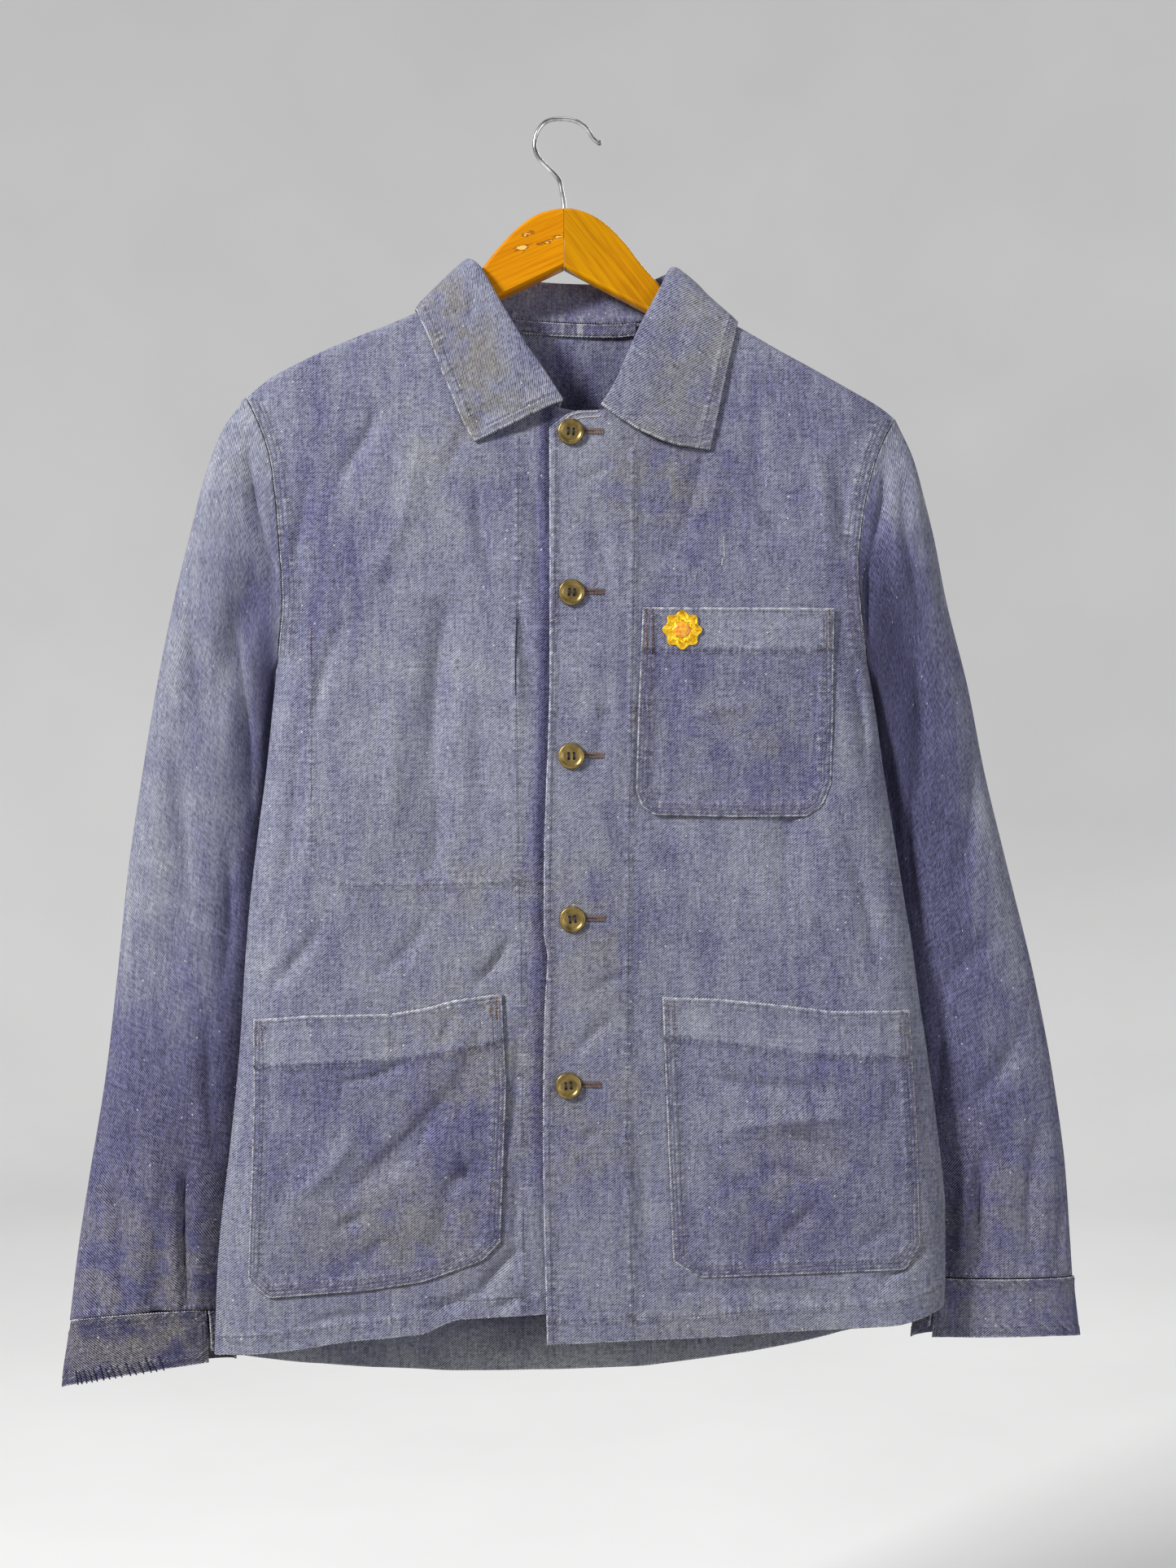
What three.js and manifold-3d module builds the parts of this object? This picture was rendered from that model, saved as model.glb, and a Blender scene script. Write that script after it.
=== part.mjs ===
import * as THREE from 'three';
import { mergeVertices } from 'three/addons/utils/BufferGeometryUtils.js';
import Module from 'manifold-3d';

// Chore jacket hanging on a wooden hanger, millimetres, +Z up.
// The origin is the inside top of the hook, where a rail or peg carries it.
// +X is the viewer's right, -Y faces the viewer, so "right" pieces (wearer's right) have x < 0.

const clothWall = 1.6;
const collarWall = 2;
const pocketWall = 1.4;
const pocketBandExtra = 0.7;
const seamGap = 0.32;
const lieGap = 0.55;
const lapForward = 3.2;
const lapFull = 26;
const lapFade = 44;
const underlapX = 22;

const boardThick = 14;
const boardChamfer = 3.2;
const boardDrop = 3.1;
const mitreGap = 0.3;
const wireRadius = 1.5;
const shankDepth = 20;
const hookBallRadius = 1.9;

const buttonRadius = 9;
const buttonThick = 3.2;
const buttonDish = 0.9;
const buttonHoleRadius = 0.95;
const buttonHolePitch = 3.6;

const badgeRadius = 13.5;
const badgeLobe = 1.1;
const badgeThick = 1.5;

// Ridge of the shoulders, run on across the neck opening as the line the cloth falls from.
const shoulderLine = [
  { x: -222, z: -191.5 }, { x: -204.5, z: -178.2 }, { x: -187.5, z: -169.2 }, { x: -165, z: -158.4 },
  { x: -142.5, z: -149 }, { x: -120, z: -140.3 }, { x: -101, z: -132 }, { x: -74, z: -121 },
  { x: -20, z: -97 }, { x: 0, z: -91 }, { x: 22, z: -97 }, { x: 82, z: -124.5 },
  { x: 118.5, z: -142 }, { x: 143.8, z: -156.5 }, { x: 172, z: -172 }, { x: 194.5, z: -184.8 },
  { x: 217, z: -197.6 }, { x: 230, z: -207.5 }
];

// Body edge from hem corner up to the underarm, then the armhole seam up to the shoulder tip.
const sideRight = [
  { z: -850, x: -240 }, { z: -790, x: -238 }, { z: -753, x: -235 }, { z: -711, x: -230 },
  { z: -634, x: -222.5 }, { z: -584, x: -219.5 }, { z: -540, x: -216 }, { z: -497, x: -211 },
  { z: -447, x: -204.5 }, { z: -387, x: -198.4 }, { z: -359, x: -195 }, { z: -333, x: -192.6 },
  { z: -301, x: -194.4 }, { z: -261, x: -198 }, { z: -236, x: -201.5 }, { z: -214, x: -208.5 },
  { z: -191, x: -219.5 }
];
const sideLeft = [
  { z: -815, x: 260 }, { z: -791, x: 261 }, { z: -748, x: 261 }, { z: -723, x: 259 },
  { z: -689, x: 255 }, { z: -637, x: 248 }, { z: -600, x: 242.5 }, { z: -566, x: 238 },
  { z: -540, x: 233.5 }, { z: -481, x: 224 }, { z: -447, x: 218.5 }, { z: -412, x: 213.8 },
  { z: -367, x: 206.3 }, { z: -332, x: 202 }, { z: -306, x: 200.6 }, { z: -285, x: 202.4 },
  { z: -265, x: 205.4 }, { z: -249, x: 209.3 }, { z: -235, x: 213.4 }, { z: -222, x: 218.8 },
  { z: -205.5, x: 227.5 }
];
const underarmZ = -372;

// How far the cloth stands before and behind the hanger plane, by the drop below the shoulder line.
const standOff = [
  { drop: 0, front: 10.5, back: 10.5 }, { drop: 60, front: 15, back: 15.5 },
  { drop: 150, front: 22, back: 17.5 }, { drop: 300, front: 28.5, back: 18 },
  { drop: 480, front: 33, back: 17 }, { drop: 640, front: 35.5, back: 16 },
  { drop: 800, front: 36.5, back: 16 }
];
const ridgeRadius = 9;
const ridgePower = 2.5;
const sideSeamY = -9;
const armholeFront = 11;
const armholeBack = 13;

// Hem lines of the three body panels.
const hemFrontRight = [
  { x: -240, z: -847.5 }, { x: -228, z: -844 }, { x: -216, z: -842.8 }, { x: -184, z: -839.6 }, { x: -152, z: -834.6 },
  { x: -112, z: -830.2 }, { x: -95.6, z: -828.2 }, { x: -81, z: -822 }, { x: -71.5, z: -818.7 },
  { x: -47, z: -817 }, { x: -12, z: -814.7 }, { x: 22, z: -813 }
];
const hemFrontLeft = [
  { x: -11.5, z: -834.3 }, { x: 29.5, z: -832.4 }, { x: 96, z: -830.2 }, { x: 166, z: -825.7 },
  { x: 225, z: -822 }, { x: 242.7, z: -818.2 }, { x: 260, z: -813.5 }
];
const hemBack = [
  { x: -240, z: -847.5 }, { x: -206, z: -856.5 }, { x: -174.5, z: -862 }, { x: -124.7, z: -864.8 },
  { x: -74.7, z: -866.5 }, { x: -13, z: -866 }, { x: 50, z: -863.7 }, { x: 90.7, z: -859.2 },
  { x: 121, z: -854.7 }, { x: 151, z: -849.3 }, { x: 190, z: -840 }, { x: 228, z: -828 },
  { x: 260, z: -813.5 }
];

// Front edge of the overlapping left front, and the curved top of its button stand.
const placketEdge = [
  { z: -834.3, x: -11.5 }, { z: -699, x: -14.3 }, { z: -628, x: -13.8 }, { z: -598, x: -12.7 },
  { z: -575, x: -11.3 }, { z: -557, x: -13.8 }, { z: -521, x: -13.8 }, { z: -379, x: -10 },
  { z: -215.5, x: -10.3 }
];
const standTop = [
  { x: 21, z: -203.4 }, { x: 9, z: -203.6 }, { x: 0.5, z: -206.5 }, { x: -5.5, z: -211 },
  { x: -10.3, z: -215.5 }
];

// Collar sections from the right front end, round the back, to the left front end:
// n neck seam, f fold, e outer edge, foldY depth of the fold, turn 0 front .. 180 back, sag of the fall.
const collarSections = [
  { nx: -3, nz: -201, fx: -0.4, fz: -196.8, ex: -61.4, ez: -225, foldY: -23.5, turn: 0, sag: 0 },
  { nx: -17, nz: -186, fx: -12.8, fz: -177, ex: -68.8, ez: -212, foldY: -21, turn: 0, sag: 0 },
  { nx: -34, nz: -167, fx: -25.5, fz: -158.5, ex: -75.5, ez: -196, foldY: -19, turn: 0, sag: 0 },
  { nx: -52, nz: -146.5, fx: -38, fz: -137.7, ex: -84, ez: -175.6, foldY: -17, turn: 4, sag: 0 },
  { nx: -64.5, nz: -132, fx: -47.7, fz: -120.4, ex: -91.2, ez: -156, foldY: -15, turn: 14, sag: 0 },
  { nx: -71.3, nz: -124, fx: -57, fz: -103.5, ex: -97.4, ez: -141, foldY: -11, turn: 36, sag: 0 },
  { nx: -73.2, nz: -121.7, fx: -61.5, fz: -98.5, ex: -100.2, ez: -133.8, foldY: -6.5, turn: 62, sag: 0 },
  { nx: -74, nz: -121, fx: -63.5, fz: -96.5, ex: -101.5, ez: -132.2, foldY: 0, turn: 90, sag: 0 },
  { nx: -73.2, nz: -121.7, fx: -63, fz: -97, ex: -100.5, ez: -133.8, foldY: 6, turn: 116, sag: 0 },
  { nx: -69, nz: -124.5, fx: -59.5, fz: -98.5, ex: -95.5, ez: -142, foldY: 12, turn: 138, sag: 0 },
  { nx: -54, nz: -130, fx: -48, fz: -101.5, ex: -80, ez: -152, foldY: 18.5, turn: 156, sag: 0 },
  { nx: -30, nz: -134.5, fx: -27, fz: -104.5, ex: -47, ez: -161, foldY: 22.5, turn: 172, sag: 0 },
  { nx: 2, nz: -136.5, fx: 0, fz: -106, ex: 0, ez: -165, foldY: 24, turn: 180, sag: 0 },
  { nx: 36, nz: -137.5, fx: 31, fz: -107, ex: 54, ez: -166, foldY: 22.5, turn: 188, sag: 0 },
  { nx: 61, nz: -134.5, fx: 55, fz: -106.5, ex: 93, ez: -160, foldY: 18.5, turn: 204, sag: 0 },
  { nx: 76.5, nz: -129, fx: 67.5, fz: -104, ex: 111, ez: -151, foldY: 12, turn: 222, sag: 0 },
  { nx: 81.2, nz: -125.2, fx: 71.8, fz: -102.5, ex: 116.4, ez: -143.4, foldY: 6, turn: 244, sag: 0 },
  { nx: 82, nz: -124.5, fx: 72.4, fz: -102, ex: 117.5, ez: -141.6, foldY: 0, turn: 270, sag: 0 },
  { nx: 81.2, nz: -125.3, fx: 70.5, fz: -105, ex: 117, ez: -143.6, foldY: -6.5, turn: 298, sag: 0 },
  { nx: 79.2, nz: -128.2, fx: 66.2, fz: -114.9, ex: 115, ez: -153, foldY: -11, turn: 324, sag: 0 },
  { nx: 73, nz: -138, fx: 57.4, fz: -132.3, ex: 111.6, ez: -170.6, foldY: -15, turn: 346, sag: 0 },
  { nx: 62, nz: -155.5, fx: 49.3, fz: -149.1, ex: 108.5, ez: -187.1, foldY: -18, turn: 356, sag: -1 },
  { nx: 50, nz: -173, fx: 41.2, fz: -168.4, ex: 105.3, ez: -202.6, foldY: -20.5, turn: 360, sag: -3 },
  { nx: 39, nz: -190, fx: 33, fz: -186.8, ex: 102, ez: -217.8, foldY: -23, turn: 360, sag: -5 },
  { nx: 27.5, nz: -203, fx: 24.5, fz: -200.3, ex: 99.2, ez: -230.2, foldY: -25.5, turn: 360, sag: -7.5 }
];
const shoulderSectionRight = 7;
const shoulderSectionLeft = 17;
const shoulderLeanX = 0.82;
const shoulderLeanZ = 0.57;

// Sleeve rings: o outer and i inner end of each flattened ring, cy its depth centre, half half-depth,
// lift how much the front of the ring rises, back how far its inner end goes behind the body.
const sleeveRight = [
  { ox: -219.5, oz: -191, ix: -193.3, iz: -372, cy: -4.5, half: 12, lift: 0, back: 0 },
  { ox: -237, oz: -218, ix: -199.5, iz: -388, cy: -3, half: 20, lift: 0, back: 6 },
  { ox: -249, oz: -253, ix: -199.8, iz: -402, cy: -1, half: 24, lift: 0, back: 9 },
  { ox: -258, oz: -287, ix: -200, iz: -420, cy: 1, half: 25, lift: 0, back: 11 },
  { ox: -269.5, oz: -332, ix: -201, iz: -445, cy: 4, half: 25, lift: 0, back: 10 },
  { ox: -282.5, oz: -393, ix: -204.5, iz: -485, cy: 8, half: 24, lift: 0, back: 7 },
  { ox: -292.5, oz: -451, ix: -208.5, iz: -530, cy: 10, half: 22, lift: 0, back: 4 },
  { ox: -302.3, oz: -515, ix: -212.5, iz: -580, cy: 11.5, half: 21, lift: 0, back: 2 },
  { ox: -310.5, oz: -592, ix: -217, iz: -640, cy: 12.5, half: 20, lift: 0, back: 0 },
  { ox: -318.8, oz: -662, ix: -221, iz: -698, cy: 13, half: 19, lift: 1, back: 0 },
  { ox: -330.2, oz: -732, ix: -226, iz: -750, cy: 13, half: 18, lift: 3, back: 0 },
  { ox: -338, oz: -783, ix: -230, iz: -789, cy: 13, half: 17, lift: 4.5, back: 0 },
  { ox: -343.7, oz: -831.5, ix: -232, iz: -824, cy: 13, half: 16, lift: 6, back: 0 }
];
const cuffRight = [
  { ox: -344.6, oz: -832, ix: -231.6, iz: -824.4, cy: 13, half: 16.5, lift: 6, back: 0 },
  { ox: -346.5, oz: -846, ix: -230.6, iz: -835, cy: 13, half: 16.8, lift: 6, back: 0 },
  { ox: -349, oz: -862, ix: -229.5, iz: -847, cy: 13, half: 17, lift: 5.5, back: 0 },
  { ox: -351, oz: -877.5, ix: -228.3, iz: -858, cy: 13, half: 17.3, lift: 5, back: 0 }
];
const sleeveLeft = [
  { ox: 227.5, oz: -205.5, ix: 207.2, iz: -372, cy: -4.5, half: 12, lift: 0, back: 0 },
  { ox: 240, oz: -233, ix: 210.8, iz: -388, cy: -3, half: 20, lift: 0, back: 6 },
  { ox: 247.5, oz: -260, ix: 211.8, iz: -402, cy: -1, half: 24, lift: 0, back: 9 },
  { ox: 255, oz: -289, ix: 212.8, iz: -420, cy: 1, half: 25, lift: 0, back: 11 },
  { ox: 263.5, oz: -330, ix: 215.2, iz: -445, cy: 4, half: 25, lift: 0, back: 10 },
  { ox: 279.5, oz: -391, ix: 220, iz: -485, cy: 8, half: 24, lift: 0, back: 7 },
  { ox: 291.5, oz: -450, ix: 225, iz: -530, cy: 10, half: 22, lift: 0, back: 4 },
  { ox: 307.5, oz: -515, ix: 231, iz: -580, cy: 11.5, half: 21, lift: 0, back: 2 },
  { ox: 326.5, oz: -592, ix: 238, iz: -638, cy: 12.5, half: 20, lift: 0, back: 0 },
  { ox: 340.2, oz: -664, ix: 244, iz: -692, cy: 13, half: 19, lift: 0, back: 0 },
  { ox: 348.4, oz: -726, ix: 247, iz: -738, cy: 13, half: 18, lift: 0, back: 0 },
  { ox: 351.3, oz: -769, ix: 246, iz: -773, cy: 13, half: 17, lift: 0.5, back: 0 },
  { ox: 353.2, oz: -799.3, ix: 244.5, iz: -799.3, cy: 13, half: 16, lift: 1, back: 0 }
];
const cuffLeft = [
  { ox: 354, oz: -799.9, ix: 244, iz: -799.9, cy: 13, half: 16.5, lift: 1, back: 0 },
  { ox: 355.3, oz: -813, ix: 243, iz: -813.5, cy: 13, half: 16.8, lift: 1.5, back: 0 },
  { ox: 356.9, oz: -827, ix: 242, iz: -828, cy: 13, half: 17, lift: 2.5, back: 0 },
  { ox: 358.5, oz: -841.4, ix: 241, iz: -842.6, cy: 13, half: 17.3, lift: 3.5, back: 0 }
];
const cuffSlitRight = 137;
const cuffSlitLeft = 142;
const cuffSlitWidth = 1.6;
const cuffTabRise = 8;

// Soft folds pressed into the cloth: a line from (x1, z1) to (x2, z2); depth > 0 sinks, < 0 rises.
const foldsFront = [
  { x1: -80, z1: -331, x2: -92, z2: -521, spread: 15, depth: 2.6 },
  { x1: -129, z1: -195, x2: -160, z2: -262, spread: 13, depth: 1.8 },
  { x1: -150, z1: -560, x2: -130, z2: -420, spread: 20, depth: -1.6 },
  { x1: 150, z1: -540, x2: 176, z2: -320, spread: 18, depth: 1.8 },
  { x1: 60, z1: -560, x2: 95, z2: -500, spread: 22, depth: -1.4 }
];
const foldsBack = [
  { x1: -120, z1: -210, x2: -70, z2: -480, spread: 24, depth: 3 },
  { x1: 110, z1: -215, x2: 84, z2: -520, spread: 24, depth: 3.2 },
  { x1: -20, z1: -560, x2: -34, z2: -800, spread: 26, depth: 2.4 },
  { x1: 120, z1: -610, x2: 140, z2: -800, spread: 22, depth: -2 }
];

// Folds of the sleeves: along the tube from..to (0 shoulder, 1 cuff), at an angle round it (90 front).
const foldsSleeveRight = [
  { from: 0.02, to: 0.42, at: 112, drift: -28, spread: 15, depth: 7 },
  { from: 0.2, to: 0.75, at: 60, drift: 20, spread: 18, depth: 3.5 },
  { from: 0.72, to: 1, at: 104, drift: -8, spread: 10, depth: 4 },
  { from: 0.15, to: 0.8, at: 265, drift: 20, spread: 20, depth: 4 }
];
const foldsSleeveLeft = [
  { from: 0.02, to: 0.35, at: 112, drift: -20, spread: 15, depth: 6 },
  { from: 0.3, to: 0.62, at: 140, drift: 4, spread: 13, depth: 8 },
  { from: 0.7, to: 1, at: 128, drift: 8, spread: 12, depth: 4 },
  { from: 0.15, to: 0.8, at: 268, drift: -20, spread: 20, depth: 4 }
];

// Patch pockets by their four edges; at is the place along the edge, 0 to 1.
const lowerPocketRight = {
  top: [
    { at: 0, x: -211, z: -616.7 }, { at: 0.22, x: -176.8, z: -613.7 }, { at: 0.56, x: -118, z: -612.4 },
    { at: 0.7, x: -94.7, z: -608.6 }, { at: 0.82, x: -73.9, z: -603 }, { at: 1, x: -42.1, z: -598.4 }
  ],
  bottom: [
    { at: 0, x: -213.2, z: -791.3 }, { at: 0.08, x: -199.3, z: -803.7 }, { at: 0.5, x: -132.6, z: -798.5 },
    { at: 0.7, x: -96, z: -793 }, { at: 0.92, x: -55, z: -778.6 }, { at: 1, x: -42.9, z: -765.6 }
  ],
  viewerLeft: [{ at: 0, x: -213.2, z: -791.3 }, { at: 0.6, x: -210.2, z: -675 }, { at: 1, x: -211, z: -616.7 }],
  viewerRight: [{ at: 0, x: -42.9, z: -765.6 }, { at: 0.6, x: -38.9, z: -660 }, { at: 1, x: -42.1, z: -598.4 }],
  bandFrom: 0.81
};
const lowerPocketLeft = {
  top: [
    { at: 0, x: 66, z: -601 }, { at: 0.22, x: 104.3, z: -602.2 }, { at: 0.5, x: 150.5, z: -606.9 },
    { at: 0.68, x: 181.2, z: -610.6 }, { at: 1, x: 234, z: -610.4 }
  ],
  bottom: [
    { at: 0, x: 73.2, z: -778.6 }, { at: 0.09, x: 90.7, z: -789.8 }, { at: 0.5, x: 165.8, z: -787.1 },
    { at: 0.92, x: 230, z: -784.6 }, { at: 1, x: 240, z: -768 }
  ],
  viewerLeft: [{ at: 0, x: 73.2, z: -778.6 }, { at: 0.55, x: 69.1, z: -679 }, { at: 1, x: 66, z: -601 }],
  viewerRight: [{ at: 0, x: 240, z: -768 }, { at: 0.5, x: 238.6, z: -694 }, { at: 1, x: 234, z: -610.4 }],
  bandFrom: 0.8
};
const chestPocket = {
  top: [{ at: 0, x: 53, z: -337.9 }, { at: 1, x: 183.5, z: -337.9 }],
  bottom: [
    { at: 0, x: 48.3, z: -462 }, { at: 0.06, x: 52.5, z: -473 }, { at: 0.13, x: 60.5, z: -478.6 },
    { at: 0.5, x: 115.4, z: -480 }, { at: 0.86, x: 164, z: -479.6 }, { at: 0.94, x: 174.5, z: -472.5 },
    { at: 1, x: 180.6, z: -457 }
  ],
  viewerLeft: [{ at: 0, x: 48.3, z: -462 }, { at: 0.45, x: 50.2, z: -403 }, { at: 1, x: 53, z: -337.9 }],
  viewerRight: [{ at: 0, x: 180.6, z: -457 }, { at: 0.4, x: 182.2, z: -410 }, { at: 1, x: 183.5, z: -337.9 }],
  bandFrom: 0.77
};
// Pocket bag sewn behind the right front; only its stitching shows outside.
const innerPocket = {
  top: [{ at: 0, x: -172.1, z: -345 }, { at: 1, x: 12, z: -345 }],
  bottom: [
    { at: 0, x: -170.5, z: -512 }, { at: 0.06, x: -159, z: -523.6 }, { at: 0.15, x: -144, z: -526.9 },
    { at: 1, x: 12, z: -523 }
  ],
  viewerLeft: [{ at: 0, x: -170.5, z: -512 }, { at: 1, x: -172.1, z: -345 }],
  viewerRight: [{ at: 0, x: 12, z: -523 }, { at: 1, x: 12, z: -345 }],
  bandFrom: 2
};

const buttonPlaces = [
  { x: 4.4, z: -218.6 }, { x: 5, z: -328 }, { x: 4.8, z: -438.7 }, { x: 5.6, z: -548.6 },
  { x: 2.9, z: -660.2 }
];
const badgePlace = { x: 79.7, z: -353.4 };

// Neck binding inside the back: its upper and lower edge below the shoulder's extended line.
const bindingEdges = [
  { x: -45, top: -132.4, low: -142 }, { x: -30, top: -134.8, low: -144 }, { x: 0, top: -136.8, low: -146 },
  { x: 34, top: -137.8, low: -147 }, { x: 50, top: -136.6, low: -145.5 }
];

// Outline of the board: crown over the neck, then arms under the shoulders.
const crown = [
  { x: -71, z: -125.5 }, { x: -65, z: -115.5 }, { x: -55.9, z: -101.5 }, { x: -44.3, z: -87 },
  { x: -30.7, z: -73.4 }, { x: -16.9, z: -64.8 }, { x: 0, z: -61.4 }, { x: 13.9, z: -64 },
  { x: 27.5, z: -71.7 }, { x: 41.3, z: -85.3 }, { x: 53.2, z: -100.8 }, { x: 65.3, z: -114.4 },
  { x: 76, z: -128 }
];
const boardTipRight = -199;
const boardTipLeft = 205;
const undersidePeak = { x: -0.6, z: -102.3 };
const undersideSlopeRight = 0.47;
const undersideSlopeLeft = 0.52;

// Wire hook: centre line from the shank up and over to the ball end.
const hookPath = [
  { x: -0.6, z: -58 }, { x: -2.2, z: -48.3 }, { x: -3.6, z: -41.6 }, { x: -6.7, z: -37.1 },
  { x: -10.7, z: -33.1 }, { x: -15.7, z: -28.1 }, { x: -19.1, z: -23.6 }, { x: -20.8, z: -18 },
  { x: -20.2, z: -11.2 }, { x: -18, z: -5.6 }, { x: -14, z: -1.1 }, { x: -8.4, z: 1.1 },
  { x: -2, z: 1.5 }, { x: 3.6, z: 1.1 }, { x: 9, z: -0.6 }, { x: 13.5, z: -3.4 },
  { x: 16.3, z: -6.7 }, { x: 19.1, z: -11.2 }, { x: 21.3, z: -13.6 }, { x: 25.2, z: -15.6 }
];

const wasm = await Module();
wasm.setup();

function clamp(value, low, high) {
  return Math.min(high, Math.max(low, value));
}

function smooth(value) {
  const v = clamp(value, 0, 1);
  return v * v * (3 - 2 * v);
}

function mix(a, b, k) {
  return a + (b - a) * k;
}

// Smooth curve through a table's rows, by the column key, sorted either way.
function through(table, key) {
  const rows = [...table].sort((a, b) => a[key] - b[key]);
  return (value, column) => {
    const v = clamp(value, rows[0][key], rows[rows.length - 1][key]);
    let i = 0;
    while (i < rows.length - 2 && v > rows[i + 1][key]) {
      i += 1;
    }
    const a = rows[i];
    const b = rows[i + 1];
    const before = rows[Math.max(0, i - 1)];
    const after = rows[Math.min(rows.length - 1, i + 2)];
    const span = b[key] - a[key];
    const k = (v - a[key]) / span;
    const slope = (b[column] - a[column]) / span;
    const slopeA = tangent(before, a, b, key, column, slope);
    const slopeB = tangent(a, b, after, key, column, slope);
    const k2 = k * k;
    const k3 = k2 * k;
    return (2 * k3 - 3 * k2 + 1) * a[column] + (k3 - 2 * k2 + k) * span * slopeA
      + (3 * k2 - 2 * k3) * b[column] + (k3 - k2) * span * slopeB;
  };
}

// Slope at the middle row, flattened at turning points so the curve never overshoots.
function tangent(before, here, after, key, column, fallback) {
  if (before === here || after === here) {
    return fallback;
  }
  const one = (here[column] - before[column]) / (here[key] - before[key]);
  const two = (after[column] - here[column]) / (after[key] - here[key]);
  return one * two <= 0 ? 0 : 2 * one * two / (one + two);
}

const shoulderAt = through(shoulderLine, 'x');
const rightEdgeAt = through(sideRight, 'z');
const leftEdgeAt = through(sideLeft, 'z');
const standOffAt = through(standOff, 'drop');

function edgeX(side, z) {
  return side < 0 ? rightEdgeAt(z, 'x') : leftEdgeAt(z, 'x');
}

function tipOf(side) {
  return side < 0 ? sideRight[sideRight.length - 1] : sideLeft[sideLeft.length - 1];
}

// Depth of the side seam and, above the underarm, of the front or back armhole seam.
function edgeY(side, z, face) {
  const tip = tipOf(side);
  const f = clamp((tip.z - z) / (tip.z - underarmZ), 0, 1);
  const round = 2 * Math.sqrt(f * (1 - f));
  const reach = face < 0 ? -armholeFront : armholeBack;
  return sideSeamY * f + reach * round;
}

// Quarter of a superellipse: 0 at the edge, 1 once `reach` inside it.
function roundOver(distance, reach, power) {
  if (distance >= reach) {
    return 1;
  }
  const rest = 1 - Math.max(0, distance) / reach;
  return Math.pow(1 - Math.pow(rest, power), 1 / power);
}

function foldOffset(folds, x, z) {
  let sum = 0;
  for (const fold of folds) {
    const dx = fold.x2 - fold.x1;
    const dz = fold.z2 - fold.z1;
    const k = ((x - fold.x1) * dx + (z - fold.z1) * dz) / (dx * dx + dz * dz);
    const along = clamp(k, 0, 1);
    const off = Math.hypot(x - fold.x1 - dx * along, z - fold.z1 - dz * along);
    const taper = Math.sqrt(clamp(1 - Math.pow(2 * clamp(k, 0, 1) - 1, 4), 0, 1));
    sum += fold.depth * taper * Math.exp(-Math.pow(off / fold.spread, 2));
  }
  return sum;
}

// Depth of the cloth's outer face: face -1 is the front, +1 the back.
function bodyY(x, z, face, lap) {
  const side = x < 5 ? -1 : 1;
  const drop = Math.max(0, shoulderAt(x, 'z') - z);
  const column = face < 0 ? 'front' : 'back';
  const ridge = roundOver(drop, ridgeRadius, ridgePower);
  let base = face * ridge * standOffAt(drop, column);
  const folds = face < 0 ? foldsFront : foldsBack;
  const calm = smooth(drop / 60);
  base -= face * calm * foldOffset(folds, x, z);
  const low = smooth((underarmZ + 25 - z) / 60);
  const reach = face < 0 ? mix(32, 42, low) : mix(36, 70, low);
  const power = face < 0 ? mix(1.35, 2, low) : mix(1.35, 1.3, low);
  const inside = (edgeX(side, z) - x) * side;
  const seam = edgeY(side, z, face);
  let y = mix(seam, base, roundOver(inside, reach, power));
  if (lap) {
    y -= lapForward * (1 - smooth((x - lapFull) / lapFade));
  }
  return y;
}

function frontRightY(x, z) {
  return bodyY(x, z, -1, false);
}

function frontLeftY(x, z) {
  return bodyY(x, z, -1, true);
}

function backY(x, z) {
  return bodyY(x, z, 1, false);
}

// A polyline walked by its own length, 0 to 1.
function walk(points) {
  const sums = [0];
  for (let i = 1; i < points.length; i += 1) {
    sums.push(sums[i - 1] + Math.hypot(points[i].x - points[i - 1].x, points[i].z - points[i - 1].z));
  }
  const total = sums[sums.length - 1];
  return (k) => {
    const target = clamp(k, 0, 1) * total;
    let i = 1;
    while (i < points.length - 1 && sums[i] < target) {
      i += 1;
    }
    const part = (target - sums[i - 1]) / (sums[i] - sums[i - 1]);
    return {
      x: mix(points[i - 1].x, points[i].x, part),
      z: mix(points[i - 1].z, points[i].z, part)
    };
  };
}

function straight(rows) {
  return (k) => {
    let i = 1;
    while (i < rows.length - 1 && rows[i].at < k) {
      i += 1;
    }
    const part = (k - rows[i - 1].at) / (rows[i].at - rows[i - 1].at);
    return {
      x: mix(rows[i - 1].x, rows[i].x, part),
      z: mix(rows[i - 1].z, rows[i].z, part)
    };
  };
}

// Surface spanned between four edges; s runs along bottom and top, t up the two sides.
function patch(bottom, top, first, last, sList, tList) {
  const c00 = bottom(0);
  const c10 = bottom(1);
  const c01 = top(0);
  const c11 = top(1);
  return tList.map((t) => sList.map((s) => {
    const b = bottom(s);
    const u = top(s);
    const l = first(t);
    const r = last(t);
    const blend = (axis) => (1 - t) * b[axis] + t * u[axis] + (1 - s) * l[axis] + s * r[axis]
      - (1 - s) * (1 - t) * c00[axis] - s * (1 - t) * c10[axis]
      - (1 - s) * t * c01[axis] - s * t * c11[axis];
    return { x: blend('x'), z: blend('z') };
  }));
}

function unit(v) {
  const length = Math.hypot(v[0], v[1], v[2]);
  return [v[0] / length, v[1] / length, v[2] / length];
}

function cross(a, b) {
  return [a[1] * b[2] - a[2] * b[1], a[2] * b[0] - a[0] * b[2], a[0] * b[1] - a[1] * b[0]];
}

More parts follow.
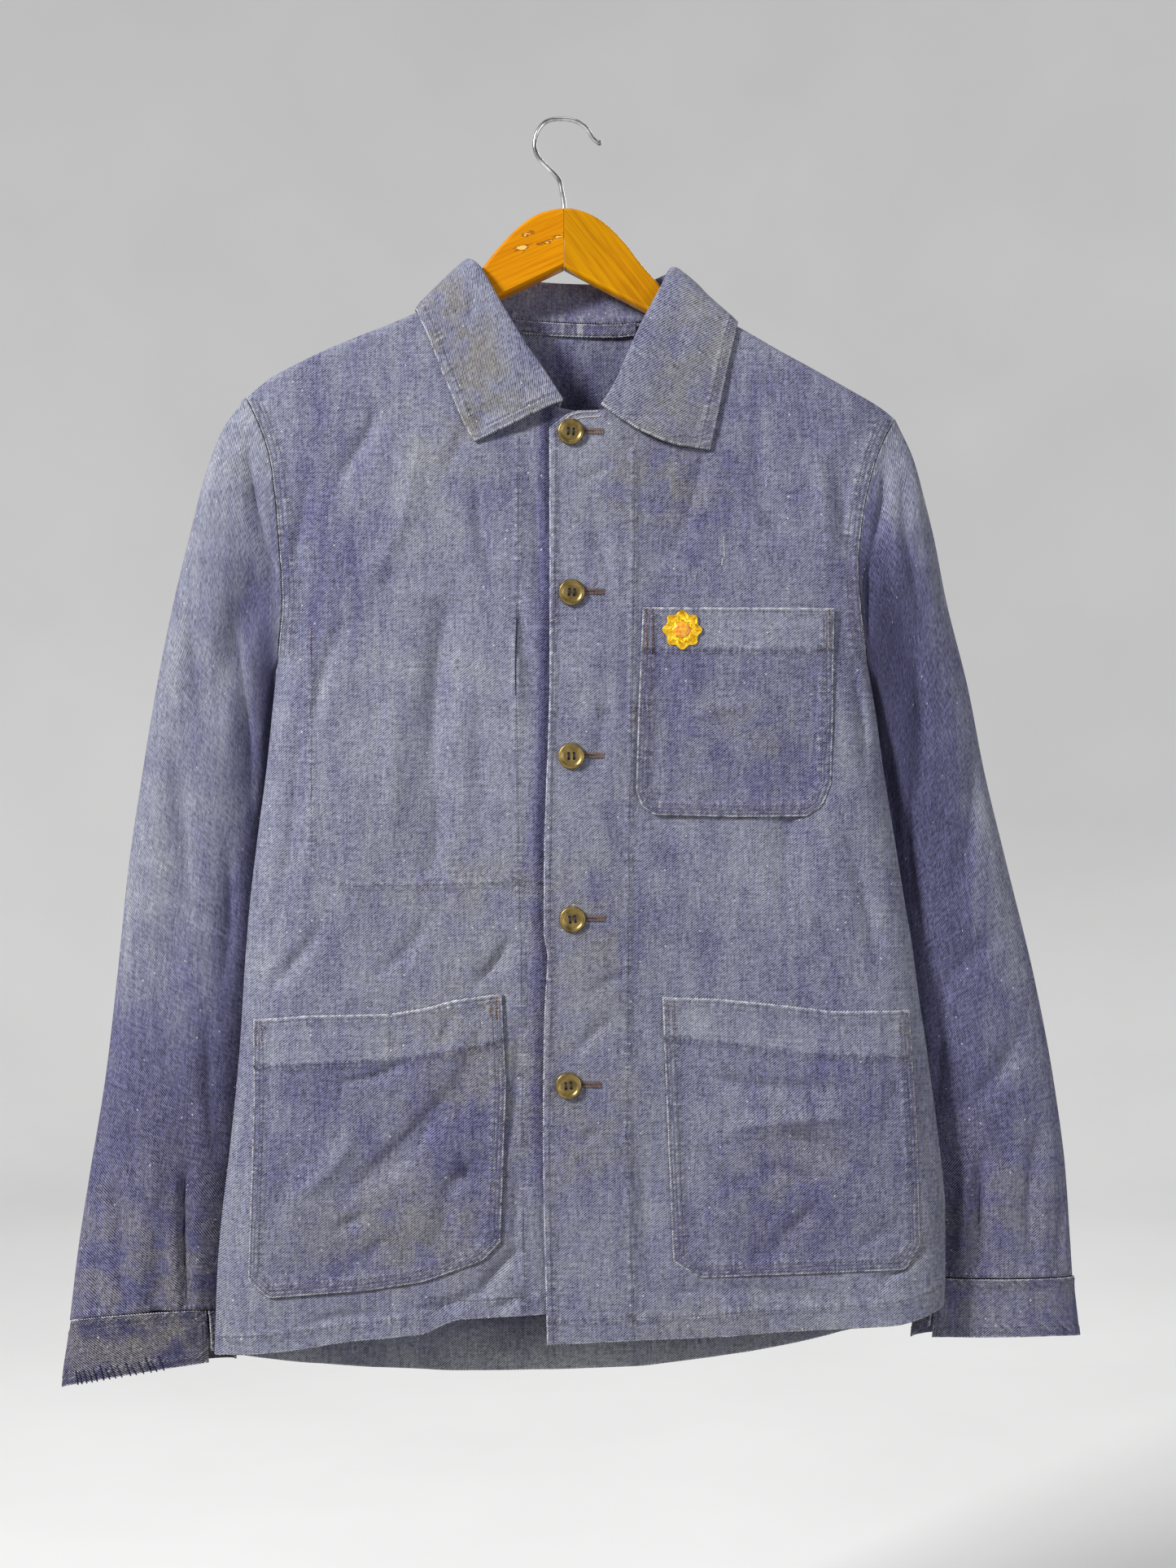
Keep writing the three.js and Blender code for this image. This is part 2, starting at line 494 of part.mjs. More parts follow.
// Unit normals of a grid of points; `wrap` closes the second index into a ring.
function gridNormals(grid, wrap, sign) {
  const rows = grid.length;
  const count = grid[0].length;
  return grid.map((row, j) => row.map((point, i) => {
    const up = grid[Math.min(rows - 1, j + 1)][i];
    const down = grid[Math.max(0, j - 1)][i];
    const next = wrap ? row[(i + 1) % count] : row[Math.min(count - 1, i + 1)];
    const last = wrap ? row[(i + count - 1) % count] : row[Math.max(0, i - 1)];
    const a = [next[0] - last[0], next[1] - last[1], next[2] - last[2]];
    const b = [up[0] - down[0], up[1] - down[1], up[2] - down[2]];
    return unit(cross(a, b)).map((value) => value * sign);
  }));
}

// Closed solid between two grids of points of the same size.
function slab(outer, inner, wrap) {
  const rows = outer.length;
  const count = outer[0].length;
  const positions = [];
  for (const grid of [outer, inner]) {
    for (const row of grid) {
      for (const point of row) {
        positions.push(point[0], point[1], point[2]);
      }
    }
  }
  const half = rows * count;
  const at = (layer, j, i) => layer * half + j * count + (i % count);
  const index = [];
  const quad = (a, b, c, d) => {
    index.push(a, b, c, a, c, d);
  };
  const across = wrap ? count : count - 1;
  for (let j = 0; j < rows - 1; j += 1) {
    for (let i = 0; i < across; i += 1) {
      quad(at(0, j, i), at(0, j, i + 1), at(0, j + 1, i + 1), at(0, j + 1, i));
      quad(at(1, j, i), at(1, j + 1, i), at(1, j + 1, i + 1), at(1, j, i + 1));
    }
  }
  for (let i = 0; i < across; i += 1) {
    quad(at(0, 0, i), at(1, 0, i), at(1, 0, i + 1), at(0, 0, i + 1));
    quad(at(0, rows - 1, i), at(0, rows - 1, i + 1), at(1, rows - 1, i + 1), at(1, rows - 1, i));
  }
  if (!wrap) {
    for (let j = 0; j < rows - 1; j += 1) {
      quad(at(0, j, 0), at(0, j + 1, 0), at(1, j + 1, 0), at(1, j, 0));
      quad(at(0, j, count - 1), at(1, j, count - 1), at(1, j + 1, count - 1), at(0, j + 1, count - 1));
    }
  }
  const geometry = new THREE.BufferGeometry();
  geometry.setAttribute('position', new THREE.Float32BufferAttribute(positions, 3));
  geometry.setIndex(index);
  return facingOut(geometry);
}

// Turns every face of a closed geometry round if its volume comes out negative.
function facingOut(geometry) {
  const position = geometry.getAttribute('position');
  const index = geometry.getIndex();
  let volume = 0;
  const corner = (k) => {
    const i = index.getX(k);
    return [position.getX(i), position.getY(i), position.getZ(i)];
  };
  for (let k = 0; k < index.count; k += 3) {
    const a = corner(k);
    const n = cross(corner(k + 1), corner(k + 2));
    volume += a[0] * n[0] + a[1] * n[1] + a[2] * n[2];
  }
  if (volume < 0) {
    for (let k = 0; k < index.count; k += 3) {
      const held = index.getX(k + 1);
      index.setX(k + 1, index.getX(k + 2));
      index.setX(k + 2, held);
    }
  }
  return geometry;
}

// Cloth wall: the grid is the outer face and the wall lies `wall` behind it.
// `fit` trims the inner points along seams so that neighbouring walls stay apart.
function wallFromGrid(grid, wall, wrap, sign, fit) {
  const normals = gridNormals(grid, wrap, sign);
  const inner = grid.map((row, j) => row.map((point, i) => {
    const n = normals[j][i];
    const behind = [point[0] - n[0] * wall, point[1] - n[1] * wall, point[2] - n[2] * wall];
    return fit ? fit(behind, point, j, i, grid) : behind;
  }));
  return slab(grid, inner, wrap);
}

// Keeps a body panel's inner edge on its own side of the side, armhole and shoulder seams.
function fitPanel(face, firstSide, lastSide) {
  return (behind, point, j, i, grid) => {
    const side = i === 0 ? firstSide : i === grid[0].length - 1 ? lastSide : 0;
    const onRidge = j === grid.length - 1 && Math.abs(point[1]) < seamGap;
    if (side === 0) {
      const held = face * Math.max(face * behind[1], seamGap / 2);
      return onRidge ? [point[0], point[1], point[2] - clothWall] : [behind[0], held, behind[2]];
    }
    const tip = tipOf(side);
    const sink = 1.2 * Math.exp((point[2] - tip.z) / 8);
    const f = clamp((tip.z - point[2]) / (tip.z - underarmZ), 0, 1);
    const middle = sideSeamY * f + face * seamGap / 2;
    const y = face < 0 ? Math.min(behind[1], middle) : Math.max(behind[1], middle);
    const dy = y - point[1];
    const inward = Math.sqrt(Math.max(0.04, clothWall * clothWall - dy * dy));
    return [point[0] - side * inward, onRidge ? point[1] : y, point[2] - sink];
  };
}

// Keeps the first rings of a sleeve outside the armhole seam.
function fitSleeve(side) {
  return (behind, point, j) => {
    if (j < 2) {
      const limit = side * (edgeX(side, behind[2]) + side * seamGap);
      behind[0] = side * Math.max(side * behind[0], limit);
    }
    return behind;
  };
}

function steps(count) {
  return Array.from({ length: count + 1 }, (_, i) => i / count);
}

// Rows of the body panels: the underarm lies on one of them, and the armhole rows above it
// are also the points of the sleeve's first ring.
const underarmRise = 0.725;
const lowRise = [0, 0.07, 0.14, 0.21, 0.28, 0.35, 0.42, 0.49, 0.56, 0.62, 0.68];
const armholeRise = [underarmRise, 0.745, 0.77, 0.815, 0.86, 0.9, 0.935, 0.965, 0.986, 0.9966, 1];
const riseList = [...lowRise, ...armholeRise.slice(0, 9), 0.9925, 0.9966, 0.999, 1];
const edgeList = [0, 0.008, 0.033, 0.078, 0.14];

function shoulderWalk(fromX, toX) {
  const points = [];
  const count = 16;
  for (let i = 0; i <= count; i += 1) {
    const x = mix(fromX, toX, i / count);
    points.push({ x, z: shoulderAt(x, 'z') });
  }
  return points;
}

function neckRows(from, to) {
  const rows = [];
  const step = from < to ? 1 : -1;
  for (let i = from; i !== to + step; i += step) {
    rows.push({ x: collarSections[i].nx, z: collarSections[i].nz });
  }
  return rows;
}

function sideWalk(side, fromZ, toZ) {
  return (t) => {
    const z = t < underarmRise
      ? mix(fromZ, underarmZ, t / underarmRise)
      : mix(underarmZ, toZ, (t - underarmRise) / (1 - underarmRise));
    return { x: edgeX(side, z), z };
  };
}

function hemWalk(table, fromX, toX) {
  const line = through(table, 'x');
  return (s) => {
    const x = mix(fromX, toX, s);
    return { x, z: line(x, 'z') };
  };
}

// Top edge made of a neckline and a shoulder seam that meet at s = joint.
function joinedTop(neck, shoulder, joint) {
  const one = walk(neck);
  const two = walk(shoulder);
  return (s) => (s < joint ? one(s / joint) : two((s - joint) / (1 - joint)));
}

// Pulls a panel's shoulder and side edges back so that joined pieces stay a seam gap apart.
function setBack(grid, face, firstEdge, lastEdge) {
  const last = grid[0].length - 1;
  for (const row of grid) {
    if (firstEdge) {
      row[0][1] += face * seamGap / 2;
    }
    if (lastEdge) {
      row[last][1] += face * seamGap / 2;
    }
  }
  const top = grid[grid.length - 1];
  for (const point of top) {
    if (Math.abs(point[1]) < seamGap) {
      point[1] = face * seamGap / 2;
    }
  }
  return grid;
}

const jointRight = 0.45;
const jointLeft = 0.47;

// Places along a panel's top edge, so that its columns end at the collar's own sections.
function neckStops(neck, from, to) {
  const stops = [0];
  for (let i = 1; i < neck.length; i += 1) {
    stops.push(stops[i - 1] + Math.hypot(neck[i].x - neck[i - 1].x, neck[i].z - neck[i - 1].z));
  }
  return stops.map((stop) => mix(from, to, stop / stops[stops.length - 1]));
}

const neckRight = [{ x: underlapX, z: -206 }, ...neckRows(0, shoulderSectionRight)];
const neckLeft = [...[...standTop].reverse(), ...neckRows(collarSections.length - 1, shoulderSectionLeft)];
const neckBack = neckRows(shoulderSectionRight, shoulderSectionLeft);
const farEdgeList = edgeList.map((k) => 1 - k).reverse();
const frontRightList = [...neckStops(neckRight, 0, jointRight), 0.54, 0.63, 0.71, 0.78, ...farEdgeList];
const frontLeftList = [...neckStops(neckLeft, 0, jointLeft), 0.56, 0.65, 0.73, 0.79, ...farEdgeList];

function frontRightGrid() {
  const tip = tipOf(-1);
  const hemLeftX = edgeX(-1, -850);
  const top = joinedTop(neckRight, shoulderWalk(-74, tip.x), jointRight);
  const flat = patch(
    hemWalk(hemFrontRight, underlapX, hemLeftX),
    top,
    (t) => ({ x: underlapX, z: mix(-813, -206, t) }),
    sideWalk(-1, -847.5, tip.z),
    frontRightList,
    riseList
  );
  const grid = flat.map((row) => row.map((p) => [p.x, frontRightY(p.x, p.z), p.z]));
  return setBack(grid, -1, false, true);
}

function frontLeftGrid() {
  const tip = tipOf(1);
  const top = joinedTop(neckLeft, shoulderWalk(82, tip.x), jointLeft);
  const edgeLine = through(placketEdge, 'z');
  const flat = patch(
    hemWalk(hemFrontLeft, -11.5, 260),
    top,
    (t) => {
      const z = mix(-834.3, -215.5, t);
      return { x: edgeLine(z, 'x'), z };
    },
    sideWalk(1, -813.5, tip.z),
    frontLeftList,
    riseList
  );
  const grid = flat.map((row) => row.map((p) => [p.x, frontLeftY(p.x, p.z), p.z]));
  return setBack(grid, -1, false, true);
}

const backNeckFrom = 0.31;
const backNeckTo = 0.68;
const backList = [
  ...edgeList, 0.2, 0.255, ...neckStops(neckBack, backNeckFrom, backNeckTo), 0.735, 0.795, ...farEdgeList
];

function backGrid() {
  const tipRight = tipOf(-1);
  const tipLeft = tipOf(1);
  const one = walk(shoulderWalk(tipRight.x, -74));
  const two = walk(neckBack);
  const three = walk(shoulderWalk(82, tipLeft.x));
  const top = (s) => {
    if (s < backNeckFrom) {
      return one(s / backNeckFrom);
    }
    if (s < backNeckTo) {
      return two((s - backNeckFrom) / (backNeckTo - backNeckFrom));
    }
    return three((s - backNeckTo) / (1 - backNeckTo));
  };
  const flat = patch(
    hemWalk(hemBack, -240, 260),
    top,
    sideWalk(-1, -847.5, tipRight.z),
    sideWalk(1, -813.5, tipLeft.z),
    backList,
    riseList
  );
  const grid = flat.map((row) => row.map((p) => [p.x, backY(p.x, p.z), p.z]));
  return setBack(grid, 1, true, true);
}

function rowAt(table, t) {
  const place = clamp(t, 0, 1) * (table.length - 1);
  const indexed = table.map((row, i) => ({ ...row, at: i }));
  const line = through(indexed, 'at');
  const row = {};
  for (const name of Object.keys(table[0])) {
    row[name] = line(place, name);
  }
  return row;
}

function ringPoint(row, angle, dent) {
  const c = Math.cos(angle);
  const s = Math.sin(angle);
  const half = row.half - dent;
  return [
    (row.ox + row.ix) / 2 + (row.ox - row.ix) / 2 * c,
    row.cy + row.back * (1 - c) / 2 - half * s,
    (row.oz + row.iz) / 2 + (row.oz - row.iz) / 2 * c + row.lift * Math.max(0, s)
  ];
}

function sleeveDent(folds, t, degrees) {
  let sum = 0;
  for (const fold of folds) {
    const k = (t - fold.from) / (fold.to - fold.from);
    if (k > 0 && k < 1.0001) {
      const fade = fold.to >= 1 ? Math.sin(Math.min(k, 0.75) * Math.PI / 1.5) : Math.sin(k * Math.PI);
      const off = (degrees - fold.at - fold.drift * k) / fold.spread;
      sum += fold.depth * fade * Math.exp(-off * off);
    }
  }
  return sum;
}

function evenTurn(place, angles) {
  return angles.indexOf(place) * 360 / angles.length;
}

// Ring 0 follows the armhole seam; the rings then turn down the arm.
function sleeveGrid(table, side, folds, tList) {
  const tip = tipOf(side);
  const half = armholeRise.map((rise) => {
    const f = (1 - rise) / (1 - underarmRise);
    return Math.acos(1 - 2 * f) * 180 / Math.PI;
  }).reverse();
  const angles = [...half, ...half.slice(1, -1).map((angle) => 360 - angle).reverse()];
  return tList.map((t) => {
    const row = rowAt(table, t);
    const start = table[0];
    const settle = 1 - smooth(t / 0.16);
    const ring = [];
    for (const place of angles) {
      const even = (place + evenTurn(place, angles)) / 2;
      const degrees = mix(place, even, smooth(t / 0.3));
      const angle = degrees * Math.PI / 180;
      const point = ringPoint(row, angle, sleeveDent(folds, t, degrees));
      if (settle > 0) {
        const first = place * Math.PI / 180;
        const base = ringPoint(start, angle, 0);
        const f = t === 0 ? (1 - Math.cos(first)) / 2 : (1 - Math.cos(angle)) / 2;
        const z = mix(tip.z, underarmZ, f);
        const face = degrees < 180 ? -1 : 1;
        const seam = [edgeX(side, z) + side * seamGap, edgeY(side, z, face), z];
        for (let axis = 0; axis < 3; axis += 1) {
          point[axis] += (seam[axis] - base[axis]) * settle;
        }
      }
      ring.push(point);
    }
    return ring;
  });
}

const sleeveList = [
  0, 0.015, 0.045, 0.09, 0.145, 0.205, 0.27, 0.34, 0.42, 0.5, 0.58, 0.66, 0.74, 0.82, 0.91, 1
];

function cuffGrid(table, slit, around) {
  return steps(3).map((t) => {
    const row = rowAt(table, t);
    const width = Math.abs(row.ox - row.ix) / 2;
    const gap = cuffSlitWidth / width * 180 / Math.PI;
    const band = [];
    for (let i = 0; i <= around; i += 1) {
      const degrees = slit + gap / 2 + (360 - gap) * i / around;
      const point = ringPoint(row, degrees * Math.PI / 180, 0);
      const tab = clamp((180 - degrees) / (180 - slit), 0, 1);
      point[2] += cuffTabRise * t * tab * (degrees < 180 ? 1 : 0);
      band.push(point);
    }
    return band;
  });
}

// Moves a point of the collar's fall clear of the shoulder's ridge, whichever way is shorter.
function clearOfRidge(point, face, depth, off) {
  const drop = shoulderAt(point[0], 'z') - point[2];
  const reach = 10.5 + off;
  const across = clamp(Math.abs(point[1]) / reach, 0, 1);
  const ridgeZ = shoulderAt(point[0], 'z') + off
    - (ridgeRadius + off) * (1 - Math.pow(1 - Math.pow(across, ridgePower), 1 / ridgePower));
  const lift = Math.abs(point[1]) < reach ? ridgeZ - point[2] : Infinity;
  const push = drop > -off ? (depth(point[0], point[2]) + face * off - point[1]) * face : 0;
  if (lift > 0 && push > 0) {
    if (lift < push) {
      point[2] += lift;
    } else {
      point[1] += face * push;
    }
  }
  return point;
}

// One collar section: up the stand, over the fold and down the fall.
function collarSection(row) {
  const side = row.fx < 0 ? -1 : 1;
  const turn = row.turn * Math.PI / 180;
  const swing = Math.abs(Math.sin(turn));
  const out = unit([side * swing * shoulderLeanX, -Math.cos(turn), swing * shoulderLeanZ]);
  const face = Math.cos(turn) > 0 ? -1 : 1;
  const clothY = (x, z) => {
    if (face > 0) {
      return backY(x, z);
    }
    return side < 0 ? frontRightY(x, z) : frontLeftY(x, z);
  };
  const neck = [row.nx, clothY(row.nx, row.nz), row.nz];
  const fold = [row.fx, row.foldY, row.fz];
  const edge = [row.ex, clothY(row.ex, row.ez), row.ez];
  const rise = unit([fold[0] - neck[0], fold[1] - neck[1], fold[2] - neck[2]]);
  const put = (from, to, k, along, off, sag) => {
    const point = [0, 1, 2].map((axis) => mix(from[axis], to[axis], k) + rise[axis] * along);
    point[2] += sag;
    return [point[0] + out[0] * off, point[1] + out[1] * off, point[2] + out[2] * off];
  };
  const fall = (k, off) => {
    const point = [0, 1, 2].map((axis) => mix(fold[axis], edge[axis], k));
    point[2] += row.sag * 4 * k * (1 - k);
    const drop = shoulderAt(point[0], 'z') - point[2];
    const under = clothY(point[0], point[2]);
    if (drop > 0 && (under - point[1]) * face > 0) {
      point[1] = under;
    }
    const lifted = [point[0] + out[0] * off, point[1] + out[1] * off, point[2] + out[2] * off];
    return clearOfRidge(lifted, face, clothY, 2.6);
  };
  return [
    put(neck, fold, 0, 0.55, -1.5, 0),
    put(neck, fold, 0.5, 0.2, -1.3, 0),
    put(neck, fold, 1, -2.4, -1.1, 0),
    put(neck, fold, 1, -0.5, 0.1, 0),
    put(neck, fold, 1, 0, 1.8, 0),
    put(neck, fold, 1, -0.8, 3.6, 0),
    fall(0.14, 4.6),
    fall(0.4, 4.4),
    fall(0.7, 3.6),
    fall(1, 2.7)
  ];
}

function collarGrid(perSpan) {
  const rows = [];
  const spans = collarSections.length - 1;
  for (let i = 0; i <= spans * perSpan; i += 1) {
    rows.push(collarSection(rowAt(collarSections, i / (spans * perSpan))));
  }
  return rows;
}

function surfacePoint(depth, x, z, off) {
  const reach = 1.5;
  const dx = (depth(x + reach, z) - depth(x - reach, z)) / (2 * reach);
  const dz = (depth(x, z + reach) - depth(x, z - reach)) / (2 * reach);
  const n = unit([dx, -1, dz]);
  return [x + n[0] * off, depth(x, z) + n[1] * off, z + n[2] * off];
}

// Height of a panel's faceted outer face, so that what lies on it follows the facets.
function facetDepth(grid) {
  const triangles = [];
  for (let j = 0; j < grid.length - 1; j += 1) {
    for (let i = 0; i < grid[0].length - 1; i += 1) {
      triangles.push([grid[j][i], grid[j][i + 1], grid[j + 1][i + 1]]);
      triangles.push([grid[j][i], grid[j + 1][i + 1], grid[j + 1][i]]);
    }
  }
  return (x, z) => {
    for (const [a, b, c] of triangles) {
      const det = (b[0] - a[0]) * (c[2] - a[2]) - (c[0] - a[0]) * (b[2] - a[2]);
      if (Math.abs(det) > 1e-9) {
        const u = ((x - a[0]) * (c[2] - a[2]) - (c[0] - a[0]) * (z - a[2])) / det;
        const v = ((b[0] - a[0]) * (z - a[2]) - (x - a[0]) * (b[2] - a[2])) / det;
        if (u >= -1e-6 && v >= -1e-6 && u + v <= 1 + 1e-6) {
          return a[1] + u * (b[1] - a[1]) + v * (c[1] - a[1]);
        }
      }
    }
    return NaN;
  };
}

// A piece that lies on a panel: `depth` gives the panel's face, `way` +1 before it, -1 behind it.
function laidOn(shape, depth, sList, tList, gap, wall, way) {
  const flat = patch(
    straight(shape.bottom),
    straight(shape.top),
    straight(shape.viewerLeft),
    straight(shape.viewerRight),
    sList,
    tList
  );
  const near = flat.map((row) => row.map((p) => surfacePoint(depth, p.x, p.z, way * gap)));
  const far = flat.map((row, j) => row.map((p) => {
    const band = tList[j] > shape.bandFrom - 0.001 ? pocketBandExtra : 0;
    return surfacePoint(depth, p.x, p.z, way * (gap + wall + band));
  }));
  return slab(far, near, false);
}

const pocketRise = (bandFrom) => [
  0, 0.1, 0.22, 0.34, 0.46, 0.58, 0.7, bandFrom - 0.012, bandFrom, (bandFrom + 1) / 2, 1
];

function bindingGrid() {
  const line = through(bindingEdges, 'x');
  const first = bindingEdges[0].x;
  const last = bindingEdges[bindingEdges.length - 1].x;
  const near = [];
  const far = [];
  for (const t of [0, 0.5, 1]) {
    const rowNear = [];
    const rowFar = [];
    for (const s of steps(14)) {
      const x = mix(first, last, s);
      const z = mix(line(x, 'low'), line(x, 'top'), t);
      const y = backY(x, z) - clothWall - seamGap * 1.5;
      rowNear.push([x, y - 1.3, z]);
      rowFar.push([x, y, z]);
    }
    near.push(rowNear);
    far.push(rowFar);
  }
  return slab(near, far, false);
}

// Hands a closed geometry to the solid library, and brings the result back.
function solidOf(geometry) {
  const bare = geometry.clone();
  bare.deleteAttribute('normal');
  bare.deleteAttribute('uv');
  const merged = mergeVertices(bare, 1e-4);
  const mesh = new wasm.Mesh({
    numProp: 3,
    vertProperties: new Float32Array(merged.getAttribute('position').array),
    triVerts: new Uint32Array(merged.getIndex().array)
  });
  return new wasm.Manifold(mesh);
}

function geometryOf(solid) {
  const mesh = solid.getMesh();
  const geometry = new THREE.BufferGeometry();
  geometry.setAttribute('position', new THREE.Float32BufferAttribute(mesh.vertProperties, 3));
  geometry.setIndex(Array.from(mesh.triVerts));
  return geometry;
}

// The wooden board, extruded through its thickness and bored for the hook's shank.
function boardSolid() {
  const outline = [];
  for (let i = 0; i <= 9; i += 1) {
    const x = mix(boardTipRight + 6, -80, i / 9);
    outline.push([x, shoulderAt(x, 'z') - boardDrop]);
  }
  for (const point of crown) {
    outline.push([point.x, point.z]);
  }
  for (let i = 0; i <= 9; i += 1) {
    const x = mix(88, boardTipLeft - 6, i / 9);
    outline.push([x, shoulderAt(x, 'z') - boardDrop]);
  }
  const lowLeft = undersidePeak.z - undersideSlopeLeft * (boardTipLeft - undersidePeak.x);
  const lowRight = undersidePeak.z + undersideSlopeRight * (boardTipRight - undersidePeak.x);
  outline.push([boardTipLeft, lowLeft + 9]);
  outline.push([boardTipLeft - 3, lowLeft + 1.5]);
  outline.push([boardTipLeft - 11, lowLeft + 5]);
  outline.push([undersidePeak.x, undersidePeak.z]);
  outline.push([boardTipRight + 11, lowRight + 4.5]);
  outline.push([boardTipRight + 3, lowRight + 1.5]);
  outline.push([boardTipRight, lowRight + 9]);
  const shape = new THREE.Shape(outline.map(([x, z]) => new THREE.Vector2(x, z)));
  const geometry = new THREE.ExtrudeGeometry(shape, {
    depth: boardThick - 2 * boardChamfer,
    bevelEnabled: true,
    bevelThickness: boardChamfer,
    bevelSize: boardChamfer * 0.62,
    bevelOffset: -boardChamfer * 0.62,
    bevelSegments: 1
  });
  geometry.rotateX(Math.PI / 2);
  geometry.translate(0, boardThick / 2 - boardChamfer, 0);
  const bore = new THREE.CylinderGeometry(wireRadius + 0.35, wireRadius + 0.35, 60, 12);
  bore.rotateX(Math.PI / 2);
  bore.translate(hookPath[0].x, 0, crown[6].z - shankDepth - 0.4 + 30);
  return solidOf(geometry).subtract(solidOf(bore));
}

function boardHalf(side) {
  const keep = new THREE.BoxGeometry(300, 60, 300);
  keep.translate(hookPath[0].x + side * (150 + mitreGap / 2), 0, -150);
  return geometryOf(boardSolid().intersect(solidOf(keep)));
}

function hookGeometry() {
  const foot = hookPath[0];
  const low = crown[6].z - shankDepth;
  const points = [new THREE.Vector3(foot.x, 0, low), new THREE.Vector3(foot.x, 0, (low + foot.z) / 2)];
  for (const p of hookPath) {
    points.push(new THREE.Vector3(p.x, 0, p.z));
  }
  const path = new THREE.CatmullRomCurve3(points, false, 'centripetal');
  const circle = new THREE.Shape();
  circle.absarc(0, 0, wireRadius, 0, Math.PI * 2, false);
  const wire = new THREE.ExtrudeGeometry(circle, { steps: 36, curveSegments: 5, extrudePath: path });
  const end = hookPath[hookPath.length - 1];
  const ball = new THREE.SphereGeometry(hookBallRadius, 10, 6);
  ball.translate(end.x, 0, end.z);
  return geometryOf(solidOf(wire).add(solidOf(ball)));
}

function buttonGeometry(place) {
  const profile = [
    [0, 0], [buttonRadius - 1.4, 0], [buttonRadius, -1.1], [buttonRadius, -2.2],
    [buttonRadius - 0.9, -buttonThick], [buttonRadius - 2, -buttonThick],
    [buttonRadius - 3.2, -buttonThick + buttonDish], [0, -buttonThick + buttonDish]
  ];
  const disc = new THREE.LatheGeometry(profile.map(([r, y]) => new THREE.Vector2(r, y)), 16);
  let solid = solidOf(facingOut(indexed(disc)));
  const half = buttonHolePitch / 2;
  for (const sx of [-1, 1]) {
    for (const sz of [-1, 1]) {
      const hole = new THREE.CylinderGeometry(buttonHoleRadius, buttonHoleRadius, 20, 5);
      hole.translate(sx * half, 0, sz * half);
      solid = solid.subtract(solidOf(hole));
    }
  }
  const geometry = geometryOf(solid);
  const cloth = leftFacet;
  let y = Infinity;
  for (let k = 0; k < 16; k += 1) {
    const angle = k * Math.PI / 8;
    for (const r of [buttonRadius * 0.45, buttonRadius - 1]) {
      y = Math.min(y, cloth(place.x + r * Math.cos(angle), place.z + r * Math.sin(angle)));
    }
  }
  geometry.translate(place.x, y - seamGap - 0.02, place.z);
  return geometry;
}

function indexed(geometry) {
  const bare = geometry.clone();
  bare.deleteAttribute('normal');
  bare.deleteAttribute('uv');
  return mergeVertices(bare, 1e-4);
}

// Gilt rosette with eight lobes, a ring and a domed centre.
function badgeGeometry() {
  const outline = [];
  for (let i = 0; i < 32; i += 1) {
    const angle = i * Math.PI / 16;
    const r = badgeRadius - badgeLobe + badgeLobe * Math.cos(8 * angle);
    outline.push(new THREE.Vector2(r * Math.cos(angle), r * Math.sin(angle)));
  }
  const plate = new THREE.ExtrudeGeometry(new THREE.Shape(outline), { depth: badgeThick, bevelEnabled: false });
  plate.rotateX(Math.PI / 2);
  const ring = new THREE.TorusGeometry(badgeRadius * 0.56, 1, 5, 16);
  ring.rotateX(Math.PI / 2);
  ring.translate(0, -badgeThick, 0);
  const dome = new THREE.SphereGeometry(badgeRadius * 0.42, 10, 6);
  dome.scale(1, 0.42, 1);
  dome.translate(0, -badgeThick + 0.2, 0);
  const cut = new THREE.BoxGeometry(40, 20, 40);
  cut.translate(0, 10, 0);
  const solid = solidOf(plate).add(solidOf(ring)).add(solidOf(dome)).subtract(solidOf(cut));
  const geometry = geometryOf(solid);
  let y = Infinity;
  for (let i = -4; i <= 4; i += 1) {
    for (let j = -4; j <= 4; j += 1) {
      const x = badgePlace.x + i * badgeRadius / 4;
      const z = badgePlace.z + j * badgeRadius / 4;
      if (Math.hypot(i, j) <= 4.2) {
        y = Math.min(y, surfacePoint(leftFacet, x, z, lieGap + pocketWall + pocketBandExtra)[1]);
      }
    }
  }
  geometry.translate(badgePlace.x, y - 0.45, badgePlace.z);
  return geometry;
}

const colours = {
  cloth: { color: 0x77779a, roughness: 0.95, metalness: 0 },
  collar: { color: 0x83819a, roughness: 0.95, metalness: 0 },
  pocket: { color: 0x717192, roughness: 0.95, metalness: 0 },
  binding: { color: 0x66657c, roughness: 0.95, metalness: 0 },
  wood: { color: 0xd6900a, roughness: 0.5, metalness: 0 },
  steel: { color: 0xb9b7b2, roughness: 0.25, metalness: 1 },
  button: { color: 0x6b603f, roughness: 0.4, metalness: 0.5 },
  gilt: { color: 0xc9a227, roughness: 0.3, metalness: 1 }
};

const group = new THREE.Group();

function add(name, geometry, look) {
  const mesh = new THREE.Mesh(geometry, new THREE.MeshStandardMaterial(colours[look]));
  mesh.name = name;
  group.add(mesh);
  return mesh;
}

const rightGrid = frontRightGrid();
const leftGrid = frontLeftGrid();
const rightFacet = facetDepth(rightGrid);
const leftFacet = facetDepth(leftGrid);

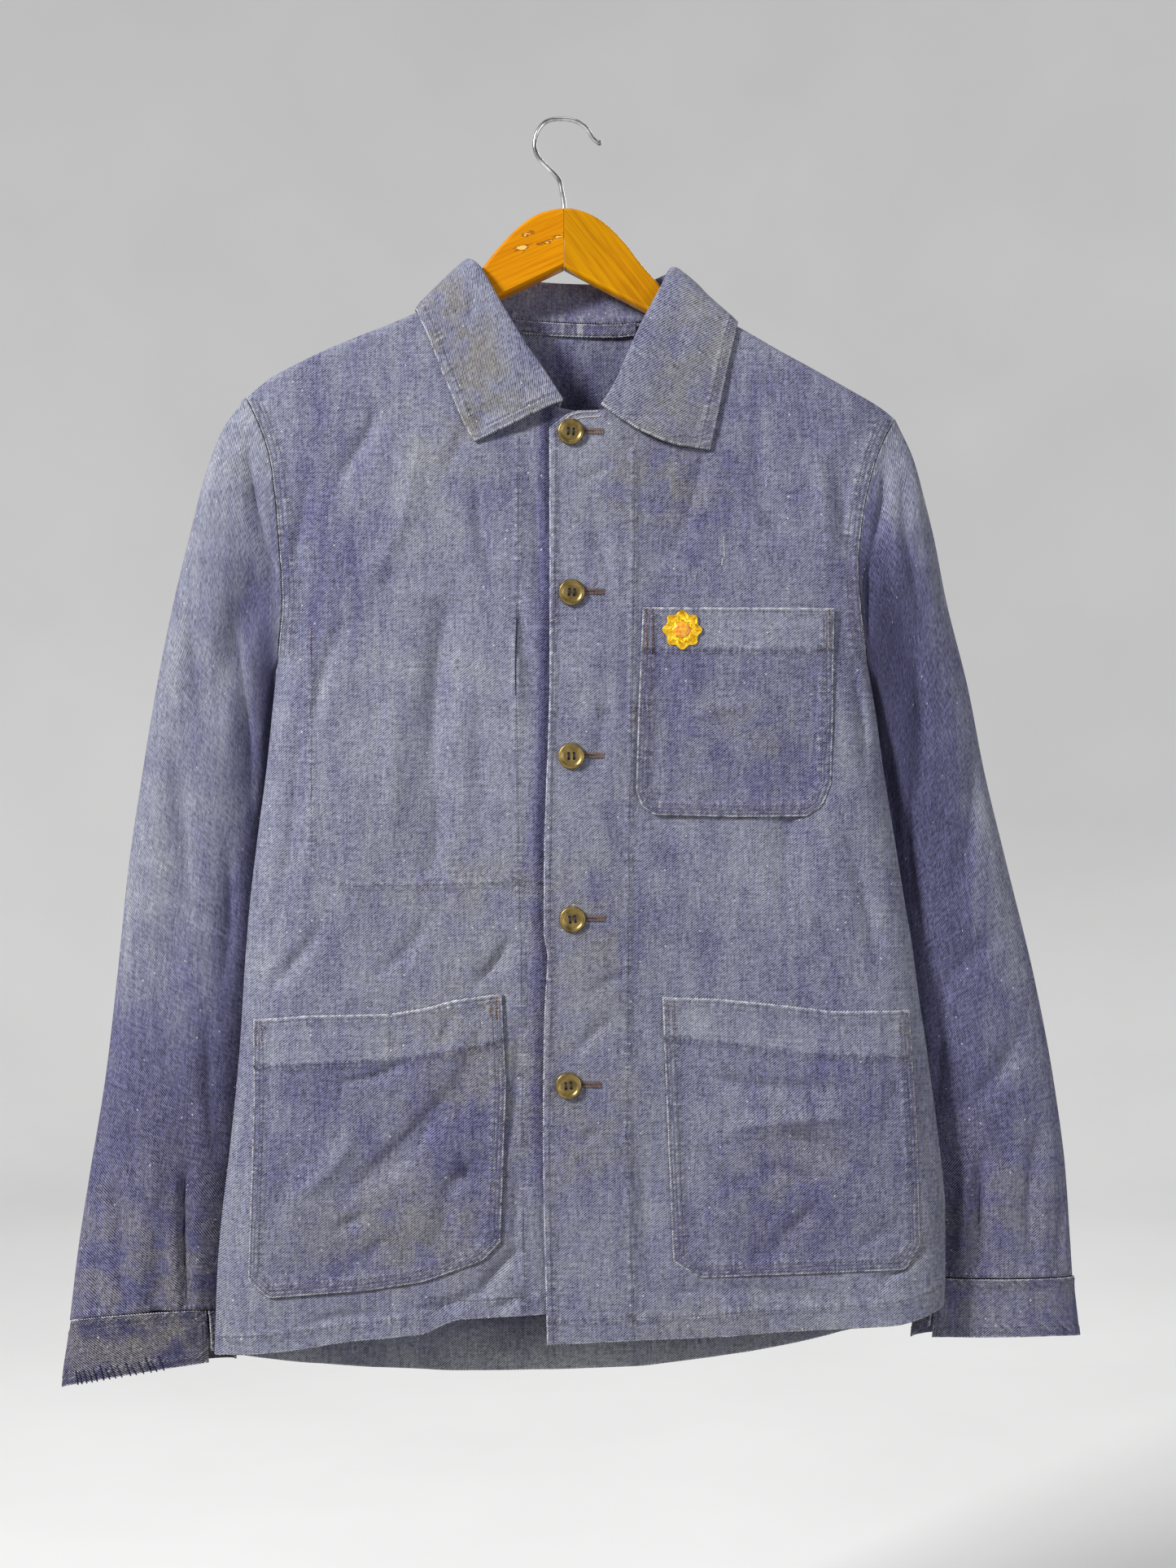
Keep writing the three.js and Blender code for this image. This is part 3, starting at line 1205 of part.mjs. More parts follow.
add('back_panel', wallFromGrid(backGrid(), clothWall, false, -1, fitPanel(1, -1, 1)), 'cloth');
add('front_right', wallFromGrid(rightGrid, clothWall, false, -1, fitPanel(-1, 0, -1)), 'cloth');
add('front_left', wallFromGrid(leftGrid, clothWall, false, 1, fitPanel(-1, 0, 1)), 'cloth');
const ringsRight = sleeveGrid(sleeveRight, -1, foldsSleeveRight, sleeveList);
const ringsLeft = sleeveGrid(sleeveLeft, 1, foldsSleeveLeft, sleeveList);
add('sleeve_right', wallFromGrid(ringsRight, clothWall, true, -1, fitSleeve(-1)), 'cloth');
add('sleeve_left', wallFromGrid(ringsLeft, clothWall, true, 1, fitSleeve(1)), 'cloth');
add('cuff_right', wallFromGrid(cuffGrid(cuffRight, cuffSlitRight, 20), clothWall, false, -1), 'cloth');
add('cuff_left', wallFromGrid(cuffGrid(cuffLeft, cuffSlitLeft, 20), clothWall, false, 1), 'cloth');
add('collar', wallFromGrid(collarGrid(1), collarWall, false, 1), 'collar');
add('neck_binding', bindingGrid(), 'binding');

const rightColumns = [0, 0.04, 0.08, 0.13, 0.2, 0.3, 0.42, 0.56, 0.7, 0.82, 0.92, 1];
const leftColumns = [0, 0.09, 0.22, 0.38, 0.52, 0.64, 0.74, 0.82, 0.88, 0.93, 0.97, 1];
const chestColumns = [0, 0.06, 0.13, 0.25, 0.37, 0.5, 0.62, 0.74, 0.86, 0.94, 1];
const innerColumns = [0, 0.06, 0.15, 0.3, 0.45, 0.6, 0.75, 0.88, 1];
add('lower_pocket_right', laidOn(lowerPocketRight, rightFacet, rightColumns,
  pocketRise(lowerPocketRight.bandFrom), lieGap, pocketWall, 1), 'pocket');
add('lower_pocket_left', laidOn(lowerPocketLeft, leftFacet, leftColumns,
  pocketRise(lowerPocketLeft.bandFrom), lieGap, pocketWall, 1), 'pocket');
add('chest_pocket', laidOn(chestPocket, leftFacet, chestColumns,
  pocketRise(chestPocket.bandFrom), lieGap, pocketWall, 1), 'pocket');
add('inner_pocket', laidOn(innerPocket, rightFacet, innerColumns,
  steps(9), clothWall + 1.6, 1.2, -1), 'pocket');

buttonPlaces.forEach((place, i) => {
  add(`button_${i + 1}`, buttonGeometry(place), 'button');
});
add('pin_badge', badgeGeometry(), 'gilt');
add('hanger_right', boardHalf(-1), 'wood');
add('hanger_left', boardHalf(1), 'wood');
add('hook', hookGeometry(), 'steel');

export default group;
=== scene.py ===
import math

import bmesh
import bpy
import numpy as np
from mathutils import Matrix, Vector


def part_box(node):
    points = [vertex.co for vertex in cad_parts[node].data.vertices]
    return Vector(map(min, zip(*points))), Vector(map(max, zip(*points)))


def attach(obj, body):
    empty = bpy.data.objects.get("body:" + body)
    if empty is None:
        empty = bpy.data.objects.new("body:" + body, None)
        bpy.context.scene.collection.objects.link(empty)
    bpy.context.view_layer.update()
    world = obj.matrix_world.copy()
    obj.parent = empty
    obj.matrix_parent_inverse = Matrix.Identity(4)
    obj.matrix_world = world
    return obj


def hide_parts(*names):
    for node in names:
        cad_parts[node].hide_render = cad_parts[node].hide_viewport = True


# Chore jacket on a wooden hanger. Lengths here are millimetres until a mesh is made.
# +X is the viewer's right, -Y faces the viewer, +Z is up; the origin is inside the hook's top.

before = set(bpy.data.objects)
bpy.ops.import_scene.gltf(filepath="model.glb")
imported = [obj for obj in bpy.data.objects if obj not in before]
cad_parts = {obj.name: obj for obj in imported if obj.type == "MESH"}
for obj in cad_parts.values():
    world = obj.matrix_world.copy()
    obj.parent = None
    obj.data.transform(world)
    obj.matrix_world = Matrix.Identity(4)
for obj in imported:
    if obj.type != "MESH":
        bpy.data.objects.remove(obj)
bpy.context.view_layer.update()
for spare in ("Cube", "Light", "Camera"):
    if spare in bpy.data.objects:
        bpy.data.objects.remove(bpy.data.objects[spare])
print("frame loaded")


def mix(a, b, k):
    return a + (b - a) * k


def smooth(value):
    v = np.clip(value, 0, 1)
    return v * v * (3 - 2 * v)


def through(rows):
    # smooth curve through a table's rows, sorted by the first column; never overshoots
    table = np.array(sorted(rows), float)
    places = table[:, 0]
    span = np.diff(places)
    slopes = np.diff(table, axis=0) / span[:, None]
    before, after = slopes[:-1], slopes[1:]
    both = before * after
    middle = np.where(both > 0, 2 * both / np.where(both > 0, before + after, 1), 0)
    tangents = np.vstack([slopes[:1], middle, slopes[-1:]])

    def at(value, column=1):
        v = np.clip(value, places[0], places[-1])
        i = np.clip(np.searchsorted(places, v) - 1, 0, len(places) - 2)
        k = (v - places[i]) / span[i]
        k2, k3 = k * k, k * k * k
        return ((2 * k3 - 3 * k2 + 1) * table[i, column] + (k3 - 2 * k2 + k) * span[i] * tangents[i, column]
                + (3 * k2 - 2 * k3) * table[i + 1, column] + (k3 - k2) * span[i] * tangents[i + 1, column])

    return at


def softNoise(x, z, cell, seed):
    # smooth value noise from -1 to 1, one random value a cell
    grid = np.random.default_rng(seed).uniform(-1, 1, (64, 64))
    gx, gz = x / cell + 321.3, z / cell + 517.7
    ix, iz = np.floor(gx).astype(int), np.floor(gz).astype(int)
    kx, kz = smooth(gx - ix), smooth(gz - iz)
    a, b = grid[ix % 64, iz % 64], grid[(ix + 1) % 64, iz % 64]
    c, d = grid[ix % 64, (iz + 1) % 64], grid[(ix + 1) % 64, (iz + 1) % 64]
    return mix(mix(a, b, kx), mix(c, d, kx), kz)


creaseLook = {"width": 0.68, "depth": 3.0}


def creaseSum(creases, x, z):
    # soft troughs (depth > 0) and ridges; bow bends the line, near and far are its two flanks' widths
    total = np.zeros_like(x, dtype=float)
    for x1, z1, x2, z2, bow, depth, near, far in creases:
        dx, dz = x2 - x1, z2 - z1
        length = math.hypot(dx, dz)
        k = np.clip(((x - x1) * dx + (z - z1) * dz) / length ** 2, 0, 1)
        px, pz = x - x1 - dx * k, z - z1 - dz * k
        side = (px * -dz + pz * dx) / length - bow * 4 * k * (1 - k)
        beyond = np.abs((px * dx + pz * dz) / length)
        off = np.hypot(side, beyond) / np.where(side > 0, near, far) / creaseLook["width"]
        taper = np.sin(np.pi * np.clip(k, 0.02, 0.98)) ** 0.7
        trough = 0.55 * np.exp(-off ** 2) + 0.45 * np.exp(-2.2 * np.abs(off))
        total += creaseLook["depth"] * depth * taper * trough
    return total


def lineDistance(px, pz, lines):
    # distance from each point to the nearest of several lines, and the place along it
    shape = px.shape
    points = np.stack([px.ravel(), pz.ravel()], 1)
    best = np.full(len(points), 1e6)
    along = np.zeros(len(points))
    run = 0.0
    for line in lines:
        line = np.array(line, float)
        for a, b in zip(line[:-1], line[1:]):
            d = b - a
            length = math.hypot(*d)
            if length < 1e-6:
                continue
            k = np.clip(((points - a) @ d) / length ** 2, 0, 1)
            gap = np.hypot(*(points - a - k[:, None] * d).T)
            closer = gap < best
            best = np.where(closer, gap, best)
            along = np.where(closer, run + k * length, along)
            run += length
    return best.reshape(shape), along.reshape(shape)


def walk(points):
    # a line walked by its own length, 0 to 1
    points = np.array(points, float)
    sums = np.concatenate([[0], np.cumsum(np.hypot(*np.diff(points, axis=0).T))])

    def at(k):
        place = np.clip(k, 0, 1) * sums[-1]
        return np.interp(place, sums, points[:, 0]), np.interp(place, sums, points[:, 1])

    return at


def softened(rows, reach=0.012):
    # a line through (at, x, z) rows with its corners slightly rounded
    table = np.array(rows, float)

    def at(k):
        k = np.asarray(k, float)
        room = np.minimum(reach, np.minimum(k, 1 - k))
        shifts = (-1, -0.5, 0, 0.5, 1)
        return tuple(sum(np.interp(k + room * s, table[:, 0], table[:, c]) for s in shifts) / len(shifts)
                     for c in (1, 2))

    return at


def patch(bottom, top, first, last, across, up):
    # surface spanned between four edges; returns x and z of every grid point
    s, t = across[None, :], up[:, None]
    corner = {(i, j): (bottom, top)[j](float(i)) for i in (0, 1) for j in (0, 1)}
    grids = []
    for axis in (0, 1):
        b, u = bottom(across)[axis][None, :], top(across)[axis][None, :]
        l, r = first(up)[axis][:, None], last(up)[axis][:, None]
        grids.append((1 - t) * b + t * u + (1 - s) * l + s * r
                     - (1 - s) * (1 - t) * corner[0, 0][axis] - s * (1 - t) * corner[1, 0][axis]
                     - (1 - s) * t * corner[0, 1][axis] - s * t * corner[1, 1][axis])
    return grids


def spaced(count, start=0.0, end=0.0, reach=0.04):
    # places from 0 to 1, closer together near the start and the end
    u = np.linspace(0, 1, count)
    density = 1 + start * np.exp(-u / reach) + end * np.exp(-(1 - u) / reach)
    steps = 2 / (density[1:] + density[:-1])
    return np.concatenate([[0], np.cumsum(steps)]) / steps.sum()


def normalsOf(grid, wrap=False):
    if wrap:
        across = np.roll(grid, -1, 1) - np.roll(grid, 1, 1)
    else:
        across = np.gradient(grid, axis=1)
    n = np.cross(across, np.gradient(grid, axis=0))
    return n / np.maximum(np.linalg.norm(n, axis=2, keepdims=True), 1e-9)


def placed(name, mesh, material, smoothShade=True):
    obj = bpy.data.objects.new(name, mesh)
    bpy.context.scene.collection.objects.link(obj)
    mesh.materials.clear()
    mesh.materials.append(material)
    if smoothShade:
        mesh.polygons.foreach_set("use_smooth", np.ones(len(mesh.polygons), bool))
    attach(obj, "root")
    return obj


def clothShell(name, outer, wall, outward, chart, marks, material, wrap=False):
    # closed thin shell with rounded rims behind the outer grid; outward is one point's outer direction
    rows, cols = outer.shape[:2]
    n = normalsOf(outer, wrap)
    middle = n[rows // 2, cols // 2]
    if np.dot(middle, outward) < 0:
        n = -n
    inner = outer - n * wall
    rim = (outer + inner) / 2
    near, far = outer.copy(), inner.copy()
    edges = [(0, slice(None), 1), (-1, slice(None), -2)]
    for grid in (near, far):
        for edge, every, beside in edges:
            step = grid[beside, every] - grid[edge, every]
            size = np.maximum(np.linalg.norm(step, axis=-1, keepdims=True), 1e-6)
            grid[edge, every] += step / size * np.minimum(wall * 0.5, size * 0.45)
        if not wrap:
            for edge, beside in ((0, 1), (-1, -2)):
                step = grid[:, beside] - grid[:, edge]
                size = np.maximum(np.linalg.norm(step, axis=-1, keepdims=True), 1e-6)
                grid[:, edge] += step / size * np.minimum(wall * 0.5, size * 0.45)
    count = rows * cols
    if wrap:
        loops = [np.arange(cols), (rows - 1) * cols + np.arange(cols)]
    else:
        loops = [np.concatenate([np.arange(cols), np.arange(1, rows) * cols + cols - 1,
                                 (rows - 1) * cols + np.arange(cols - 2, -1, -1),
                                 np.arange(rows - 2, 0, -1) * cols])]
    points = [near.reshape(-1, 3), far.reshape(-1, 3)]
    source = [np.arange(count), np.arange(count)]
    layer = [np.zeros(count), np.ones(count)]
    quads, corners = [], []
    j, i = np.meshgrid(np.arange(rows - 1), np.arange(cols if wrap else cols - 1), indexing="ij")
    i2 = (i + 1) % cols
    face = np.stack([j * cols + i, j * cols + i2, (j + 1) * cols + i2, (j + 1) * cols + i], -1).reshape(-1, 4)
    wide = cols + 1 if wrap else cols
    corner = np.stack([j * wide + i, j * wide + i + 1, (j + 1) * wide + i + 1, (j + 1) * wide + i], -1)
    corner = corner.reshape(-1, 4)
    quads += [face, face[:, ::-1] + count]
    corners += [corner, corner[:, ::-1]]
    start = 2 * count
    for loop in loops:
        size = len(loop)
        points.append(rim.reshape(-1, 3)[loop])
        source.append(loop)
        layer.append(np.full(size, 0.5))
        a = np.arange(size)
        b = (a + 1) % size
        back = wrap and loop is loops[1]
        for one, two in ((loop, start + a), (start + a, count + loop)):
            strip = np.stack([one[a], two[a], two[b], one[b]], -1)
            quads.append(strip[:, ::-1] if back else strip)
        at = (loop // cols) * wide + loop % cols
        strip = np.stack([at[a], at[a], at[b], at[b]], -1)
        corners += [strip[:, ::-1] if back else strip] * 2
        start += size
    co = np.concatenate(points) * 0.001
    source = np.concatenate(source)
    quads, corners = np.concatenate(quads), np.concatenate(corners)
    volume = np.einsum("ij,ij->i", co[quads[:, 0]], np.cross(co[quads[:, 1]], co[quads[:, 2]])).sum()
    volume += np.einsum("ij,ij->i", co[quads[:, 0]], np.cross(co[quads[:, 2]], co[quads[:, 3]])).sum()
    if volume < 0:
        quads, corners = quads[:, ::-1], corners[:, ::-1]
    mesh = bpy.data.meshes.new(name)
    mesh.vertices.add(len(co))
    mesh.vertices.foreach_set("co", co.astype(np.float32).ravel())
    mesh.loops.add(quads.size)
    mesh.loops.foreach_set("vertex_index", quads.astype(np.int32).ravel())
    mesh.polygons.add(len(quads))
    mesh.polygons.foreach_set("loop_start", np.arange(0, quads.size, 4, dtype=np.int32))
    mesh.update(calc_edges=True)
    uv = mesh.uv_layers.new(name="cloth")
    flat = np.stack(chart, -1).reshape(-1, 2) * 0.001
    uv.data.foreach_set("uv", flat[corners.ravel()].astype(np.float32).ravel())
    values = dict(marks, inside=None)
    for key, value in values.items():
        spread = None if value is None else np.broadcast_to(value, (rows, cols)).ravel()[source]
        data = np.concatenate(layer) if value is None else spread
        mesh.attributes.new(key, "FLOAT", "POINT").data.foreach_set("value", data.astype(np.float32))
    mesh.validate()
    return placed(name, mesh, material)


def densified(line, step=2.0):
    # the same line with points about one step apart
    line = np.array(line, float)
    out = [line[:1]]
    for a, b in zip(line[:-1], line[1:]):
        count = max(1, int(round(np.linalg.norm(b - a) / step)))
        k = np.arange(1, count + 1)[:, None] / count
        out.append(a + (b - a) * k)
    return np.concatenate(out)


shoulderLine = [  # x, z
    (-222, -191.5), (-204.5, -178.2), (-187.5, -169.2), (-165, -158.4), (-142.5, -149),
    (-120, -140.3), (-101, -132), (-74, -121), (-20, -97), (0, -91), (22, -97), (82, -124.5),
    (118.5, -142), (143.8, -156.5), (172, -172), (194.5, -184.8), (217, -197.6), (230, -207.5)
]

sideRight = [  # z, x
    (-850, -240), (-790, -238), (-753, -235), (-711, -230), (-634, -222.5), (-584, -219.5),
    (-540, -216), (-497, -211), (-447, -204.5), (-387, -198.4), (-359, -195), (-333, -192.6),
    (-301, -194.4), (-261, -198), (-236, -201.5), (-214, -208.5), (-191, -219.5)
]

sideLeft = [  # z, x
    (-815, 260), (-791, 261), (-748, 261), (-723, 259), (-689, 255), (-637, 248), (-600, 242.5),
    (-566, 238), (-540, 233.5), (-481, 224), (-447, 218.5), (-412, 213.8), (-367, 206.3),
    (-332, 202), (-306, 200.6), (-285, 202.4), (-265, 205.4), (-249, 209.3), (-235, 213.4),
    (-222, 218.8), (-205.5, 227.5)
]

standOff = [  # drop, front, back
    (0, 10.5, 10.5), (60, 15, 15.5), (150, 22, 17.5), (300, 28.5, 18), (480, 33, 17),
    (640, 35.5, 16), (800, 36.5, 16)
]

hemFrontRight = [  # x, z
    (-240, -847.5), (-228, -844), (-216, -842.8), (-184, -839.6), (-152, -834.6), (-112, -830.2),
    (-95.6, -828.2), (-81, -822), (-71.5, -818.7), (-47, -817), (-12, -814.7), (22, -813)
]

hemFrontLeft = [  # x, z
    (-11.5, -834.3), (29.5, -832.4), (96, -830.2), (166, -825.7), (225, -822), (242.7, -818.2),
    (260, -813.5)
]

hemBack = [  # x, z
    (-240, -847.5), (-206, -856.5), (-174.5, -862), (-124.7, -864.8), (-74.7, -866.5), (-13, -866),
    (50, -863.7), (90.7, -859.2), (121, -854.7), (151, -849.3), (190, -840), (228, -828),
    (260, -813.5)
]

placketEdge = [  # z, x
    (-834.3, -11.5), (-699, -14.3), (-628, -13.8), (-598, -12.7), (-575, -11.3), (-557, -13.8),
    (-521, -13.8), (-379, -10), (-215.5, -10.3)
]

standTop = [  # x, z
    (21, -203.4), (9, -203.6), (0.5, -206.5), (-5.5, -211), (-10.3, -215.5)
]

collarSections = [  # nx, nz, fx, fz, ex, ez, foldY, turn, sag
    (-3, -201, -0.4, -196.8, -61.4, -225, -23.5, 0, 0),
    (-17, -186, -12.8, -177, -68.8, -212, -21, 0, 0),
    (-34, -167, -25.5, -158.5, -75.5, -196, -19, 0, 0),
    (-52, -146.5, -38, -137.7, -84, -175.6, -17, 4, 0),
    (-64.5, -132, -47.7, -120.4, -91.2, -156, -15, 14, 0),
    (-71.3, -124, -57, -103.5, -97.4, -141, -11, 36, 0),
    (-73.2, -121.7, -61.5, -98.5, -100.2, -133.8, -6.5, 62, 0),
    (-74, -121, -63.5, -96.5, -101.5, -132.2, 0, 90, 0),
    (-73.2, -121.7, -63, -97, -100.5, -133.8, 6, 116, 0),
    (-69, -124.5, -59.5, -98.5, -95.5, -142, 12, 138, 0),
    (-54, -130, -48, -101.5, -80, -152, 18.5, 156, 0),
    (-30, -134.5, -27, -104.5, -47, -161, 22.5, 172, 0), (2, -136.5, 0, -106, 0, -165, 24, 180, 0),
    (36, -137.5, 31, -107, 54, -166, 22.5, 188, 0),
    (61, -134.5, 55, -106.5, 93, -160, 18.5, 204, 0),
    (76.5, -129, 67.5, -104, 111, -151, 12, 222, 0),
    (81.2, -125.2, 71.8, -102.5, 116.4, -143.4, 6, 244, 0),
    (82, -124.5, 72.4, -102, 117.5, -141.6, 0, 270, 0),
    (81.2, -125.3, 70.5, -105, 117, -143.6, -6.5, 298, 0),
    (79.2, -128.2, 66.2, -114.9, 115, -153, -11, 324, 0),
    (73, -138, 57.4, -132.3, 111.6, -170.6, -15, 346, 0),
    (62, -155.5, 49.3, -149.1, 108.5, -187.1, -18, 356, -1),
    (50, -173, 41.2, -168.4, 105.3, -202.6, -20.5, 360, -3),
    (39, -190, 33, -186.8, 102, -217.8, -23, 360, -5),
    (27.5, -203, 24.5, -200.3, 99.2, -230.2, -25.5, 360, -7.5)
]

sleeveRight = [  # ox, oz, ix, iz, cy, half, lift, back
    (-219.5, -191, -193.3, -372, -4.5, 12, 0, 0), (-237, -218, -199.5, -388, -3, 20, 0, 6),
    (-249, -253, -199.8, -402, -1, 24, 0, 9), (-258, -287, -200, -420, 1, 25, 0, 11),
    (-269.5, -332, -201, -445, 4, 25, 0, 10), (-282.5, -393, -204.5, -485, 8, 24, 0, 7),
    (-292.5, -451, -208.5, -530, 10, 22, 0, 4), (-302.3, -515, -212.5, -580, 11.5, 21, 0, 2),
    (-310.5, -592, -217, -640, 12.5, 20, 0, 0), (-318.8, -662, -221, -698, 13, 19, 1, 0),
    (-330.2, -732, -226, -750, 13, 18, 3, 0), (-338, -783, -230, -789, 13, 17, 4.5, 0),
    (-343.7, -831.5, -232, -824, 13, 16, 6, 0)
]

cuffRight = [  # ox, oz, ix, iz, cy, half, lift, back
    (-344.6, -832, -231.6, -824.4, 13, 16.5, 6, 0), (-346.5, -846, -230.6, -835, 13, 16.8, 6, 0),
    (-349, -862, -229.5, -847, 13, 17, 5.5, 0), (-351, -877.5, -228.3, -858, 13, 17.3, 5, 0)
]

sleeveLeft = [  # ox, oz, ix, iz, cy, half, lift, back
    (227.5, -205.5, 207.2, -372, -4.5, 12, 0, 0), (240, -233, 210.8, -388, -3, 20, 0, 6),
    (247.5, -260, 211.8, -402, -1, 24, 0, 9), (255, -289, 212.8, -420, 1, 25, 0, 11),
    (263.5, -330, 215.2, -445, 4, 25, 0, 10), (279.5, -391, 220, -485, 8, 24, 0, 7),
    (291.5, -450, 225, -530, 10, 22, 0, 4), (307.5, -515, 231, -580, 11.5, 21, 0, 2),
    (326.5, -592, 238, -638, 12.5, 20, 0, 0), (340.2, -664, 244, -692, 13, 19, 0, 0),
    (348.4, -726, 247, -738, 13, 18, 0, 0), (351.3, -769, 246, -773, 13, 17, 0.5, 0),
    (353.2, -799.3, 244.5, -799.3, 13, 16, 1, 0)
]

cuffLeft = [  # ox, oz, ix, iz, cy, half, lift, back
    (354, -799.9, 244, -799.9, 13, 16.5, 1, 0), (355.3, -813, 243, -813.5, 13, 16.8, 1.5, 0),
    (356.9, -827, 242, -828, 13, 17, 2.5, 0), (358.5, -841.4, 241, -842.6, 13, 17.3, 3.5, 0)
]

foldsFront = [  # x1, z1, x2, z2, spread, depth
    (-80, -331, -92, -521, 15, 2.6), (-129, -195, -160, -262, 13, 1.8),
    (-150, -560, -130, -420, 20, -1.6), (150, -540, 176, -320, 18, 1.8),
    (60, -560, 95, -500, 22, -1.4)
]

foldsBack = [  # x1, z1, x2, z2, spread, depth
    (-120, -210, -70, -480, 24, 3), (110, -215, 84, -520, 24, 3.2),
    (-20, -560, -34, -800, 26, 2.4), (120, -610, 140, -800, 22, -2)
]

foldsSleeveRight = [  # from, to, at, drift, spread, depth
    (0.02, 0.42, 112, -28, 15, 7), (0.2, 0.75, 60, 20, 18, 3.5), (0.72, 1, 104, -8, 10, 4),
    (0.15, 0.8, 265, 20, 20, 4)
]

foldsSleeveLeft = [  # from, to, at, drift, spread, depth
    (0.02, 0.35, 112, -20, 15, 6), (0.3, 0.62, 140, 4, 13, 8), (0.7, 1, 128, 8, 12, 4),
    (0.15, 0.8, 268, -20, 20, 4)
]

buttonPlaces = [  # x, z
    (4.4, -218.6), (5, -328), (4.8, -438.7), (5.6, -548.6), (2.9, -660.2)
]

bindingEdges = [  # x, top, low
    (-45, -132.4, -142), (-30, -134.8, -144), (0, -136.8, -146), (34, -137.8, -147),
    (50, -136.6, -145.5)
]

crown = [  # x, z
    (-71, -125.5), (-65, -115.5), (-55.9, -101.5), (-44.3, -87), (-30.7, -73.4), (-16.9, -64.8),
    (0, -61.4), (13.9, -64), (27.5, -71.7), (41.3, -85.3), (53.2, -100.8), (65.3, -114.4),
    (76, -128)
]

hookPath = [  # x, z
    (-0.6, -58), (-2.2, -48.3), (-3.6, -41.6), (-6.7, -37.1), (-10.7, -33.1), (-15.7, -28.1),
    (-19.1, -23.6), (-20.8, -18), (-20.2, -11.2), (-18, -5.6), (-14, -1.1), (-8.4, 1.1), (-2, 1.5),
    (3.6, 1.1), (9, -0.6), (13.5, -3.4), (16.3, -6.7), (19.1, -11.2), (21.3, -13.6), (25.2, -15.6)
]

lowerPocketRight = {  # edges: at, x, z
    "top": [(0, -211, -616.7), (0.22, -176.8, -613.7), (0.56, -118, -612.4), (0.7, -94.7, -608.6),
            (0.82, -73.9, -603), (1, -42.1, -598.4)],
    "bottom": [(0, -213.2, -791.3), (0.08, -199.3, -803.7), (0.5, -132.6, -798.5), (0.7, -96, -793),
               (0.92, -55, -778.6), (1, -42.9, -765.6)],
    "viewerLeft": [(0, -213.2, -791.3), (0.6, -210.2, -675), (1, -211, -616.7)],
    "viewerRight": [(0, -42.9, -765.6), (0.6, -38.9, -660), (1, -42.1, -598.4)],
    "bandFrom": 0.81,
}

lowerPocketLeft = {  # edges: at, x, z
    "top": [(0, 66, -601), (0.22, 104.3, -602.2), (0.5, 150.5, -606.9), (0.68, 181.2, -610.6),
            (1, 234, -610.4)],
    "bottom": [(0, 73.2, -778.6), (0.09, 90.7, -789.8), (0.5, 165.8, -787.1), (0.92, 230, -784.6),
               (1, 240, -768)],
    "viewerLeft": [(0, 73.2, -778.6), (0.55, 69.1, -679), (1, 66, -601)],
    "viewerRight": [(0, 240, -768), (0.5, 238.6, -694), (1, 234, -610.4)],
    "bandFrom": 0.8,
}

chestPocket = {  # edges: at, x, z
    "top": [(0, 53, -337.9), (1, 183.5, -337.9)],
    "bottom": [(0, 48.3, -462), (0.06, 52.5, -473), (0.13, 60.5, -478.6), (0.5, 115.4, -480),
               (0.86, 164, -479.6), (0.94, 174.5, -472.5), (1, 180.6, -457)],
    "viewerLeft": [(0, 48.3, -462), (0.45, 50.2, -403), (1, 53, -337.9)],
    "viewerRight": [(0, 180.6, -457), (0.4, 182.2, -410), (1, 183.5, -337.9)],
    "bandFrom": 0.77,
}

innerPocket = {  # edges: at, x, z
    "top": [(0, -172.1, -345), (1, 12, -345)],
    "bottom": [(0, -170.5, -512), (0.06, -159, -523.6), (0.15, -144, -526.9), (1, 12, -523)],
    "viewerLeft": [(0, -170.5, -512), (1, -172.1, -345)],
    "viewerRight": [(0, 12, -523), (1, 12, -345)],
    "bandFrom": 2,
}


shoulderAt = through(shoulderLine)
sideRightAt = through(sideRight)
sideLeftAt = through(sideLeft)
standOffAt = through(standOff)
placketAt = through(placketEdge)
hemRightAt = through(hemFrontRight)
hemLeftAt = through(hemFrontLeft)
hemBackAt = through(hemBack)
hemLines = {"frontRight": hemRightAt, "frontLeft": hemLeftAt, "back": hemBackAt}
tips = {-1: (-219.5, -191), 1: (227.5, -205.5)}  # shoulder tips: x, z
cut = {  # sizes shared by the body panels
    "underarmZ": -372, "sideSeamY": -9, "armholeFront": 11, "armholeBack": 13,
    "ridgeRadius": 9, "ridgePower": 2.5, "lapForward": 3.2, "lapFull": 26, "lapFade": 44,
    "underlapX": 22, "clothWall": 1.15, "hemWelt": 0.55,
}


def edgeX(side, z):
    return np.where(np.asarray(side) < 0, sideRightAt(z), sideLeftAt(z))


def seamDepth(side, z, face):
    # depth of the side seam and, above the underarm, of the armhole seam
    tipZ = np.where(np.asarray(side) < 0, tips[-1][1], tips[1][1])
    f = np.clip((tipZ - z) / (tipZ - cut["underarmZ"]), 0, 1)
    reach = np.where(np.asarray(face) < 0, -cut["armholeFront"], cut["armholeBack"])
    return cut["sideSeamY"] * f + reach * 2 * np.sqrt(f * (1 - f))


def roundOver(distance, reach, power):
    rest = 1 - np.clip(distance / reach, 0, 1)
    return (1 - rest ** power) ** (1 / power)


def pressedFolds(folds, x, z):
    total = 0
    for x1, z1, x2, z2, spread, depth in folds:
        dx, dz = x2 - x1, z2 - z1
        k = np.clip(((x - x1) * dx + (z - z1) * dz) / (dx * dx + dz * dz), 0, 1)
        off = np.hypot(x - x1 - dx * k, z - z1 - dz * k)
        taper = np.sqrt(np.clip(1 - (2 * k - 1) ** 4, 0, 1))
        total = total + depth * taper * np.exp(-(off / spread) ** 2)
    return total


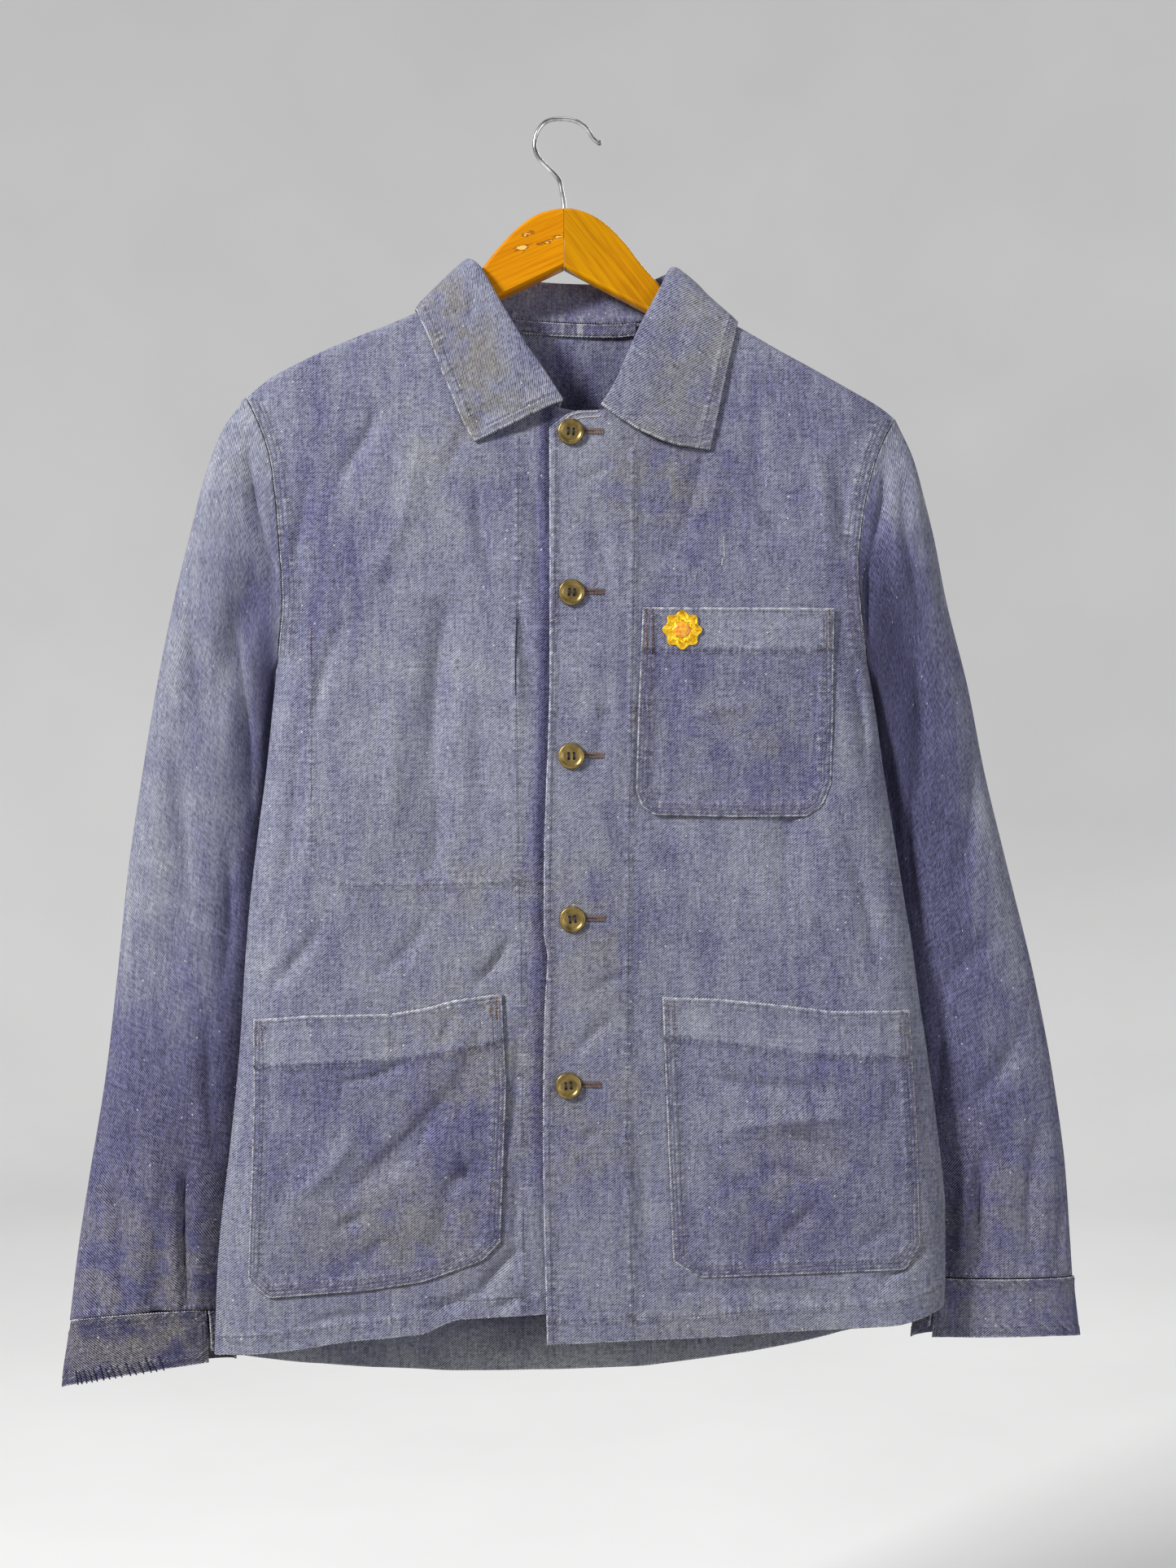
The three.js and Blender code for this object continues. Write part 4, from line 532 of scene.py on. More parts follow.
def bodyDepth(x, z, face, lap=False):
    # depth of a body panel's outer face; face -1 is the front and 1 the back
    side = np.where(x < 5, -1.0, 1.0)
    drop = np.maximum(0, shoulderAt(x) - z)
    ridge = roundOver(drop, cut["ridgeRadius"], cut["ridgePower"])
    base = face * ridge * standOffAt(drop, 1 if face < 0 else 2)
    base = base - face * smooth(drop / 60) * pressedFolds(foldsFront if face < 0 else foldsBack, x, z)
    low = smooth((cut["underarmZ"] + 25 - z) / 60)
    reach = mix(32, 42, low) if face < 0 else mix(36, 70, low)
    power = mix(1.35, 2, low) if face < 0 else mix(1.35, 1.3, low)
    inside = (edgeX(side, z) - x) * side
    y = mix(seamDepth(side, z, face), base, roundOver(inside, reach, power))
    if lap:
        y = y - cut["lapForward"] * (1 - smooth((x - cut["lapFull"]) / cut["lapFade"]))
    return y


def rumple(x, z, seed, tall=1.0):
    # the slight unevenness of worn cloth, in mm
    wide = softNoise(x, z / tall, 74, seed) * 1.3 + softNoise(x, z / tall, 31, seed + 1) * 0.62
    return wide + softNoise(x + z * 0.25, z, 13, seed + 2) * 0.13


# Creases listed: x1, z1, x2, z2, bow, depth (a ridge if below 0), near and far flank
frontRightCreases = [
    (-79, -330, -89, -455, -3, 1.9, 8, 13), (-89, -455, -91, -523, 4, 1.3, 9, 9),
    (-126, -198, -154, -250, 2, 1.5, 9, 8), (-101, -230, -138, -330, 8, -1.0, 12, 16),
    (-60, -250, -44, -330, -4, 1.1, 9, 8), (-42, -300, -26, -372, 3, 1.3, 6, 10),
    (-36, -345, -30, -420, 2, -1.1, 7, 9), (-20, -250, -16, -345, 0, 1.4, 7, 10),
    (-150, -345, -172, -430, -4, 1.2, 10, 8), (-120, -395, -118, -500, 3, -0.9, 14, 11),
    (-56, -395, -52, -505, -4, 0.9, 10, 12), (-182, -400, -196, -560, 5, 1.3, 12, 9),
    (-160, -545, -205, -602, 3, 1.2, 9, 7), (-35, -560, -62, -596, 2, 1.6, 8, 6),
    (-90, -545, -130, -590, 4, 0.9, 9, 9), (-30, -612, -37, -700, 2, 1.2, 7, 6),
    (-26, -700, -33, -790, -2, 1.0, 6, 7), (-60, -806, -28, -770, 2, 1.7, 7, 6),
    (-95, -812, -60, -800, -3, 1.5, 6, 7), (-216, -640, -224, -800, 2, 1.1, 7, 6),
    (-176, -822, -120, -815, 2, 0.8, 5, 6), (-48, -815, -20, -800, 2, 1.0, 6, 5),
    (-175, -240, -190, -320, 3, 1.2, 8, 9), (-60, -190, -84, -250, 3, 0.8, 9, 9),
]
frontLeftCreases = [
    (150, -535, 172, -330, 5, 1.3, 13, 11), (95, -222, 72, -305, 4, 1.0, 9, 12),
    (128, -205, 150, -300, -5, 0.9, 12, 10), (186, -235, 196, -330, 2, 1.5, 8, 7),
    (170, -225, 180, -310, 2, -1.0, 9, 9), (22, -268, 34, -330, -2, 0.8, 8, 9),
    (60, -500, 96, -545, 3, 1.1, 11, 9), (24, -470, 52, -520, 3, 0.9, 9, 8),
    (120, -498, 176, -560, -5, -0.9, 14, 12), (188, -480, 214, -590, 3, 1.4, 9, 10),
    (30, -590, 58, -640, 3, 0.9, 8, 8), (14, -600, 50, -585, 2, 0.8, 6, 6),
    (8, -640, 34, -615, 2, 1.1, 6, 5), (4, -700, 28, -688, -1, 0.7, 6, 5),
    (48, -700, 58, -790, 2, 0.9, 8, 7), (64, -800, 190, -806, 4, 0.8, 6, 7),
    (210, -800, 248, -770, 3, 1.3, 7, 6), (236, -640, 250, -745, 2, 1.2, 7, 5),
    (10, -760, 60, -812, 4, 0.8, 9, 8), (196, -372, 206, -450, 2, 1.5, 7, 8),
    (30, -380, 20, -455, 2, 0.7, 9, 9), (8, -255, 34, -240, 1, 0.7, 5, 6),
]
backCreases = [
    (-70, -175, -120, -300, -10, 1.9, 15, 12), (88, -180, 130, -330, 12, 1.7, 13, 16),
    (-30, -200, -44, -360, 4, 1.1, 16, 14), (40, -210, 52, -400, -5, 1.2, 14, 18),
    (-170, -260, -140, -430, 8, 1.8, 13, 11), (180, -275, 146, -450, -8, 1.6, 12, 14),
    (-120, -470, -60, -620, 8, 1.7, 17, 13), (96, -480, 40, -640, -9, 1.5, 14, 18),
    (-180, -520, -150, -700, 5, 1.5, 14, 12), (190, -540, 168, -730, -6, 1.6, 12, 15),
    (-20, -600, -34, -790, 3, 1.6, 18, 14), (60, -660, 84, -835, 4, 1.3, 15, 12),
    (-110, -700, -130, -845, 3, 1.2, 12, 13), (140, -760, 120, -840, 2, -1.2, 13, 12),
    (-60, -420, 20, -455, 5, 0.9, 12, 9), (-205, -620, -190, -780, 3, 1.2, 10, 9),
    (0, -180, 12, -260, 3, -0.8, 16, 15), (-80, -845, -20, -828, 3, 0.9, 8, 7),
]

# Rows of stitching as lines of x and z; facing lines, hems, the inner pocket's outline
stitchLines = {
    "rightFacing": [(-31, -222), (-31.7, -335), (-32.8, -379), (-30.6, -525), (-28.4, -588), (-28.2, -700),
                    (-26.8, -801), (-26.4, -812)],
    "leftPlacket": [(-5.2, -219), (-5.8, -300), (-7.4, -379), (-9.4, -521), (-9.6, -560), (-7.6, -600),
                    (-9.2, -640), (-9.8, -700), (-7.2, -832)],
    "leftFacing": [(47.4, -231), (47.2, -300), (46.2, -379), (43.7, -521), (42.8, -600), (42.6, -712),
                   (45.2, -772), (46.8, -829)],
    "innerPocket": [(-172.1, -353), (-171.4, -440), (-171, -509), (-167.5, -518), (-158, -523.4),
                    (-144, -526.6), (-94, -526), (-42, -524.4), (-14, -523)],
}
bands = {  # stitched lower edges of the pocket bands
    "lowerPocketRight": [(-210.5, -649.5), (-157, -646.5), (-119.5, -644.8), (-90, -640.4), (-41.5, -632.3)],
    "lowerPocketLeft": [(67.6, -629.3), (100, -631.6), (132.5, -636), (175.4, -640.8), (236, -643.4)],
    "chestPocket": [(53, -367.4), (183, -367.4)],
}


def panelLines(name):
    # stitch rows of a body panel; each is a list of x, z points
    def hemRow(line, x1, x2, rise):
        xs = np.linspace(x1, x2, 60)
        return np.stack([xs, line(xs) + rise], 1)

    def armholeRows(side, insets, top=0.0):
        zs = np.linspace(tips[side][1] - top - 2, cut["underarmZ"] + 4, 48)
        return [np.stack([edgeX(side, zs) - side * (inset + 2.5 * np.exp(-(tips[side][1] - zs) / 9)), zs], 1)
                for inset in insets]

    if name == "frontRight":
        return [hemRow(hemRightAt, -236, 20, 12)] + armholeRows(-1, (1.6, 8.2)) + [
            np.array(stitchLines["rightFacing"]), np.array(stitchLines["innerPocket"])]
    if name == "frontLeft":
        return [hemRow(hemLeftAt, -8, 256, 15.5)] + armholeRows(1, (1.6, 8.2)) + [
            np.array(stitchLines["leftPlacket"]), np.array(stitchLines["leftFacing"])]
    return [hemRow(hemBackAt, -236, 256, 12)] + armholeRows(-1, (1.6, 8.2)) + armholeRows(1, (1.6, 8.2))


def pocketPlaces(shape, across, up):
    edges = [softened(shape[key]) for key in ("bottom", "top", "viewerLeft", "viewerRight")]
    return patch(*edges, across, up)


def outlineOf(shape, inset=0.0, openTop=False):
    # the pocket's edge as a line, moved in by inset
    k = np.linspace(0, 1, 60)
    parts = [np.stack(softened(shape["viewerLeft"])(k[::-1]), 1), np.stack(softened(shape["bottom"])(k), 1),
             np.stack(softened(shape["viewerRight"])(k), 1)]
    if not openTop:
        parts.append(np.stack(softened(shape["top"])(k[::-1]), 1))
    line = np.concatenate(parts)
    keep = np.concatenate([[True], np.hypot(*np.diff(line, axis=0).T) > 0.05])
    line = line[keep]
    if inset:
        ahead = np.roll(line, -2, 0) - np.roll(line, 2, 0)
        if openTop:
            ahead[:2] = line[2] - line[0]
            ahead[-2:] = line[-1] - line[-3]
        ahead /= np.linalg.norm(ahead, axis=1, keepdims=True)
        line = line + np.stack([-ahead[:, 1], ahead[:, 0]], 1) * inset
        start = 3
        line = line[start:-start]
    return line


def insideOf(shape, x, z):
    # true for points inside the pocket's outline
    line = outlineOf(shape)
    result = np.zeros(x.shape, bool)
    for a, b in zip(line, np.roll(line, -1, 0)):
        if abs(b[1] - a[1]) > 1e-9:
            cross = (a[1] > z) != (b[1] > z)
            result ^= cross & (x < (b[0] - a[0]) * (z - a[1]) / (b[1] - a[1]) + a[0])
    return result


def underPocket(shape, x, z, reach=7.0):
    # 1 well inside the pocket's outline and 0 outside it
    near = (x > -225) & (z < -330)
    result = np.zeros(x.shape)
    gap, _ = lineDistance(x[near], z[near], [outlineOf(shape)])
    result[near] = np.where(insideOf(shape, x[near], z[near]), smooth(gap / reach), 0)
    return result


def panelDepth(x, z, name):
    # a body panel's outer face with its creases, hem fold and stitched ridges
    face = 1 if name == "back" else -1
    base = bodyDepth(x, z, face, name == "frontLeft")
    side = np.where(x < 5, -1.0, 1.0)
    inside = (edgeX(side, z) - x) * side
    drop = np.maximum(0, shoulderAt(x) - z)
    calm = smooth(inside / 16) * smooth((drop - 3) / 26)
    creases = {"frontRight": frontRightCreases, "frontLeft": frontLeftCreases, "back": backCreases}[name]
    sink = creaseSum(creases, x, z) + rumple(x, z, {"frontRight": 3, "frontLeft": 11, "back": 23}[name], 1.7)
    rise = z - hemLines[name](x)
    fold = {"frontRight": 12, "frontLeft": 15.5, "back": 12}[name]
    wave = softNoise(x, z * 0.2, 19, 41) * 0.9 * np.exp(-np.maximum(rise, 0) / 34)
    welt = cut["hemWelt"] * smooth((fold + 1.4 - rise) / 2.2)
    if name == "frontLeft":
        welt = welt + 0.45 * smooth((5.2 - (x - placketAt(z))) / 2)
        calm = calm * mix(0.45, 1, smooth((x + 14) / 20))
    if name != "back":
        welt = welt + 0.35 * smooth((9.4 - inside) / 1.8) * smooth((z - cut["underarmZ"]) / 30)
    tucked = 0
    if name == "frontRight":
        tucked = underPocket(lowerPocketRight, x, z)
    if name == "frontLeft":
        tucked = np.maximum(underPocket(lowerPocketLeft, x, z), underPocket(chestPocket, x, z))
    return base - face * (sink * calm * (1 - tucked) + 1.1 * tucked) + face * (wave * calm + welt)


def onPanel(line, name, off=0.18):
    # a line of x, z points lifted onto a panel, in mm
    line = densified(line, 1.6)
    x, z = line[:, 0], line[:, 1]
    return lifted(lambda a, b: panelDepth(a, b, name), x, z, off * (-1 if name != "back" else 1))


def lifted(depth, x, z, off):
    y, reach = depth(x, z), 0.8
    dx = (depth(x + reach, z) - depth(x - reach, z)) / (2 * reach)
    dz = (depth(x, z + reach) - depth(x, z - reach)) / (2 * reach)
    n = np.stack([-dx, np.ones_like(dx), -dz], 1)
    n /= np.linalg.norm(n, axis=1, keepdims=True)
    return np.stack([x, y, z], 1) + n * off


def srgb(r, g, b):
    linear = [((c / 255 + 0.055) / 1.055) ** 2.4 if c > 10 else c / 3294.6 for c in (r, g, b)]
    return (*linear, 1.0)


def newMaterial(name):
    material = bpy.data.materials.new(name)
    material.use_nodes = True
    tree = material.node_tree
    return material, tree, tree.nodes["Principled BSDF"]


def node(tree, kind, inputs=(), **settings):
    made = tree.nodes.new(kind)
    for key, value in settings.items():
        setattr(made, key, value)
    for key, value in dict(inputs).items():
        if isinstance(value, bpy.types.NodeSocket):
            tree.links.new(value, made.inputs[key])
        else:
            made.inputs[key].default_value = value
    return made


def calc(tree, operation, *values):
    made = tree.nodes.new("ShaderNodeMath")
    made.operation = operation
    for i, value in enumerate(values):
        if isinstance(value, bpy.types.NodeSocket):
            tree.links.new(value, made.inputs[i])
        else:
            made.inputs[i].default_value = value
    return made.outputs[0]


def ramp(tree, value, stops):
    made = node(tree, "ShaderNodeValToRGB", {0: value})
    elements = made.color_ramp.elements
    while len(elements) < len(stops):
        elements.new(0.5)
    for element, (place, colour) in zip(elements, stops):
        element.position = place
        element.color = colour
    return made.outputs[0]


def fade(tree, value, low, high):
    # 0 at low, 1 at high, smooth between
    made = node(tree, "ShaderNodeMapRange", {0: value, 1: low, 2: high}, interpolation_type="SMOOTHSTEP")
    return made.outputs[0]


def blend(tree, factor, one, two, how="MIX"):
    made = node(tree, "ShaderNodeMix", data_type="RGBA", blend_type=how)
    for key, value in ((0, factor), (6, one), (7, two)):
        if isinstance(value, bpy.types.NodeSocket):
            tree.links.new(value, made.inputs[key])
        else:
            made.inputs[key].default_value = value
    return made.outputs[2]


def noise(tree, vector, scale, detail=2.0, roughness=0.5):
    return node(tree, "ShaderNodeTexNoise", {"Vector": vector, "Scale": scale, "Detail": detail,
                                             "Roughness": roughness}).outputs[0]


def stretched(tree, vector, scale, detail, roughness=0.5):
    # noise drawn out by its own scale along each axis
    turned = node(tree, "ShaderNodeMapping", {0: vector, "Scale": scale}).outputs[0]
    return noise(tree, turned, 1.0, detail, roughness)


def mark(tree, name):
    return node(tree, "ShaderNodeAttribute", attribute_name=name).outputs["Fac"]


twill = {  # faded indigo cotton: colours as seen on the garment, sizes per metre
    "dark": (64, 63, 90), "violet": (93, 92, 122), "faded": (127, 129, 144), "pale": (160, 162, 166),
    "grime": (118, 114, 108), "thread": (198, 198, 200), "waleScale": 250.0, "sheen": 0.1,
}


def twillMaterial(name):
    material, tree, shader = newMaterial(name)
    cloth = node(tree, "ShaderNodeUVMap", uv_map="cloth").outputs[0]
    place = node(tree, "ShaderNodeTexCoord").outputs["Object"]
    turned = node(tree, "ShaderNodeMapping", {0: cloth, "Rotation": (0, 0, math.radians(52))}).outputs[0]
    wale = node(tree, "ShaderNodeTexWave", {"Vector": turned, "Scale": twill["waleScale"], "Distortion": 1.6,
                                            "Detail": 1.0, "Detail Scale": 2.5}, bands_direction="X").outputs[1]
    warp = stretched(tree, cloth, (950, 70, 1), 2.0)
    weft = stretched(tree, cloth, (60, 900, 1), 2.0)
    wash = noise(tree, place, 7.0, 2.0, 0.55)
    mottle = noise(tree, place, 44.0, 3.0, 0.62)
    speck = noise(tree, cloth, 380.0, 1.0, 0.7)
    streak = stretched(tree, place, (150, 150, 11), 2.0)

    seam, along, edge = mark(tree, "seamDist"), mark(tree, "seamAlong"), mark(tree, "edgeDist")
    tone, grime, inside = mark(tree, "tone"), mark(tree, "grime"), mark(tree, "inside")
    total = calc(tree, "MULTIPLY_ADD", calc(tree, "SUBTRACT", wash, 0.5), 0.4, tone)
    total = calc(tree, "MULTIPLY_ADD", calc(tree, "SUBTRACT", mottle, 0.5), 0.4, total)
    total = calc(tree, "MULTIPLY_ADD", calc(tree, "SUBTRACT", streak, 0.5), 0.36, total)
    total = calc(tree, "MULTIPLY_ADD", inside, 0.02, total)
    colour = ramp(tree, total, [(0.0, srgb(*twill["dark"])), (0.4, srgb(*twill["violet"])),
                                (0.68, srgb(*twill["faded"])), (1.0, srgb(*twill["pale"]))])
    stained = calc(tree, "MULTIPLY", grime, fade(tree, mottle, 0.36, 0.62))
    colour = blend(tree, stained, colour, srgb(*twill["grime"]))

    # seams: pale crests beside the thread, worn and with a painted highlight, puckered along the row; painted
    # shade in the pucker valleys and in the stitch groove
    pucker = noise(tree, node(tree, "ShaderNodeCombineXYZ", {0: calc(tree, "MULTIPLY", along, 0.3),
                                                             1: calc(tree, "MULTIPLY", seam, 0.09)}).outputs[0],
                   1.0, 1.5)
    nearRow = calc(tree, "SUBTRACT", 1.0, fade(tree, seam, 0.8, 4.6))
    crest = calc(tree, "MULTIPLY", nearRow, fade(tree, pucker, 0.5, 0.66))
    valley = calc(tree, "MULTIPLY", nearRow, fade(tree, pucker, 0.5, 0.36))
    groove = calc(tree, "SUBTRACT", 1.0, fade(tree, seam, 0.25, 1.1))
    colour = blend(tree, calc(tree, "MULTIPLY", crest, 0.42), colour, srgb(*twill["pale"]))
    # painted shade in the pucker valleys and, below, in the groove along the thread
    colour = blend(tree, calc(tree, "MULTIPLY", valley, 0.38), colour, srgb(*twill["dark"]))
    colour = blend(tree, calc(tree, "MULTIPLY", groove, 0.34), colour, srgb(70, 66, 78))
    rubbed = calc(tree, "MULTIPLY", calc(tree, "SUBTRACT", 1.0, fade(tree, edge, 0.3, 1.3)),
                  fade(tree, noise(tree, place, 260.0, 1.0, 0.6), 0.3, 0.6))
    rubbed = calc(tree, "MULTIPLY", rubbed, calc(tree, "SUBTRACT", 1.0, calc(tree, "MULTIPLY", inside, 0.5)))
    colour = blend(tree, calc(tree, "MULTIPLY", rubbed, 0.62), colour, srgb(*twill["thread"]))

    # yarns: twill wales, thick and thin threads, pale flecks of bare cotton
    yarn = calc(tree, "MULTIPLY", calc(tree, "SUBTRACT", wale, 0.5), 1.0)
    yarn = calc(tree, "MULTIPLY_ADD", calc(tree, "SUBTRACT", warp, 0.5), 0.85, yarn)
    yarn = calc(tree, "MULTIPLY_ADD", calc(tree, "SUBTRACT", weft, 0.5), 0.6, yarn)
    yarn = calc(tree, "MULTIPLY_ADD", calc(tree, "SUBTRACT", speck, 0.5), 1.05, yarn)
    strength = calc(tree, "MAXIMUM", calc(tree, "MULTIPLY_ADD", total, -1.8, 2.4), 1.2)
    yarn = calc(tree, "MULTIPLY_ADD", yarn, strength, 1.0)
    grey = node(tree, "ShaderNodeCombineColor", {0: yarn, 1: yarn, 2: yarn}).outputs[0]
    colour = blend(tree, 1.0, colour, grey, "MULTIPLY")
    fleckCells = node(tree, "ShaderNodeTexVoronoi", {"Vector": cloth, "Scale": 130.0})
    fleck = calc(tree, "MULTIPLY", calc(tree, "LESS_THAN", fleckCells.outputs["Distance"], 0.085),
                 calc(tree, "GREATER_THAN", node(tree, "ShaderNodeSeparateColor",
                                                 {0: fleckCells.outputs["Color"]}).outputs[0], 0.62))
    colour = blend(tree, calc(tree, "MULTIPLY", fleck, 0.7), colour, srgb(*twill["thread"]))
    tree.links.new(colour, shader.inputs["Base Color"])

    height = calc(tree, "MULTIPLY", wale, 0.16)
    height = calc(tree, "MULTIPLY_ADD", warp, 0.1, height)
    height = calc(tree, "MULTIPLY_ADD", weft, 0.08, height)
    height = calc(tree, "MULTIPLY_ADD", speck, 0.16, height)
    height = calc(tree, "MULTIPLY_ADD", calc(tree, "MULTIPLY", pucker, nearRow), 1.5, height)
    height = calc(tree, "MULTIPLY_ADD", groove, -0.3, height)
    bump = node(tree, "ShaderNodeBump", {"Height": height, "Distance": 0.001, "Strength": 0.8})
    tree.links.new(bump.outputs[0], shader.inputs["Normal"])
    shader.inputs["Roughness"].default_value = 0.93
    shader.inputs["Specular IOR Level"].default_value = 0.15
    shader.inputs["Sheen Weight"].default_value = twill["sheen"]
    shader.inputs["Sheen Roughness"].default_value = 0.6
    shader.inputs["Sheen Tint"].default_value = srgb(206, 206, 220)
    return material


def threadMaterial(name, colour, worn):
    material, tree, shader = newMaterial(name)
    place = node(tree, "ShaderNodeTexCoord").outputs["Object"]
    shade = ramp(tree, noise(tree, place, 90.0, 3.0), [(0.35, srgb(*colour)), (0.65, srgb(*worn))])
    twist = node(tree, "ShaderNodeTexWave", {"Vector": place, "Scale": 900.0},
                 bands_direction="DIAGONAL").outputs[1]
    tree.links.new(blend(tree, calc(tree, "MULTIPLY", twist, 0.35), shade, srgb(40, 38, 48)),
                   shader.inputs["Base Color"])
    tree.links.new(node(tree, "ShaderNodeBump", {"Height": twist, "Distance": 0.0001}).outputs[0],
                   shader.inputs["Normal"])
    shader.inputs["Roughness"].default_value = 0.7
    shader.inputs["Specular IOR Level"].default_value = 0.25
    return material


clothMaterial = twillMaterial("fadedTwill")
seamThread = threadMaterial("seamThread", (104, 98, 112), (142, 138, 150))
paleThread = threadMaterial("paleThread", (150, 146, 150), (196, 192, 190))
rustThread = threadMaterial("rustThread", (88, 58, 42), (150, 98, 52))
brownThread = threadMaterial("brownThread", (112, 94, 90), (152, 132, 124))
navyThread = threadMaterial("navyThread", (30, 30, 52), (58, 56, 86))
print("cloth and thread materials made")


def neckLine(first, last):
    step = 1 if last > first else -1
    return [(collarSections[i][0], collarSections[i][1]) for i in range(first, last + step, step)]


def shoulderWalk(fromX, toX):
    xs = np.linspace(fromX, toX, 40)
    return walk(np.stack([xs, shoulderAt(xs)], 1))


def joined(parts):
    # one line made of (end place, walker) parts
    def at(k):
        k = np.asarray(k, float)
        x, z, begin = np.zeros_like(k), np.zeros_like(k), 0.0
        for end, line in parts:
            px, pz = line((k - begin) / (end - begin))
            here = (k >= begin) if begin else np.ones_like(k, bool)
            x, z, begin = np.where(here, px, x), np.where(here, pz, z), end
        return x, z

    return at


def sideWalk(side, hemZ):
    def at(t):
        t = np.asarray(t, float)
        z = np.where(t < 0.725, mix(hemZ, cut["underarmZ"], t / 0.725),
                     mix(cut["underarmZ"], tips[side][1], (t - 0.725) / 0.275))
        return edgeX(side, z), z

    return at


def hemWalk(line, fromX, toX):
    return lambda s: (mix(fromX, toX, np.asarray(s, float)), line(mix(fromX, toX, np.asarray(s, float))))


frontRight = {"across": 112, "up": 262, "joint": 0.45}
frontLeft = {"across": 118, "up": 262, "joint": 0.47}
backPanel = {"across": 122, "up": 206, "neckFrom": 0.31, "neckTo": 0.68}
tones = {"front": 0.6, "back": 0.6, "pocket": 0.5, "sleeve": 0.52, "collar": 0.6, "cuff": 0.5, "inside": 0.3}
# tone shifts: mostly fading of the cloth, a few are painted light and shade
fadeAndPaintedLightPatches = {  # x, z, radius across, radius up, tone shift
    "front": [
        (-150, -205, 70, 45, 0.0), (155, -200, 75, 45, -0.08), (-75, -400, 70, 110, 0.05),
        (10, -330, 30, 200, 0.04), (110, -262, 60, 30, -0.08), (-186, -440, 26, 130, -0.04),
        (215, -500, 26, 170, 0.04), (-150, -300, 36, 60, -0.1), (60, -560, 60, 60, -0.02),
        (-110, -580, 70, 40, 0.04), (30, -740, 60, 80, -0.02), (150, -820, 110, 18, 0.02),
        # (-20, -600) is painted shade beside the placket's edge
        (-150, -830, 90, 14, 0.05), (-20, -600, 18, 90, -0.1), (190, -340, 26, 70, -0.12),
        (-40, -250, 26, 40, -0.14), (120, -520, 60, 28, 0.06),
    ],
    "back": [
        # (40, -868) is painted light on the inside of the back hem
        (0, -190, 60, 70, -0.24), (40, -868, 230, 26, 0.3), (-140, -205, 80, 50, 0.12),
        (150, -205, 80, 50, 0.16), (0, -330, 110, 120, 0.08),
        (-180, -480, 40, 160, -0.16), (190, -500, 40, 170, -0.16), (20, -760, 140, 90, 0.04),
        (-60, -600, 90, 60, -0.08),
    ],
}
grimePatches = [
    (60, -250, 40, 30, 0.7), (-60, -640, 60, 60, 0.5), (-110, -760, 70, 40, 0.55), (100, -830, 80, 30, 0.4),
    (150, -720, 50, 50, 0.3), (20, -690, 36, 60, 0.35), (-80, -230, 40, 40, 0.3), (110, -430, 60, 40, 0.3),
    (-60, -520, 60, 30, 0.35), (20, -560, 30, 50, 0.4), (-290, -800, 60, 60, 0.45), (290, -760, 60, 60, 0.3),
]


def patchSum(patches, x, z):
    return sum(shift * np.exp(-((x - px) / rx) ** 2 - ((z - pz) / rz) ** 2)
               for px, pz, rx, rz, shift in patches)


def panelShell(name, across, up, bottom, top, first, last):
    x, z = patch(bottom, top, first, last, across, up)
    face = 1 if name == "back" else -1
    y = panelDepth(x, z, name)
    side = np.where(x < 5, -1.0, 1.0)
    inside = (edgeX(side, z) - x) * side
    y = np.where(inside < 0.05, y + face * 0.16, y)
    y[-1] = np.where(shoulderAt(x[-1]) - z[-1] < 0.8, face * 0.16, y[-1])  # drawn in to the ridge
    edge = z - hemLines[name](x)
    if name == "frontLeft":
        edge = np.minimum(edge, x - placketAt(z))
    if name != "back":
        edge = np.minimum(edge, np.where(z > cut["underarmZ"], inside, inside + 1.0))
    seam, along = lineDistance(x, z, panelLines(name))
    kind = "back" if name == "back" else "front"
    tone = tones[kind] + patchSum(fadeAndPaintedLightPatches[kind], x, z)
    if name == "frontRight":
        # painted shadow of the lapped placket on the right front along its edge, fading out towards the hem
        tone = tone - 0.55 * np.exp(-((placketAt(z) - 1.5 - x) / 5) ** 2) * smooth((z + 800) / 240)
    return clothShell(name, np.stack([x, y, z], -1), cut["clothWall"], (0, face, 0), (x, z), {
        "seamDist": seam, "seamAlong": along, "edgeDist": edge,
        "tone": tone, "grime": patchSum(grimePatches, x, z),
    }, clothMaterial)


neckRight = [(cut["underlapX"], -206)] + neckLine(0, 7)
neckLeft = standTop[::-1] + neckLine(24, 17)
bodyRight = panelShell(
    "frontRight", spaced(frontRight["across"], 1, 4, 0.03), spaced(frontRight["up"], 2.2, 16, 0.014),
    hemWalk(hemRightAt, cut["underlapX"], -240),
    joined([(frontRight["joint"], walk(neckRight)), (1.0, shoulderWalk(-74, -219.5))]),
    lambda t: (np.full_like(np.asarray(t, float), cut["underlapX"]), mix(-813, -206, np.asarray(t, float))),
    sideWalk(-1, -847.5))
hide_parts("front_right")
bodyLeft = panelShell(
    "frontLeft", spaced(frontLeft["across"], 6, 4, 0.03), spaced(frontLeft["up"], 2.2, 16, 0.014),
    hemWalk(hemLeftAt, -11.5, 260),
    joined([(frontLeft["joint"], walk(neckLeft)), (1.0, shoulderWalk(82, 227.5))]),
    lambda t: (placketAt(mix(-834.3, -215.5, np.asarray(t, float))),
               mix(-834.3, -215.5, np.asarray(t, float))),
    sideWalk(1, -813.5))
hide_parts("front_left")
bodyBack = panelShell(
    "back", spaced(backPanel["across"], 4, 4, 0.03), spaced(backPanel["up"], 2, 18, 0.014),
    hemWalk(hemBackAt, -240, 260),
    joined([(backPanel["neckFrom"], shoulderWalk(-219.5, -74)), (backPanel["neckTo"], walk(neckLine(7, 17))),
            (1.0, shoulderWalk(82, 227.5))]),
    sideWalk(-1, -847.5), sideWalk(1, -813.5))
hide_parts("back_panel")
print("body panels made")

